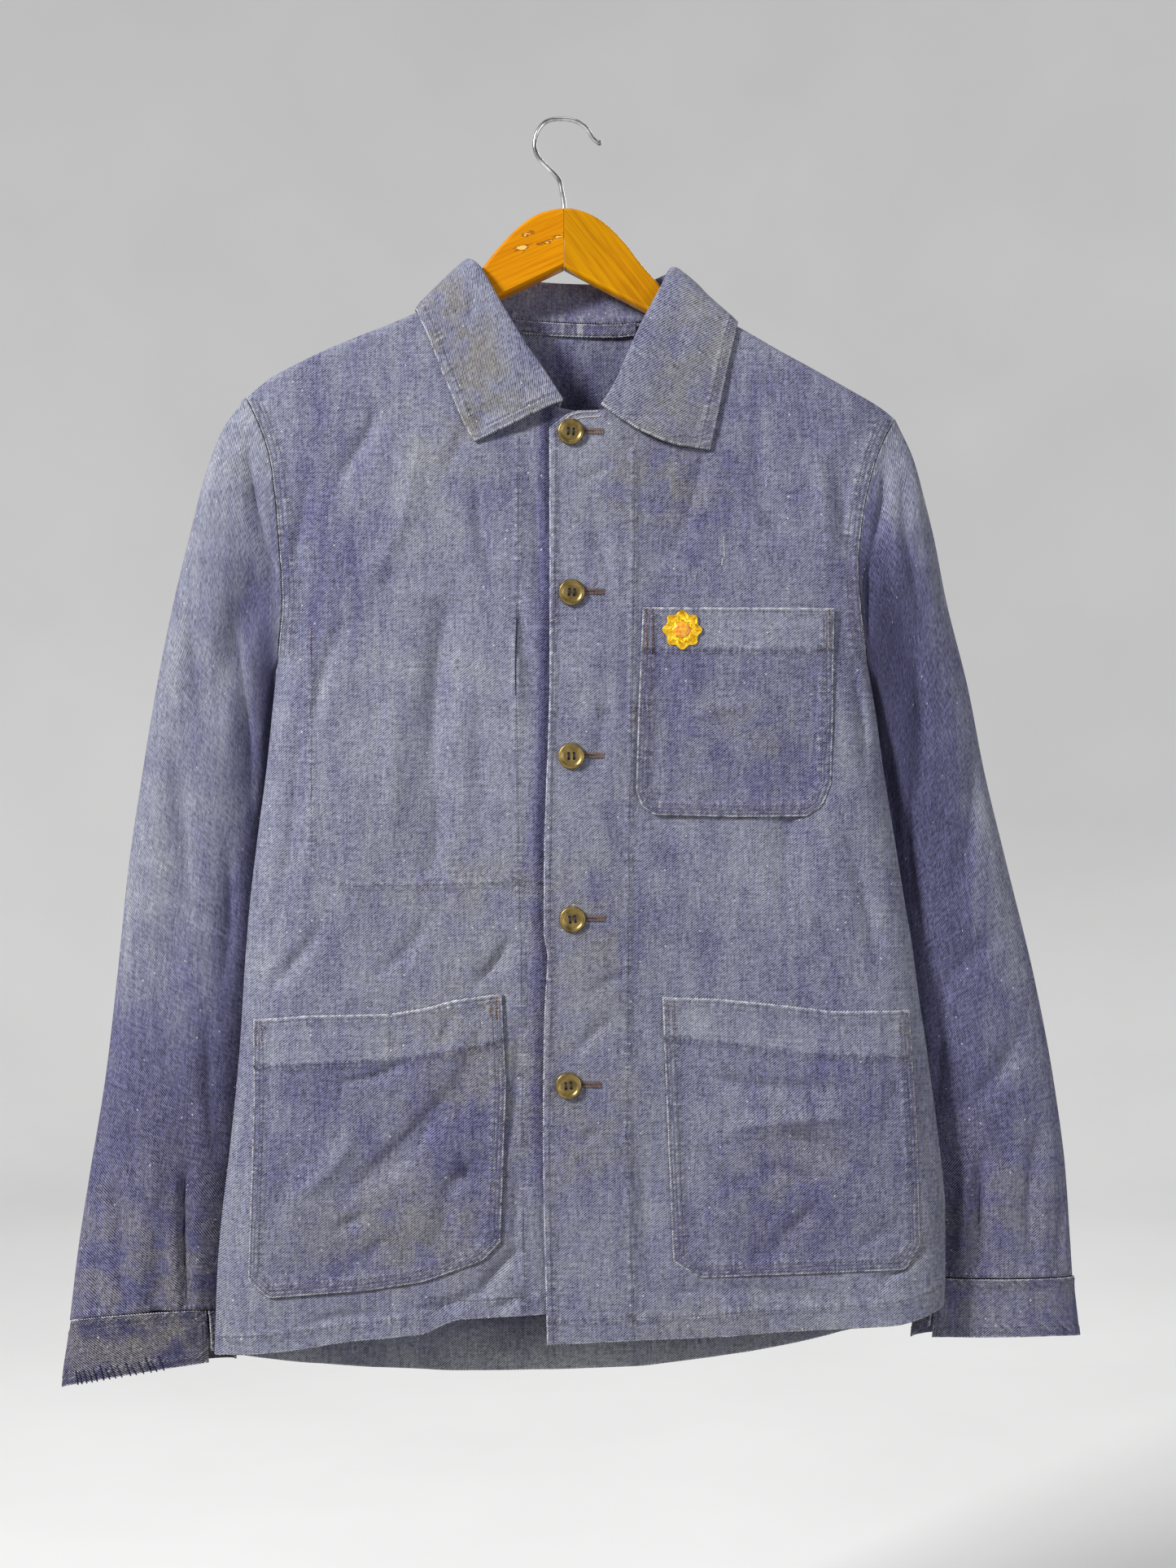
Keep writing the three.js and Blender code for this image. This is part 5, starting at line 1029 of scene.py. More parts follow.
pocketCut = {"wall": 1.05, "gap": 0.35, "welt": 0.5, "rowNear": 1.8, "rowFar": 7.2}
pocketCreases = {
    "lowerPocketRight": [
        (-75, -662, -142, -730, 5, 3.0, 12, 9), (-47, -712, -80, -733, -3, 2.4, 8, 9),
        (-80, -730, -83, -772, 3, 2.2, 7, 10), (-131, -744, -158, -758, 2, 1.2, 6, 5),
        (-117, -761, -165, -797, 3, 1.5, 7, 6), (-154, -658, -108, -646, -3, 1.3, 4, 6),
        (-64, -640, -70, -690, -3, 1.4, 7, 8), (-100, -690, -64, -730, 4, -1.8, 10, 9),
        (-180, -700, -205, -760, 3, 0.9, 9, 9), (-95, -785, -60, -770, -2, 1.3, 5, 6),
        (-118, -622, -112, -640, 1, 0.9, 6, 5), (-76, -612, -84, -634, 1, 0.9, 5, 6),
        (-140, -690, -180, -735, 5, -1.2, 11, 10), (-60, -620, -58, -640, 1, 0.7, 4, 4),
    ],
    "lowerPocketLeft": [
        (150, -694, 238, -748, 5, 2.2, 10, 8), (108, -690, 196, -683, 3, -1.6, 9, 12),
        (96, -655, 190, -662, -3, 1.2, 7, 8), (84, -700, 140, -760, 5, 1.3, 9, 9),
        (170, -740, 120, -783, 3, 1.5, 8, 7), (226, -650, 214, -700, 2, 1.2, 6, 7),
        (80, -745, 104, -785, 2, 1.0, 6, 6), (160, -650, 172, -690, 2, 0.9, 6, 7),
        (200, -770, 232, -752, 2, 1.1, 6, 5), (130, -715, 170, -728, 3, 0.9, 8, 6),
    ],
    "chestPocket": [
        (62, -392, 96, -462, 3, 0.9, 9, 10), (110, -385, 158, -420, 4, 0.8, 10, 8),
        (150, -430, 176, -470, 3, 1.0, 8, 7), (80, -412, 130, -405, 2, -0.7, 8, 9),
        (120, -450, 90, -474, 2, 0.8, 7, 7),
    ],
}
pocketBulge = {"lowerPocketRight": 2.7, "lowerPocketLeft": 2.4, "chestPocket": 0.9}


def pocketDepth(shapeName, shape, lap):
    outline, bandLine = [outlineOf(shape)], [np.array(bands[shapeName], float)]

    def at(x, z):
        edge, _ = lineDistance(x, z, outline)
        band, _ = lineDistance(x, z, bandLine)
        above = z > np.interp(x, bandLine[0][:, 0], bandLine[0][:, 1])
        lift = pocketCut["gap"] + pocketCut["wall"] + 0.25 * smooth(edge / 1.2)
        lift += pocketCut["welt"] * (1 - smooth((edge - 7.0) / 2))
        lift += np.where(above, 0.6 * smooth((band - 0.4) / 1.4), -0.1)
        lift += pocketBulge[shapeName] * smooth((edge - 5) / 45)
        lift += np.where(above, 0.55 * smooth(edge / 12), 0)
        sink = creaseSum(pocketCreases[shapeName], x, z) + rumple(x, z, 57, 1.0) * 0.8
        lift -= sink * smooth((edge - 2) / 14)
        return bodyDepth(x, z, -1, lap) - 0.8 - 0.45 * np.logaddexp(0, (lift - 0.8) / 0.45)

    return at


def pocketRows(shapeName, shape):
    top = np.array(shape["top"], float)[:, 1:]
    under = top + [0, -3.2]
    under[0, 0] += 1.8
    under[-1, 0] -= 1.8
    return [outlineOf(shape, pocketCut["rowNear"], True), outlineOf(shape, pocketCut["rowFar"], True),
            np.array(bands[shapeName], float), under]


pocketDepths = {}


def pocketShell(shapeName, shape, lap, columns, rows, nodeName):
    across, up = spaced(columns, 4, 4, 0.05), spaced(rows, 5, 5, 0.05)
    x, z = pocketPlaces(shape, across, up)
    pocketDepths[shapeName] = pocketDepth(shapeName, shape, lap)
    y = pocketDepths[shapeName](x, z)
    edge, _ = lineDistance(x, z, [outlineOf(shape)])
    seam, along = lineDistance(x, z, pocketRows(shapeName, shape))
    obj = clothShell(shapeName, np.stack([x, y, z], -1), pocketCut["wall"], (0, -1, 0), (x, z), {
        "seamDist": seam, "seamAlong": along, "edgeDist": edge * 0.8,
        "tone": tones["pocket"] + patchSum(fadeAndPaintedLightPatches["front"], x, z) * 0.4
        + 0.14 * smooth((z - np.interp(x, *np.array(bands[shapeName], float).T)) / 4),
        "grime": patchSum(grimePatches, x, z),
    }, clothMaterial)
    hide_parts(nodeName)
    return obj


pocketRight = pocketShell("lowerPocketRight", lowerPocketRight, False, 92, 100, "lower_pocket_right")
pocketLeft = pocketShell("lowerPocketLeft", lowerPocketLeft, True, 92, 100, "lower_pocket_left")
pocketChest = pocketShell("chestPocket", chestPocket, True, 76, 84, "chest_pocket")


def innerBag():
    # the bag sewn behind the right front, seen only from inside
    x, z = pocketPlaces(innerPocket, spaced(40, 2, 2), spaced(40, 2, 2))
    y = panelDepth(x, z, "frontRight") + cut["clothWall"] + 1.0 + rumple(x, z, 71) * 0.2
    edge, _ = lineDistance(x, z, [outlineOf(innerPocket)])
    obj = clothShell("innerPocket", np.stack([x, y, z], -1), 0.9, (0, -1, 0), (x, z), {
        "seamDist": edge + 30, "seamAlong": edge, "edgeDist": edge,
        "tone": tones["inside"] + 0.1, "grime": 0.1,
    }, clothMaterial)
    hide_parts("inner_pocket")
    return obj


bagInside = innerBag()
print("pockets made")

sleeveCut = {"wall": 1.15, "around": 112, "along": 190, "seamGap": 0.32}
sleeveTables = {-1: (sleeveRight, foldsSleeveRight), 1: (sleeveLeft, foldsSleeveLeft)}
sleeveFrontCreases = {
    -1: [
        (-216, -222, -203, -292, -3, 1.8, 6, 9), (-203, -290, -193, -350, 3, 1.6, 5, 8),
        (-227, -345, -217, -480, 4, 1.7, 8, 10), (-232, -500, -236, -600, 3, 1.3, 8, 9),
        (-256, -290, -246, -420, -5, 1.2, 13, 10), (-275, -420, -258, -560, 5, 1.3, 12, 14),
        (-296, -560, -262, -590, 4, 0.9, 8, 7), (-300, -640, -255, -690, 5, 1.2, 9, 10),
        (-245, -620, -240, -720, -3, 1.4, 8, 8), (-262, -716, -261, -824, -3, 2.4, 10, 2.6),
        (-268, -722, -266, -824, -3, -0.8, 3, 9), (-318, -700, -306, -820, 4, 1.3, 10, 11),
        (-290, -690, -282, -750, 3, -0.9, 10, 9), (-228, -560, -262, -535, 3, 0.9, 6, 7),
        (-331, -760, -322, -826, 2, 0.9, 8, 7),
    ],
    1: [
        (218, -235, 209, -300, 3, 1.6, 8, 6), (209, -300, 207, -365, -2, 1.8, 7, 6),
        (231, -240, 247, -355, -4, 1.5, 10, 8), (238, -350, 243, -470, 3, 1.6, 8, 9),
        (240, -450, 246, -560, -4, 2.0, 7, 10), (282, -420, 268, -540, 5, 1.2, 12, 13),
        (300, -560, 262, -600, -4, 1.0, 9, 8), (318, -620, 276, -680, 5, 1.2, 11, 9),
        (258, -590, 254, -700, 3, 1.4, 8, 8), (288, -706, 283, -796, 2, 2.3, 4, 9),
        (279, -712, 274, -796, -2, -1.2, 5, 6), (328, -690, 322, -795, -4, 1.2, 11, 10),
        (295, -686, 306, -720, 2, 0.9, 7, 6), (345, -740, 340, -796, 1, 0.8, 7, 8),
    ],
}
sleeveBackCreases = {
    -1: [
        (-232, -250, -250, -400, 6, 1.8, 13, 11), (-280, -430, -240, -500, 6, 1.5, 11, 12),
        (-290, -560, -250, -600, 5, 1.4, 10, 10), (-262, -640, -280, -760, 5, 1.4, 12, 11),
        (-310, -700, -300, -815, 4, 1.1, 9, 11),
    ],
    1: [
        (238, -260, 262, -400, -6, 1.8, 13, 11), (292, -430, 250, -510, -6, 1.4, 12, 11),
        (310, -570, 262, -620, -5, 1.4, 10, 11), (282, -640, 296, -770, -5, 1.4, 11, 12),
        (330, -700, 324, -792, -3, 1.1, 10, 9),
    ],
}


def ringRow(table, t):
    indexed = [(i, *row) for i, row in enumerate(table)]
    line = through(indexed)
    place = np.clip(t, 0, 1) * (len(table) - 1)
    return [line(place, c) for c in range(1, 9)]


def ringPlace(row, angle, dent=0.0):
    ox, oz, ix, iz, cy, half, lift, back = row
    c, s = np.cos(angle), np.sin(angle)
    return ((ox + ix) / 2 + (ox - ix) / 2 * c, cy + back * (1 - c) / 2 - (half - dent) * s,
            (oz + iz) / 2 + (oz - iz) / 2 * c + lift * np.maximum(0, s))


def sleevePlace(side, t, degrees):
    # a point of the sleeve: t from the shoulder to the cuff, degrees round it with 90 in front
    table, folds = sleeveTables[side]
    t, degrees = np.broadcast_arrays(np.asarray(t, float), np.asarray(degrees, float))
    dent = np.zeros_like(t)
    for start, end, at, drift, spread, depth in folds:
        k = (t - start) / (end - start)
        wave = np.sin(np.minimum(k, 0.75) * np.pi / 1.5) if end >= 1 else np.sin(k * np.pi)
        flank = np.exp(-((degrees - at - drift * k) / spread) ** 2)
        dent += np.where((k > 0) & (k < 1.0001), depth * wave, 0) * flank
    angle = np.radians(degrees)
    x, y, z = ringPlace(ringRow(table, t), angle, dent)
    settle = 1 - smooth(t / 0.16)
    bx, by, bz = ringPlace([np.full_like(t, v) for v in table[0]], angle)
    seamZ = mix(tips[side][1], cut["underarmZ"], (1 - np.cos(angle)) / 2)
    face = np.where(degrees % 360 < 180, -1.0, 1.0)
    x = x + (edgeX(side, seamZ) + side * sleeveCut["seamGap"] - bx) * settle
    y = y + (seamDepth(side, seamZ, face) - by) * settle
    z = z + (seamZ - bz) * settle
    s = np.sin(angle)
    calm = smooth(t / 0.05) * smooth((1 - t) / 0.012)
    front = creaseSum(sleeveFrontCreases[side], x, z) * 1.25 + rumple(x, z, 83 if side < 0 else 89, 1.5) * 1.1
    behind = creaseSum(sleeveBackCreases[side], x, z) + rumple(x, z, 97 if side < 0 else 101, 1.5) * 1.2
    y = y + calm * (np.maximum(s, 0) ** 0.6 * front - np.maximum(-s, 0) ** 0.6 * behind)
    gather = softNoise(degrees * 1.7, t * 0, 7, 7) * np.exp(-(1 - t) / 0.03) * 0.9
    ease = softNoise(degrees * 1.3, t * 0, 9, 19) * np.exp(-t / 0.03) * 0.55 * smooth(t / 0.008)
    y = y - s * (gather + ease)
    return np.stack(np.broadcast_arrays(x, y, z), -1)


def sleeveShell(side):
    degrees = np.linspace(0, 360, sleeveCut["around"], endpoint=False)[None, :]
    t = spaced(sleeveCut["along"], 3, 3, 0.04)[:, None]
    grid = sleevePlace(side, t, degrees)
    run = np.concatenate([np.zeros((sleeveCut["along"], 1)), np.cumsum(np.linalg.norm(
        np.diff(np.concatenate([grid, grid[:, :1]], 1), axis=1), axis=2), axis=1)], 1)
    length = np.concatenate([[0], np.cumsum(np.linalg.norm(np.diff(grid[:, 28], axis=0), axis=1))])
    chart = (run - run[:, 28:29], np.broadcast_to(length[:, None], run.shape))
    x, z = grid[..., 0], grid[..., 2]
    fromTop, fromEnd = length[:, None] + 0 * x, (length[-1] - length)[:, None] + 0 * x
    seam = np.minimum(np.abs(fromTop - 1.6) + 1.0, np.abs(fromEnd - 2.2) + 0.8)
    # the arm seam runs down the hidden inner side; painted shade on the inner front towards the body, a painted
    # highlight on the outer front
    shade = -0.3 * np.exp(-((degrees - 150) / 34) ** 2) * smooth(t / 0.08)
    shade = shade + 0.12 * np.exp(-((degrees - 35) / 40) ** 2)
    low = -0.3 * smooth((t - 0.6) / 0.2)
    # viewer's right sleeve: painted shadow of the body on its upper front; the other sleeve: a faint painted
    # highlight up high
    if side > 0:
        shade = shade - 0.5 * np.exp(-((z + 390) / 190) ** 2) * np.exp(-((degrees - 105) / 42) ** 2)
    else:
        shade = shade + 0.02 * np.exp(-((z + 330) / 200) ** 2)
    name = "sleeveRight" if side < 0 else "sleeveLeft"
    obj = clothShell(name, grid, sleeveCut["wall"], (0, -1, 0), chart, {
        "seamDist": seam, "seamAlong": run[:, :-1] + 0 * x, "edgeDist": np.minimum(fromTop, fromEnd) + 0.7,
        "tone": tones["sleeve"] + shade + (low if side < 0 else low * 0.3),
        "grime": patchSum(grimePatches, x, z) + (0.14 if side < 0 else 0.05) * smooth((t - 0.6) / 0.2),
    }, clothMaterial, wrap=True)
    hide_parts("sleeve_right" if side < 0 else "sleeve_left")
    return obj


armRight = sleeveShell(-1)
armLeft = sleeveShell(1)
print("sleeves made")

cuffCut = {"wall": 1.35, "around": 130, "rows": 30, "slitWidth": 1.6, "tabRise": 8,
           "slit": {-1: 137, 1: 142}}
cuffTables = {-1: cuffRight, 1: cuffLeft}


def cuffPlace(side, t, k):
    # t from the sleeve seam to the cuff's edge, k round it from the slit
    t, k = np.broadcast_arrays(np.asarray(t, float), np.asarray(k, float))
    row = ringRow(cuffTables[side], t)
    gap = cuffCut["slitWidth"] / (np.abs(row[0] - row[2]) / 2) * 180 / np.pi
    slit = cuffCut["slit"][side]
    degrees = slit + gap / 2 + (360 - gap) * k
    x, y, z = ringPlace(row, np.radians(degrees))
    tab = np.clip((180 - degrees) / (180 - slit), 0, 1) * (degrees < 180)
    z = z + cuffCut["tabRise"] * t * tab
    s = np.sin(np.radians(degrees))
    wave = softNoise(degrees, t * 30, 26, 31 if side < 0 else 37) * 0.8 * smooth(t / 0.3)
    welt = 0.45 * (1 - smooth((np.abs(t - 0.06) - 0.05) / 0.06)) + 0.4 * smooth((t - 0.84) / 0.05)
    return np.stack(np.broadcast_arrays(x + np.cos(np.radians(degrees)) * welt, y - s * (wave + welt), z), -1)


def cuffShell(side):
    t = spaced(cuffCut["rows"], 3, 4, 0.08)[:, None]
    k = spaced(cuffCut["around"], 2, 2, 0.02)[None, :]
    grid = cuffPlace(side, t, k)
    run = np.concatenate([[0], np.cumsum(np.linalg.norm(np.diff(grid[15], axis=0), axis=1))])[None, :]
    down = np.concatenate([[0], np.cumsum(np.linalg.norm(np.diff(grid[:, 90], axis=0), axis=1))])[:, None]
    x = grid[..., 0]
    down, run = down + 0 * x, run + 0 * x
    height, width = down.max(), run.max()
    seam = np.minimum(np.minimum(np.abs(down - 2.2), np.abs(down - height + 6.5)),
                      np.minimum(np.abs(run - 3), np.abs(run - width + 3)))
    edge = np.minimum(np.minimum(down + 0.4, height - down), np.minimum(run, width - run))
    name = "cuffRight" if side < 0 else "cuffLeft"
    obj = clothShell(name, grid, cuffCut["wall"], (0, 1, 0), (run, down), {
        "seamDist": seam, "seamAlong": run + down, "edgeDist": edge,
        "tone": tones["cuff"] + (-0.5 if side < 0 else -0.02) + 0 * x,
        "grime": patchSum(grimePatches, x, grid[..., 2]) * 1.3 + (0.3 if side < 0 else 0.15),
    }, clothMaterial)
    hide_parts("cuff_right" if side < 0 else "cuff_left")
    return obj


bandRight = cuffShell(-1)
bandLeft = cuffShell(1)
print("cuffs made")


collarCut = {"wall": 1.9, "perSpan": 6, "leanX": 0.82, "leanZ": 0.57, "leafOff": 2.6}
collarProfile = [  # along the section from the neck seam: start on which line, share, along, off
    ("stand", 0, 0.55, -1.5), ("stand", 0.5, 0.2, -1.3), ("stand", 1, -2.4, -1.1), ("stand", 1, -0.5, 0.1),
    ("stand", 1, 0, 1.8), ("stand", 1, -0.8, 3.6), ("leaf", 0.14, 0, 4.6), ("leaf", 0.4, 0, 4.4),
    ("leaf", 0.7, 0, 3.6), ("leaf", 1, 0, 2.7),
]


def neckCloth(x, z, face, side):
    front = np.where(side < 0, panelDepth(x, z, "frontRight"), panelDepth(x, z, "frontLeft"))
    return np.where(face > 0, panelDepth(x, z, "back"), front)


def unitRows(v):
    return v / np.linalg.norm(v, axis=-1, keepdims=True)


def collarPlaces():
    # ten points of every section: up the stand, over the fold and down the leaf
    spans = len(collarSections) - 1
    at = through([(i, *row) for i, row in enumerate(collarSections)])
    u = np.linspace(0, spans, spans * collarCut["perSpan"] + 1)
    nx, nz, fx, fz, ex, ez, foldY, turn, sag = [at(u, c) for c in range(1, 10)]
    side = np.where(fx < 0, -1.0, 1.0)
    turn = np.radians(turn)
    swing = np.abs(np.sin(turn))
    lean = [side * swing * collarCut["leanX"], -np.cos(turn), swing * collarCut["leanZ"]]
    out = unitRows(np.stack(lean, 1))
    face = np.where(np.cos(turn) > 0, -1.0, 1.0)
    neck = np.stack([nx, neckCloth(nx, nz, face, side), nz], 1)
    fold = np.stack([fx, foldY, fz], 1)
    edge = np.stack([ex, neckCloth(ex, ez, face, side), ez], 1)
    rise = unitRows(fold - neck)
    points = []
    for line, k, along, off in collarProfile:
        if line == "stand":
            points.append(mix(neck, fold, k) + rise * along + out * off)
            continue
        p = mix(fold, edge, k)
        p[:, 2] += sag * 4 * k * (1 - k)
        drop = shoulderAt(p[:, 0]) - p[:, 2]
        under = neckCloth(p[:, 0], p[:, 2], face, side)
        p[:, 1] = np.where((drop > 0) & ((under - p[:, 1]) * face > 0), under, p[:, 1])
        p = p + out * off
        points.append(clearOfRidge(p, face, side))
    return np.stack(points, 1)


def clearOfRidge(p, face, side):
    # moves points of the leaf clear of the shoulder's ridge, whichever way is shorter
    off, radius, power = collarCut["leafOff"], cut["ridgeRadius"], cut["ridgePower"]
    drop = shoulderAt(p[:, 0]) - p[:, 2]
    across = np.clip(np.abs(p[:, 1]) / (10.5 + off), 0, 1)
    ridgeZ = shoulderAt(p[:, 0]) + off - (radius + off) * (1 - (1 - across ** power) ** (1 / power))
    lift = np.where(np.abs(p[:, 1]) < 10.5 + off, ridgeZ - p[:, 2], 1e6)
    push = np.where(drop > -off, (neckCloth(p[:, 0], p[:, 2], face, side) + face * off - p[:, 1]) * face, 0)
    both = (lift > 0) & (push > 0)
    p[:, 2] += np.where(both & (lift < push), lift, 0)
    p[:, 1] += np.where(both & (lift >= push), face * push, 0)
    return p


def collarGridMade():
    ten = collarPlaces()
    marksAt = np.concatenate([np.linspace(0, 2, 9)[:-1], np.linspace(2, 6, 15)[:-1],
                              np.linspace(6, 8.6, 15)[:-1], np.linspace(8.6, 9, 7)])
    rows = []
    for section in ten:
        chord = np.concatenate([[0], np.cumsum(np.linalg.norm(np.diff(section, axis=0), axis=1))])
        line = through(np.column_stack([chord, section]).tolist())
        places = np.interp(marksAt, np.arange(10), chord)
        rows.append(np.stack([line(places, c) for c in (1, 2, 3)], 1))
    return np.stack(rows), marksAt


collarGrid, collarMarks = collarGridMade()
collarNormals = normalsOf(collarGrid)
if collarNormals[72, 30][1] < 0:
    collarNormals = -collarNormals
collarDown = np.concatenate([np.zeros((len(collarGrid), 1)), np.cumsum(np.linalg.norm(
    np.diff(collarGrid, axis=1), axis=2), axis=1)], 1)
collarRun = np.concatenate([np.zeros((1, len(collarMarks))), np.cumsum(np.linalg.norm(
    np.diff(collarGrid, axis=0), axis=2), axis=0)])
leafShare = smooth((collarMarks[None, :] - 5.6) / 1.6)
toEdge = collarDown[:, -1:] - collarDown
toFront = np.minimum(collarRun, collarRun[-1:] - collarRun)
toRim = np.where(collarMarks[None, :] > 4, np.minimum(toEdge, toFront), np.minimum(toFront, 90))
collarLift = softNoise(collarRun, toEdge * 1.3, 27, 61) * 0.75 + softNoise(collarRun, toEdge, 11, 63) * 0.3
collarLift = collarLift * leafShare
collarLift *= smooth(toEdge / 9) * smooth(toFront / 10)
collarLift = np.maximum(collarLift, -0.45) + 0.3 * leafShare * (1 - smooth((toRim - 6.4) / 1.6))
collarGrid = collarGrid + collarNormals * collarLift[..., None]


def collarShell():
    seam = np.where(collarMarks[None, :] > 4, np.minimum(np.abs(toEdge - 7), np.abs(toFront - 7)),
                    np.abs(collarDown - 2.5))
    frontLeaf = np.where(collarGrid[..., 0] < 0, 1.0, 0.6)
    chart = (collarRun[:, 30:31] + 0 * toEdge, toEdge)
    obj = clothShell("collar", collarGrid, collarCut["wall"], (0, 1, 0.2), chart, {
        "seamDist": seam, "seamAlong": collarRun, "edgeDist": toRim * 0.7,
        "tone": mix(0.46, tones["collar"], smooth((collarMarks[None, :] - 2.6) / 2.0)) + 0 * toEdge,
        "grime": 0.75 * leafShare * frontLeaf,
    }, clothMaterial)
    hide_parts("collar")
    return obj


turnedCollar = collarShell()

bindingCut = {"behind": 1.63, "wall": 0.9, "pucker": 0.35, "rows": 14, "columns": 120}


def bindingShell():
    line = through(bindingEdges)
    xs = np.linspace(bindingEdges[0][0] + 0.4, bindingEdges[-1][0] - 0.4, bindingCut["columns"])[None, :]
    t = np.linspace(0, 1, bindingCut["rows"])[:, None]
    top, low = line(xs, 1), line(xs, 2)
    z = mix(low, top, t)
    x = xs + 0 * z
    y = bodyDepth(x, z, 1) - bindingCut["behind"] - bindingCut["wall"]
    beat = softNoise(x, z * 0, 5.5, 67)
    y = y - bindingCut["pucker"] * np.maximum(beat, -0.4) * np.sin(np.pi * t) - 0.35 * (1 - smooth(t / 0.2))
    obj = clothShell("neckBinding", np.stack([x, y, z], -1), bindingCut["wall"], (0, -1, 0), (x, z), {
        "seamDist": np.abs(z - low - 1.6), "seamAlong": x, "edgeDist": np.minimum(z - low, top - z + 0.4),
        "tone": 0.34 + 0.55 * smooth((beat - 0.35) / 0.3) + 0.0 * z, "grime": 0.2,
    }, clothMaterial)
    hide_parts("neck_binding")
    return obj


stripInside = bindingShell()
print("collar and neck binding made")


def treeWith(name, inputs):
    tree = bpy.data.node_groups.new(name, "GeometryNodeTree")
    tree.interface.new_socket("Geometry", in_out="INPUT", socket_type="NodeSocketGeometry")
    for key, kind in inputs:
        tree.interface.new_socket(key, in_out="INPUT", socket_type="NodeSocket" + kind)
    tree.interface.new_socket("Geometry", in_out="OUTPUT", socket_type="NodeSocketGeometry")
    return tree, tree.nodes.new("NodeGroupInput").outputs, tree.nodes.new("NodeGroupOutput").inputs


def finishedTree(tree, geometry, given, result):
    whole = node(tree, "GeometryNodeRealizeInstances", {0: geometry}).outputs[0]
    shaded = node(tree, "GeometryNodeSetShadeSmooth", {0: whole}).outputs[0]
    set_ = node(tree, "GeometryNodeSetMaterial", {0: shaded, "Material": given["Thread"]})
    tree.links.new(set_.outputs[0], result[0])
    return tree


def sewnRowTree():
    # one small rounded stitch at every pitch along each line
    tree, given, result = treeWith("sewnRow", [
        ("Pitch", "Float"), ("Depth", "Float"), ("Across", "Float"), ("Along", "Float"),
        ("Unevenness", "Float"), ("Seed", "Int"), ("Thread", "Material")])
    line = node(tree, "GeometryNodeMeshToCurve", {0: given[0]}).outputs[0]
    line = node(tree, "GeometryNodeSetCurveNormal", {0: line}, mode="Z_UP").outputs[0]
    points = node(tree, "GeometryNodeCurveToPoints", {0: line, "Length": given["Pitch"]}, mode="LENGTH")
    bead = node(tree, "GeometryNodeMeshUVSphere", {"Segments": 6, "Rings": 4, "Radius": 0.5}).outputs[0]
    size = node(tree, "ShaderNodeCombineXYZ",
                {0: given["Depth"], 1: given["Across"], 2: given["Along"]}).outputs[0]
    least = calc(tree, "SUBTRACT", 1.0, given["Unevenness"])
    vary = node(tree, "FunctionNodeRandomValue", data_type="FLOAT")
    tree.links.new(least, vary.inputs[2])
    tree.links.new(calc(tree, "ADD", 1.0, given["Unevenness"]), vary.inputs[3])
    tree.links.new(given["Seed"], vary.inputs["Seed"])
    scaled = node(tree, "ShaderNodeVectorMath", {0: size}, operation="SCALE")
    tree.links.new(vary.outputs[1], scaled.inputs["Scale"])
    copies = node(tree, "GeometryNodeInstanceOnPoints", {
        "Points": points.outputs["Points"], "Instance": bead, "Rotation": points.outputs["Rotation"],
        "Scale": scaled.outputs[0]}).outputs[0]
    return finishedTree(tree, copies, given, result)


def laidThreadTree():
    # a round thread along each line
    tree, given, result = treeWith("laidThread", [("Radius", "Float"), ("Thread", "Material")])
    line = node(tree, "GeometryNodeMeshToCurve", {0: given[0]}).outputs[0]
    ring = node(tree, "GeometryNodeCurvePrimitiveCircle",
                {"Resolution": 6, "Radius": given["Radius"]}).outputs[0]
    thread = node(tree, "GeometryNodeCurveToMesh", {"Curve": line, "Profile Curve": ring, "Fill Caps": True})
    return finishedTree(tree, thread.outputs[0], given, result)


sewnRow, laidThread = sewnRowTree(), laidThreadTree()


def sewn(name, lines, tree, values):
    points = np.concatenate([np.asarray(line, float) for line in lines]) * 0.001
    edges, start = [], 0
    for line in lines:
        edges += [(start + i, start + i + 1) for i in range(len(line) - 1)]
        start += len(line)
    mesh = bpy.data.meshes.new(name + "Lines")
    mesh.from_pydata(points.tolist(), edges, [])
    guide = bpy.data.objects.new(name + "Lines", mesh)
    bpy.context.scene.collection.objects.link(guide)
    modifier = guide.modifiers.new("sewing", "NODES")
    modifier.node_group = tree
    for item in tree.interface.items_tree:
        if item.in_out == "INPUT" and item.name in values:
            modifier[item.identifier] = values[item.name]
    evaluated = guide.evaluated_get(bpy.context.evaluated_depsgraph_get())
    made = bpy.data.meshes.new_from_object(evaluated)
    made.name = name
    material = values["Thread"]
    bpy.data.objects.remove(guide)
    obj = bpy.data.objects.new(name, made)
    bpy.context.scene.collection.objects.link(obj)
    if not made.materials:
        made.materials.append(material)
    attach(obj, "root")
    return obj


stitch = {"Pitch": 0.0031, "Depth": 0.0005, "Across": 0.00058, "Along": 0.0024, "Unevenness": 0.18, "Seed": 5,
          "off": 0.12}


def onPocket(line, shapeName, off=stitch["off"]):
    line = densified(line, 1.6)
    return lifted(pocketDepths[shapeName], line[:, 0], line[:, 1], -off)


def onGridLine(grid, normals, i, j, off):
    # points of a grid at fractional rows and columns, lifted
    i0 = np.clip(np.floor(i).astype(int), 0, grid.shape[0] - 2)
    j0 = np.clip(np.floor(j).astype(int), 0, grid.shape[1] - 2)
    ki, kj = (i - i0)[:, None], (j - j0)[:, None]
    lift = grid + normals * off
    return mix(mix(lift[i0, j0], lift[i0, j0 + 1], kj), mix(lift[i0 + 1, j0], lift[i0 + 1, j0 + 1], kj), ki)


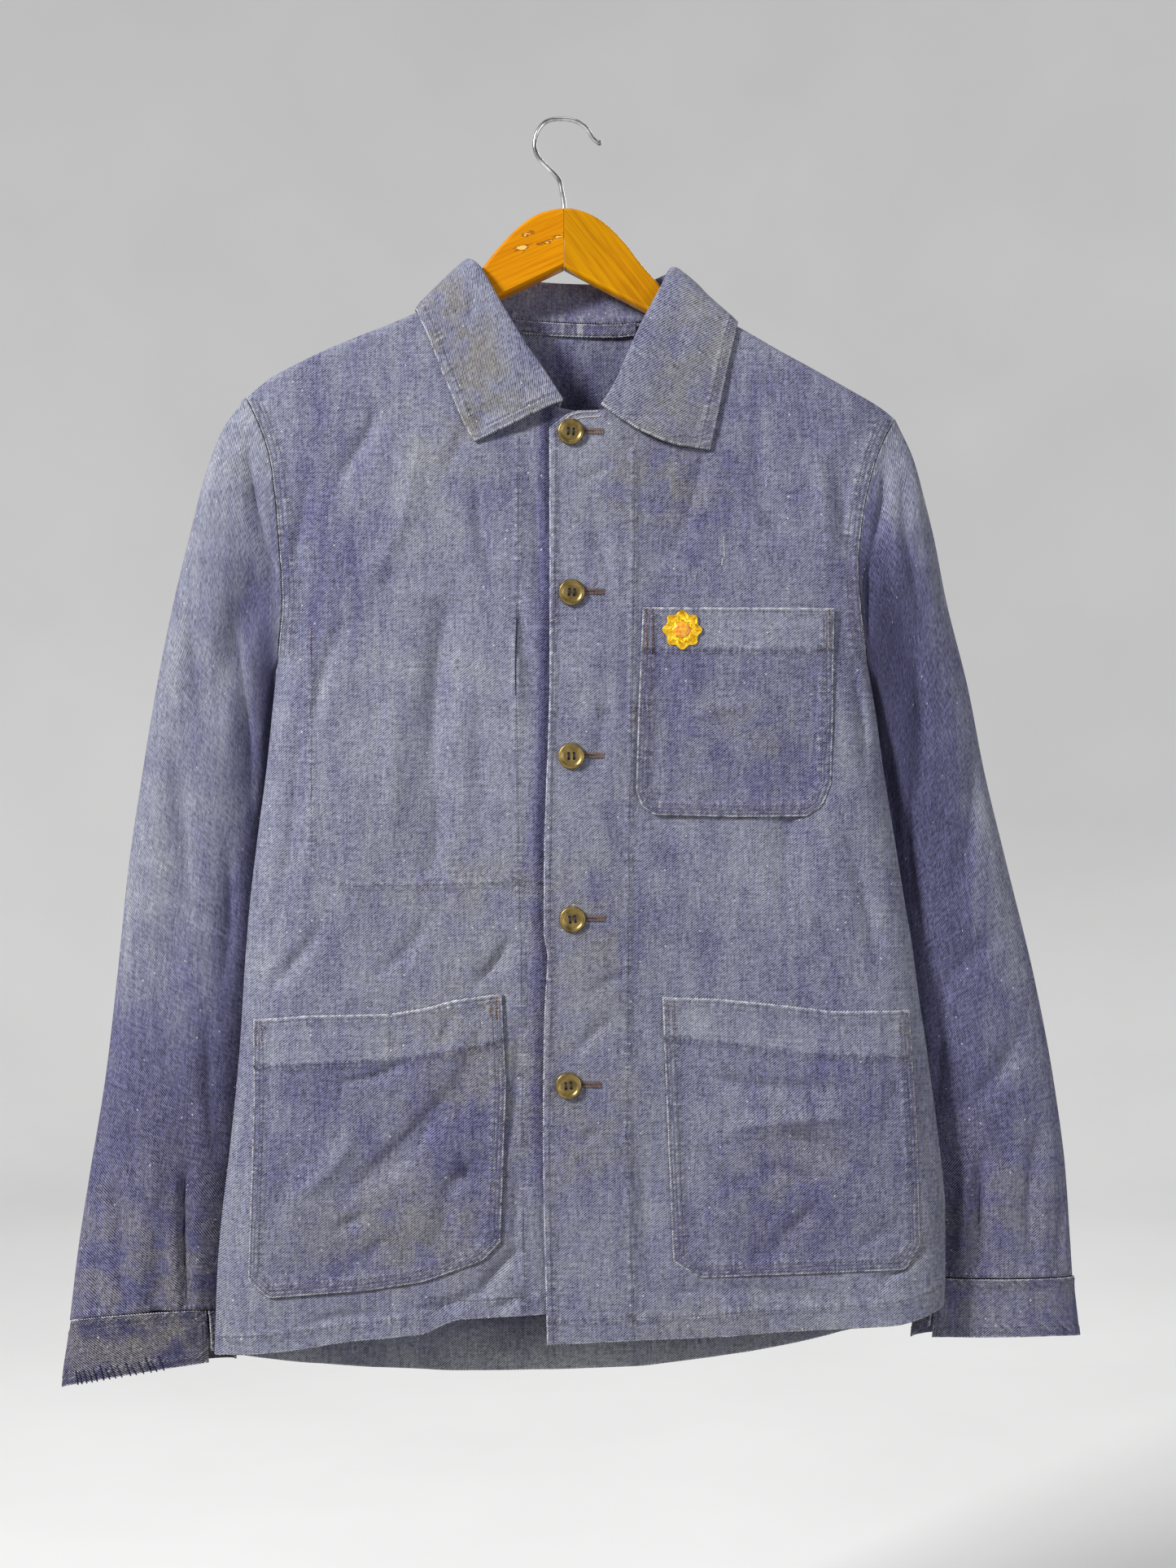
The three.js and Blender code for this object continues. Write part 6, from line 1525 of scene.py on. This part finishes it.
def collarRows(inset=7.0, off=stitch["off"]):
    rows, cols = np.arange(len(collarGrid)), np.arange(len(collarMarks))
    down = np.array([np.interp(inset, toEdge[i][::-1], cols[::-1].astype(float)) for i in rows])
    first = np.interp(inset, collarRun[:, 38], rows)
    last = np.interp(collarRun[-1, 38] - inset, collarRun[:, 38], rows)
    i = np.linspace(first, last, 400)
    lines = [onGridLine(collarGrid, collarNormals, i, np.interp(i, rows, down), off)]
    for end in (first, last):
        js = np.arange(19, down[int(end)], 0.5)
        length = collarRun[-1, :]
        at = [np.interp(inset if end == first else length[int(j)] - inset, collarRun[:, int(j)], rows)
              for j in js]
        lines.append(onGridLine(collarGrid, collarNormals, np.array(at), js, off))
    return lines


def cuffRows(side, places, off=0.2):
    ks = np.linspace(0.012, 0.988, 180)
    lines = []
    for t in places:
        p = cuffPlace(side, np.full_like(ks, t), ks)
        row = ringRow(cuffTables[side], t)
        centre = np.stack([np.full_like(ks, (row[0] + row[2]) / 2), np.full_like(ks, row[4]), p[:, 2]], 1)
        away = p - centre
        away[:, 0] *= 0.18
        lines.append(p + unitRows(away) * off)
    return lines


def bodyRows():
    lines = []
    for name in ("frontRight", "frontLeft", "back"):
        for line in panelLines(name):
            line = np.array(line, float)
            if name == "frontRight":
                line = line[~insideOf(lowerPocketRight, line[:, 0], line[:, 1])]
            if name == "frontLeft":
                hidden = insideOf(lowerPocketLeft, line[:, 0], line[:, 1])
                line = line[~hidden]
            if len(line) > 1:
                lines.append(onPanel(line, name, stitch["off"]))
    return lines


def pocketStitchRows():
    lines = []
    for shapeName, shape in (("lowerPocketRight", lowerPocketRight), ("lowerPocketLeft", lowerPocketLeft),
                             ("chestPocket", chestPocket)):
        lines += [onPocket(row, shapeName) for row in pocketRows(shapeName, shape)[:3]]
    return lines


rowSizes = {key: value for key, value in stitch.items() if key != "off"}
sewn("bodyStitches", bodyRows(), sewnRow, dict(rowSizes, Thread=seamThread))
sewn("pocketStitches", pocketStitchRows(), sewnRow, dict(rowSizes, Seed=6, Thread=seamThread))
sewn("collarStitches", collarRows() + [
    lifted(lambda x, z: bodyDepth(x, z, 1) - bindingCut["behind"] - bindingCut["wall"] - 0.4,
           *(lambda x: (x, through(bindingEdges)(x, 2) + 1.6))(np.linspace(-43, 48, 60)), -0.1)],
     sewnRow, dict(rowSizes, Seed=7, Thread=seamThread))
sewn("cuffStitches", cuffRows(-1, (0.06, 0.2, 0.86)) + cuffRows(1, (0.06, 0.2, 0.86)), sewnRow,
     dict(rowSizes, Seed=8, Thread=seamThread))


def cornerTacks(shapeName, columns):
    # close vertical rows that hold a pocket's top corner
    lines = []
    for x, top, drop in columns:
        z = np.linspace(top - 1.2, top - drop, 14)
        lines.append(onPocket(np.stack([np.full_like(z, x) + 0.25 * np.sin(z), z], 1), shapeName, 0.2))
    return lines


tack = {"Pitch": 0.0021, "Depth": 0.0006, "Across": 0.0009, "Along": 0.0018, "Unevenness": 0.25, "Seed": 9}
sewn("rustTacks", cornerTacks("lowerPocketRight", [
    (-208.6, -617.5, 16), (-204.2, -617.5, 15), (-45.6, -600, 15), (-49.8, -601, 12)])
    + cornerTacks("chestPocket", [(55.6, -338.4, 29), (60, -338.4, 29), (179.8, -338.4, 24)])
    + [onPanel([(-172, -352), (-172, -369)], "frontRight", 0.2),
       onPanel([(48, -406), (47.6, -417)], "frontLeft", 0.2)],
    sewnRow, dict(tack, Thread=rustThread))
sewn("brownTacks", cornerTacks("lowerPocketLeft", [
    (69.6, -602.6, 16), (74, -602.8, 16), (230.6, -611.6, 15), (226.4, -611.4, 15)]),
    sewnRow, dict(tack, Seed=10, Thread=brownThread))


buttonhole = {"from": 6.5, "to": 21.8, "height": 3.6, "droop": 0.6}


def buttonholeLines():
    sides, slits = [], []
    for x, z in buttonPlaces:
        xs = np.linspace(x + buttonhole["from"], x + buttonhole["to"], 24)
        k = np.linspace(0, 1, 24)
        zs = z + 0.9 - buttonhole["droop"] * k
        sides.append(lifted(lambda a, b: panelDepth(a, b, "frontLeft"), xs, zs + 1.0, -0.3))
        sides.append(lifted(lambda a, b: panelDepth(a, b, "frontLeft"), xs, zs - 1.0, -0.3))
        slits.append(lifted(lambda a, b: panelDepth(a, b, "frontLeft"), xs[:-9], zs[:-9], -0.74))
    return sides, slits


holeSides, holeSlits = buttonholeLines()
sewn("buttonholes", holeSides, sewnRow, {
    "Pitch": 0.0008, "Depth": 0.001, "Across": 0.003, "Along": 0.00085, "Unevenness": 0.16, "Seed": 12,
    "Thread": brownThread})
sewn("buttonholeSlits", holeSlits, laidThread, {"Radius": 0.00026, "Thread": navyThread})


def laidOn(lines, name, off):
    return [onPanel(line, name, off) for line in lines]


standRolls = [[(-4.6, -216.6), (-1.4, -212.6), (3.6, -207.4), (9, -205.6), (14.1, -204.9), (23, -204.4)],
              [(-2.6, -219.4), (1.4, -214.8), (5.2, -211.2), (10, -209.2), (15, -208.4), (24, -207.8)]]
sewn("standRolls", laidOn(standRolls, "frontLeft", 0.1), laidThread,
     {"Radius": 0.0006, "Thread": paleThread})
bareThreads = [[(108.4, -289), (108.8, -303)], [(107.4, -304.5), (106.9, -309)],
               [(90, -313.6), (87.8, -321)], [(88.6, -316), (89.2, -320)]]
sewn("bareThreads", laidOn(bareThreads, "frontLeft", 0.02)
     + laidOn([[(-157.6, -476.4), (-157, -478)]], "frontRight", 0)
     + [onPocket([(129.6, -655), (130.4, -657)], "lowerPocketLeft", 0.0)],
     laidThread, {"Radius": 0.00045, "Thread": paleThread})
sewn("facingGap", laidOn([[(-32.2, -345), (-32.9, -372), (-32.8, -398)]], "frontRight", 0.0), laidThread,
     {"Radius": 0.0005, "Thread": navyThread})


def darning():
    # slanting mending threads over the right cuff's worn edge
    lines = []
    rng = np.random.default_rng(14)
    for i in range(15):
        degrees = 40 + i * 4.6 + rng.uniform(-0.8, 0.8)
        k = (degrees - cuffCut["slit"][-1]) / 360 % 1
        t = np.linspace(1.02, 0.8 + rng.uniform(-0.05, 0.05), 7)
        ks = (k + np.linspace(0, -0.012, 7)) % 1
        p = cuffPlace(-1, np.minimum(t, 1), ks)
        p[:, 2] -= np.maximum(t - 1, 0) * 40
        p[:, 1] -= 0.45 * np.sin(np.linspace(0.15, np.pi - 0.15, 7)) + 0.1
        lines.append(p)
    return lines


sewn("cuffDarning", darning(), laidThread, {"Radius": 0.0005, "Thread": navyThread})
print("stitching made")


board = {"front": -7.0, "back": 7.0, "edgeRound": 2.4, "mitre": -0.6, "mitreGap": 0.15, "drop": 3.1}
hookSizes = {"radius": 1.5, "ball": 1.95, "sides": 16, "step": 0.8}
buttonSizes = {"around": 64, "holeRadius": 0.95, "holePitch": 3.6}
buttonProfile = [  # radius, height off the cloth
    (0.0, 0.2), (7.4, 0.2), (8.6, 0.6), (9.0, 1.3), (9.0, 2.0), (8.7, 2.8), (8.1, 3.2), (7.5, 3.3),
    (7.0, 3.15), (6.4, 2.7), (5.8, 2.4), (4.6, 2.3), (2.4, 2.3), (0.0, 2.3),
]
rosette = {"radius": 13.5, "lobe": 1.1, "lobes": 8, "dome": 0.4}


def curveOf(points, step):
    # rounded line through the points, about one step between samples
    p = np.array(points, float)
    p = np.vstack([2 * p[0] - p[1], p, 2 * p[-1] - p[-2]])
    out = []
    for a, b, c, d in zip(p[:-3], p[1:-2], p[2:-1], p[3:]):
        count = max(2, int(np.linalg.norm(c - b) / step))
        k = np.linspace(0, 1, count, endpoint=False)[:, None]
        out.append(0.5 * (2 * b + (c - a) * k + (2 * a - 5 * b + 4 * c - d) * k ** 2
                          + (3 * b - a - 3 * c + d) * k ** 3))
    return np.vstack(out + [p[-2:-1]])


flakeSpots = [(-30, -89.5, 9, 4), (-12.5, -85, 9, 3.4), (-3.5, -81, 6, 3), (-24.5, -79.5, 7, 3)]  # x, z, size


def woodMaterial(name, light, deep, grainTurn):
    material, tree, shader = newMaterial(name)
    place = node(tree, "ShaderNodeTexCoord").outputs["Object"]
    turned = node(tree, "ShaderNodeMapping", {0: place, "Rotation": (0, grainTurn, 0)}).outputs[0]
    grain = stretched(tree, turned, (14, 40, 420), 4.0, 0.6)
    pores = stretched(tree, turned, (60, 300, 1500), 2.0)
    colour = ramp(tree, calc(tree, "MULTIPLY_ADD", pores, 0.25, calc(tree, "MULTIPLY", grain, 0.75)),
                  [(0.3, srgb(*deep)), (0.62, srgb(*light))])
    broad = noise(tree, place, 26.0, 2.0)
    colour = blend(tree, calc(tree, "MULTIPLY", fade(tree, broad, 0.42, 0.68), 0.3), colour, srgb(206, 138, 4))
    # varnish flaked off in a few places, brown at the flakes' rims
    split = node(tree, "ShaderNodeSeparateXYZ", {0: place})
    x, z = split.outputs[0], split.outputs[2]
    flakes = stretched(tree, place, (120, 120, 330), 3.0, 0.7)
    near = -1.0
    for spotX, spotZ, wide, tall in flakeSpots:
        dx = calc(tree, "DIVIDE", calc(tree, "SUBTRACT", x, spotX / 1000), wide / 1000)
        dz = calc(tree, "DIVIDE", calc(tree, "SUBTRACT", calc(tree, "MULTIPLY_ADD", x, -0.35, z),
                                       (spotZ - 0.35 * spotX) / 1000), tall / 1000)
        reach = calc(tree, "MULTIPLY_ADD", dx, dx, calc(tree, "MULTIPLY", dz, dz))
        near = calc(tree, "MAXIMUM", near, calc(tree, "SUBTRACT", 1.0, reach))
    scar = fade(tree, calc(tree, "ADD", calc(tree, "MULTIPLY", near, 0.3), flakes), 0.81, 0.84)
    rim = fade(tree, calc(tree, "ADD", calc(tree, "MULTIPLY", near, 0.3), flakes), 0.66, 0.8)
    colour = blend(tree, calc(tree, "MULTIPLY", rim, 0.8), colour, srgb(104, 52, 18))
    colour = blend(tree, scar, colour, srgb(236, 184, 96))
    tree.links.new(colour, shader.inputs["Base Color"])
    height = calc(tree, "MULTIPLY_ADD", scar, -0.6, grain)
    bump = node(tree, "ShaderNodeBump", {"Height": height, "Distance": 0.0004, "Strength": 0.5})
    tree.links.new(bump.outputs[0], shader.inputs["Normal"])
    tree.links.new(calc(tree, "MULTIPLY_ADD", scar, 0.35, 0.34), shader.inputs["Roughness"])
    shader.inputs["Specular IOR Level"].default_value = 0.12
    shader.inputs["Coat Weight"].default_value = 0.03
    shader.inputs["Coat Roughness"].default_value = 0.3
    return material


def metalMaterial(name, light, dark, roughness, scale):
    material, tree, shader = newMaterial(name)
    place = node(tree, "ShaderNodeTexCoord").outputs["Object"]
    wear = noise(tree, place, scale, 4.0, 0.6)
    tree.links.new(ramp(tree, wear, [(0.36, srgb(*dark)), (0.62, srgb(*light))]), shader.inputs["Base Color"])
    tree.links.new(calc(tree, "MULTIPLY_ADD", wear, 0.16, roughness), shader.inputs["Roughness"])
    shader.inputs["Metallic"].default_value = 1.0
    return material


def buttonMaterial():
    material, tree, shader = newMaterial("olivePlastic")
    place = node(tree, "ShaderNodeTexCoord").outputs["Object"]
    cloud = noise(tree, place, 160.0, 3.0, 0.6)
    tree.links.new(ramp(tree, cloud, [(0.3, srgb(88, 72, 38)), (0.7, srgb(142, 122, 72))]),
                   shader.inputs["Base Color"])
    tree.links.new(calc(tree, "MULTIPLY_ADD", cloud, 0.2, 0.24), shader.inputs["Roughness"])
    shader.inputs["Metallic"].default_value = 0.72
    return material


woodLeft = woodMaterial("varnishedWoodOrange", (210, 138, 0), (176, 98, 0), math.radians(24))
woodRight = woodMaterial("varnishedWoodYellow", (196, 136, 0), (160, 98, 0), math.radians(-52))
hookMetal = metalMaterial("hookPlating", (214, 214, 216), (120, 120, 122), 0.16, 60.0)
giltMetal = metalMaterial("giltMetal", (250, 206, 60), (206, 146, 20), 0.3, 300.0)
buttonPlastic = buttonMaterial()
enamelRed, enamelTree, enamelShader = newMaterial("enamelRed")
enamelTree.links.new(ramp(enamelTree, noise(enamelTree, node(enamelTree, "ShaderNodeTexCoord").outputs["Object"],
                                            500.0), [(0.3, srgb(214, 92, 24)), (0.7, srgb(240, 190, 60))]),
                     enamelShader.inputs["Base Color"])
enamelShader.inputs["Roughness"].default_value = 0.2


def boardHalf(side):
    # one half of the flat board, its edges rounded, mitred at the middle
    top = curveOf(crown, 2.0)
    mitreX = board["mitre"] + side * board["mitreGap"]
    low = {-1: -195.5, 1: -209.2}[side]
    if side < 0:
        shoulder = np.linspace(-193, -80, 30)
        ends = [(-199, low + 9), (-196, low + 1.5), (-188, low + 4.5)]
    else:
        shoulder = np.linspace(199, 88, 30)
        ends = [(205, low + 9), (202, low + 1.5), (194, low + 5)]
    crest = top[(top[:, 0] - mitreX) * side > 0.4]
    crest = crest if side < 0 else crest[::-1]
    ridge = [(mitreX, float(np.interp(mitreX, top[:, 0], top[:, 1])))]
    outline = [tuple(p) for p in np.stack([shoulder, shoulderAt(shoulder) - board["drop"]], 1)]
    outline += [tuple(p) for p in crest] + ridge + [(mitreX, -102.3)] + ends[::-1]
    mesh = bmesh.new()
    front = [mesh.verts.new((x * 0.001, board["front"] * 0.001, z * 0.001)) for x, z in outline]
    face = mesh.faces.new(front)
    grown = bmesh.ops.extrude_face_region(mesh, geom=[face])
    moved = [v for v in grown["geom"] if isinstance(v, bmesh.types.BMVert)]
    bmesh.ops.translate(mesh, verts=moved, vec=(0, (board["back"] - board["front"]) * 0.001, 0))
    bmesh.ops.recalc_face_normals(mesh, faces=mesh.faces)
    rims = [e for e in mesh.edges if abs(e.verts[0].co.y - e.verts[1].co.y) < 1e-6
            and not all(abs(v.co.x - mitreX * 0.001) < 1e-5 for v in e.verts)]
    bmesh.ops.bevel(mesh, geom=rims, offset=board["edgeRound"] * 0.001, segments=4, profile=0.5,
                    affect="EDGES", clamp_overlap=True)
    bmesh.ops.triangulate(mesh, faces=[f for f in mesh.faces if len(f.verts) > 4])
    name = "hangerHalfRight" if side < 0 else "hangerHalfLeft"
    made = bpy.data.meshes.new(name)
    mesh.to_mesh(made)
    mesh.free()
    obj = placed(name, made, woodLeft if side < 0 else woodRight, False)
    for polygon in made.polygons:
        polygon.use_smooth = abs(polygon.normal.y) < 0.995
    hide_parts("hanger_right" if side < 0 else "hanger_left")
    return obj


def tubeAlong(points, radius, sides):
    # ring of points round every point of a flat line, its cap points closed
    tangent = np.gradient(points, axis=0)
    tangent /= np.linalg.norm(tangent, axis=1, keepdims=True)
    across = np.stack([-tangent[:, 2], np.zeros(len(points)), tangent[:, 0]], 1)
    turn = np.linspace(0, 2 * np.pi, sides, endpoint=False)
    radius = np.broadcast_to(radius, len(points))[:, None, None]
    ring = (np.cos(turn)[None, :, None] * across[:, None, :]
            + np.sin(turn)[None, :, None] * np.array([0, 1, 0])[None, None, :])
    return points[:, None, :] + ring * radius


def ringFaces(rows, count):
    # quads between neighbouring rings and a cap at each end
    faces = []
    for j in range(rows - 1):
        low, high = j * count, (j + 1) * count
        faces += [(low + i, low + (i + 1) % count, high + (i + 1) % count, high + i) for i in range(count)]
    return faces + [tuple(range(count))[::-1], tuple((rows - 1) * count + i for i in range(count))]


def lathe(name, rings, material):
    # closed mesh from a grid of rings
    rows, count = rings.shape[:2]
    points = rings.reshape(-1, 3) * 0.001
    mesh = bpy.data.meshes.new(name)
    mesh.from_pydata(points.tolist(), [], ringFaces(rows, count))
    bm = bmesh.new()
    bm.from_mesh(mesh)
    bmesh.ops.recalc_face_normals(bm, faces=bm.faces)
    bm.to_mesh(mesh)
    bm.free()
    return placed(name, mesh, material)


def hookWire():
    line = curveOf([(-0.6, -81.4), (-0.6, -69.7)] + list(hookPath), hookSizes["step"])
    points = np.stack([line[:, 0], np.zeros(len(line)), line[:, 1]], 1)
    length = np.concatenate([[0], np.cumsum(np.linalg.norm(np.diff(points, axis=0), axis=1))])
    radius = np.full(len(points), hookSizes["radius"])
    fromEnd = length[-1] - length
    ball = np.sqrt(np.maximum(hookSizes["ball"] ** 2 - (fromEnd - hookSizes["ball"] * 0.8) ** 2, 0))
    radius = np.maximum(np.where(fromEnd < 0.7, ball, np.maximum(radius, ball)), 0.3)
    radius[0] = 1.2
    obj = lathe("hookWire", tubeAlong(points, radius, hookSizes["sides"]), hookMetal)
    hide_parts("hook")
    return obj


boardHalf(-1)
boardHalf(1)
hookWire()


def buttonMesh():
    turn = np.linspace(0, 2 * np.pi, buttonSizes["around"], endpoint=False)
    rows = buttonProfile[1:-1]
    points = [(r * math.cos(a), -h, r * math.sin(a)) for r, h in rows for a in turn]
    mesh = bpy.data.meshes.new("buttonBlank")
    mesh.from_pydata((np.array(points) * 0.001).tolist(), [], ringFaces(len(rows), len(turn)))
    blank = bpy.data.objects.new("buttonBlank", mesh)
    bpy.context.scene.collection.objects.link(blank)
    drill = bmesh.new()
    hole = buttonSizes["holeRadius"] * 0.001
    for sx in (-0.5, 0.5):
        for sz in (-0.5, 0.5):
            at = Vector((sx * buttonSizes["holePitch"], -1.5, sz * buttonSizes["holePitch"])) * 0.001
            made = bmesh.ops.create_cone(drill, cap_ends=True, segments=20, radius1=hole, radius2=hole,
                                         depth=0.006)
            bmesh.ops.rotate(drill, verts=made["verts"], matrix=Matrix.Rotation(math.pi / 2, 3, "X"))
            bmesh.ops.translate(drill, verts=made["verts"], vec=at)
    cutter = bpy.data.meshes.new("buttonDrill")
    drill.to_mesh(cutter)
    drill.free()
    bits = bpy.data.objects.new("buttonDrill", cutter)
    bpy.context.scene.collection.objects.link(bits)
    modifier = blank.modifiers.new("holes", "BOOLEAN")
    modifier.operation, modifier.object, modifier.solver = "DIFFERENCE", bits, "EXACT"
    result = bpy.data.meshes.new_from_object(blank.evaluated_get(bpy.context.evaluated_depsgraph_get()))
    bpy.data.objects.remove(blank)
    bpy.data.objects.remove(bits)
    return result


def buttonsAndThread():
    blank = buttonMesh()
    threads = []
    for number, (x, z) in enumerate(buttonPlaces):
        near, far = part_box("button_%d" % (number + 1))
        centre = Vector(((near.x + far.x) / 2, far.y, (near.z + far.z) / 2))
        rng = np.random.default_rng(40 + number)
        turn = (Matrix.Translation(centre) @ Matrix.Rotation(rng.uniform(-0.03, 0.03), 4, "X")
                @ Matrix.Rotation(rng.uniform(-0.16, 0.16), 4, "Y"))
        mesh = blank.copy()
        mesh.transform(turn)
        obj = placed("frontButton%d" % (number + 1), mesh, buttonPlastic)
        for polygon in mesh.polygons:
            polygon.use_smooth = len(polygon.vertices) < 5
        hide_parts("button_%d" % (number + 1))
        half = buttonSizes["holePitch"] / 2000
        for sx in (-1, 1):
            for shift in (-0.0003, 0.0, 0.0003):
                arch = [(sx * half + shift, h, k * half) for k, h in
                        ((-1, -0.0012), (-0.8, -0.0025), (-0.3, -0.0030), (0.3, -0.0030), (0.8, -0.0025),
                         (1, -0.0012))]
                threads.append([tuple(v * 1000 for v in turn @ Vector(p)) for p in arch])
    sewn("buttonThread", threads, laidThread, {"Radius": 0.0003, "Thread": navyThread})


buttonsAndThread()


def rosettePin():
    near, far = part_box("pin_badge")
    centre = np.array([(near.x + far.x) / 2, far.y, (near.z + far.z) / 2]) * 1000
    turn = np.linspace(0, 2 * np.pi, 192, endpoint=False)
    lobes = rosette["lobes"]
    edge = rosette["radius"] - rosette["lobe"] + rosette["lobe"] * np.cos(lobes * turn)
    rings = [np.stack([edge * 0.97 * np.cos(turn), np.full_like(turn, -0.1), edge * 0.97 * np.sin(turn)], 1)]
    for k in [1.0, 0.985, 0.96, 0.92, 0.88, 0.84, 0.8, 0.76, 0.72, 0.68, 0.64, 0.6, 0.57, 0.54, 0.51, 0.48,
              0.45, 0.42, 0.3, 0.15, 0.02]:
        swell = np.sin(np.pi * np.clip((k - 0.62) / 0.38, 0, 1)) ** 0.6
        petal = 0.55 * np.abs(np.cos(lobes / 2 * turn)) ** 0.5 * swell
        groove = np.exp(-(((turn * lobes / np.pi + 1) % 2 - 1) / 0.16) ** 2)
        vein = -0.18 * groove * np.clip((k - 0.62) / 0.2, 0, 1)
        beads = 0.5 * np.exp(-((k - 0.58) / 0.035) ** 2) * (0.55 + 0.45 * np.cos(32 * turn))
        inner = 0.5 * np.exp(-((k - 0.45) / 0.03) ** 2)
        rimUp = 0.22 * np.exp(-((k - 0.985) / 0.02) ** 2)
        height = 0.75 + petal + vein + beads + inner + rimUp
        height = height * np.clip((1.004 - k) / 0.01, 0.25, 1)
        rings.append(np.stack([edge * k * np.cos(turn), -height, edge * k * np.sin(turn)], 1))
    plate = lathe("rosettePlate", np.stack(rings) + centre, giltMetal)
    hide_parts("pin_badge")
    spot = []
    base = rosette["radius"] * rosette["dome"]
    for a in np.linspace(0, 0.5 * np.pi * 0.98, 10):
        r, h = base * math.cos(a), 0.9 + 1.25 * math.sin(a)
        wave = 1 + 0.02 * np.cos(16 * turn)
        spot.append(np.stack([r * wave * np.cos(turn), np.full_like(turn, -h), r * wave * np.sin(turn)], 1))
    lathe("rosetteCentre", np.stack(spot)[:, ::4] + centre, enamelRed)


rosettePin()
print("hanger, hook, buttons and pin made")


stageLook = {"floorZ": -1.25, "cameraAt": (0.016, -1.43, -0.4576), "lens": 47.55}


def areaLight(name, at, target, size, power, colour=(1, 1, 1)):
    light = bpy.data.lights.new(name, "AREA")
    light.shape = "RECTANGLE"
    light.size, light.size_y = size
    light.energy = power
    light.color = colour
    obj = bpy.data.objects.new(name, light)
    bpy.context.scene.collection.objects.link(obj)
    obj.location = at
    obj.rotation_euler = (Vector(target) - Vector(at)).to_track_quat("-Z", "Y").to_euler()
    obj.visible_camera = False
    return obj


def roundStudio():
    # pale floor that curves up into a round wall, open above
    profile = [(0, 0), (1.2, 0), (2.6, 0)]
    profile += [(2.6 + 1.2 * math.sin(a), 1.2 - 1.2 * math.cos(a)) for a in np.radians(np.linspace(10, 90, 9))]
    profile += [(3.8, 3.4)]
    turns = 96
    points = [(r * math.cos(t), r * math.sin(t), stageLook["floorZ"] + h)
              for r, h in profile[1:] for t in np.linspace(0, 2 * math.pi, turns, endpoint=False)]
    points.append((0, 0, stageLook["floorZ"]))
    faces = [[len(points) - 1, i, (i + 1) % turns] for i in range(turns)]
    for j in range(len(profile) - 2):
        near, far = j * turns, (j + 1) * turns
        faces += [[near + i, far + i, far + (i + 1) % turns, near + (i + 1) % turns] for i in range(turns)]
    mesh = bpy.data.meshes.new("studio")
    mesh.from_pydata(points, [], faces)
    mesh.polygons.foreach_set("use_smooth", np.ones(len(mesh.polygons), bool))
    material, tree, shader = newMaterial("studioPlaster")
    grain = noise(tree, node(tree, "ShaderNodeTexCoord").outputs["Object"], 3.0, 3.0)
    tree.links.new(ramp(tree, grain, [(0.3, srgb(231, 231, 230)), (0.7, srgb(236, 236, 235))]),
                   shader.inputs["Base Color"])
    shader.inputs["Roughness"].default_value = 0.9
    mesh.materials.append(material)
    obj = bpy.data.objects.new("studio", mesh)
    bpy.context.scene.collection.objects.link(obj)
    obj.visible_diffuse = False


roundStudio()
areaLight("keyLight", (-2.5, -2.0, 1.35), (0, 0, -0.5), (0.7, 0.7), 178)
areaLight("fillLight", (1.9, -2.1, -0.5), (0, 0, -0.6), (1.2, 1.2), 24)
areaLight("topLight", (0.1, -0.5, 2.2), (0, 0, -0.4), (0.8, 0.8), 8)
areaLight("backLight", (0.9, 2.4, 1.2), (0, 0, -0.45), (1.2, 1.2), 30)
world = bpy.data.worlds.new("paleRoom")
world.use_nodes = True
world.node_tree.nodes["Background"].inputs[0].default_value = (0.9, 0.9, 0.92, 1)
world.node_tree.nodes["Background"].inputs[1].default_value = 0.28
bpy.context.scene.world = world
bpy.context.scene.view_settings.view_transform = "Standard"
camera = bpy.data.cameras.new("photoCamera")
camera.sensor_width, camera.lens = 36, stageLook["lens"]
cameraObject = bpy.data.objects.new("photoCamera", camera)
bpy.context.scene.collection.objects.link(cameraObject)
cameraObject.location = stageLook["cameraAt"]
cameraObject.rotation_euler = (math.pi / 2, 0, 0)
bpy.context.scene.camera = cameraObject
print("stage made")


sheetSizes = {  # width, length and area of each piece of cloth
    "frontRight": (bodyRight, 0.315, 0.695, 0.182), "frontLeft": (bodyLeft, 0.33, 0.68, 0.186),
    "back": (bodyBack, 0.53, 0.78, 0.352), "sleeveRight": (armRight, 0.29, 0.66, 0.142),
    "sleeveLeft": (armLeft, 0.29, 0.62, 0.134), "cuffRight": (bandRight, 0.25, 0.046, 0.0112),
    "cuffLeft": (bandLeft, 0.25, 0.046, 0.0112), "collar": (turnedCollar, 0.47, 0.085, 0.037),
    "neckBinding": (stripInside, 0.097, 0.012, 0.0011), "pocketRight": (pocketRight, 0.175, 0.2, 0.032),
    "pocketLeft": (pocketLeft, 0.175, 0.19, 0.031), "pocketChest": (pocketChest, 0.135, 0.145, 0.0185),
    "innerBag": (bagInside, 0.186, 0.182, 0.033),
}
for pieceName, (piece, width, length, area) in sheetSizes.items():
    print("sheet", pieceName, "declared")
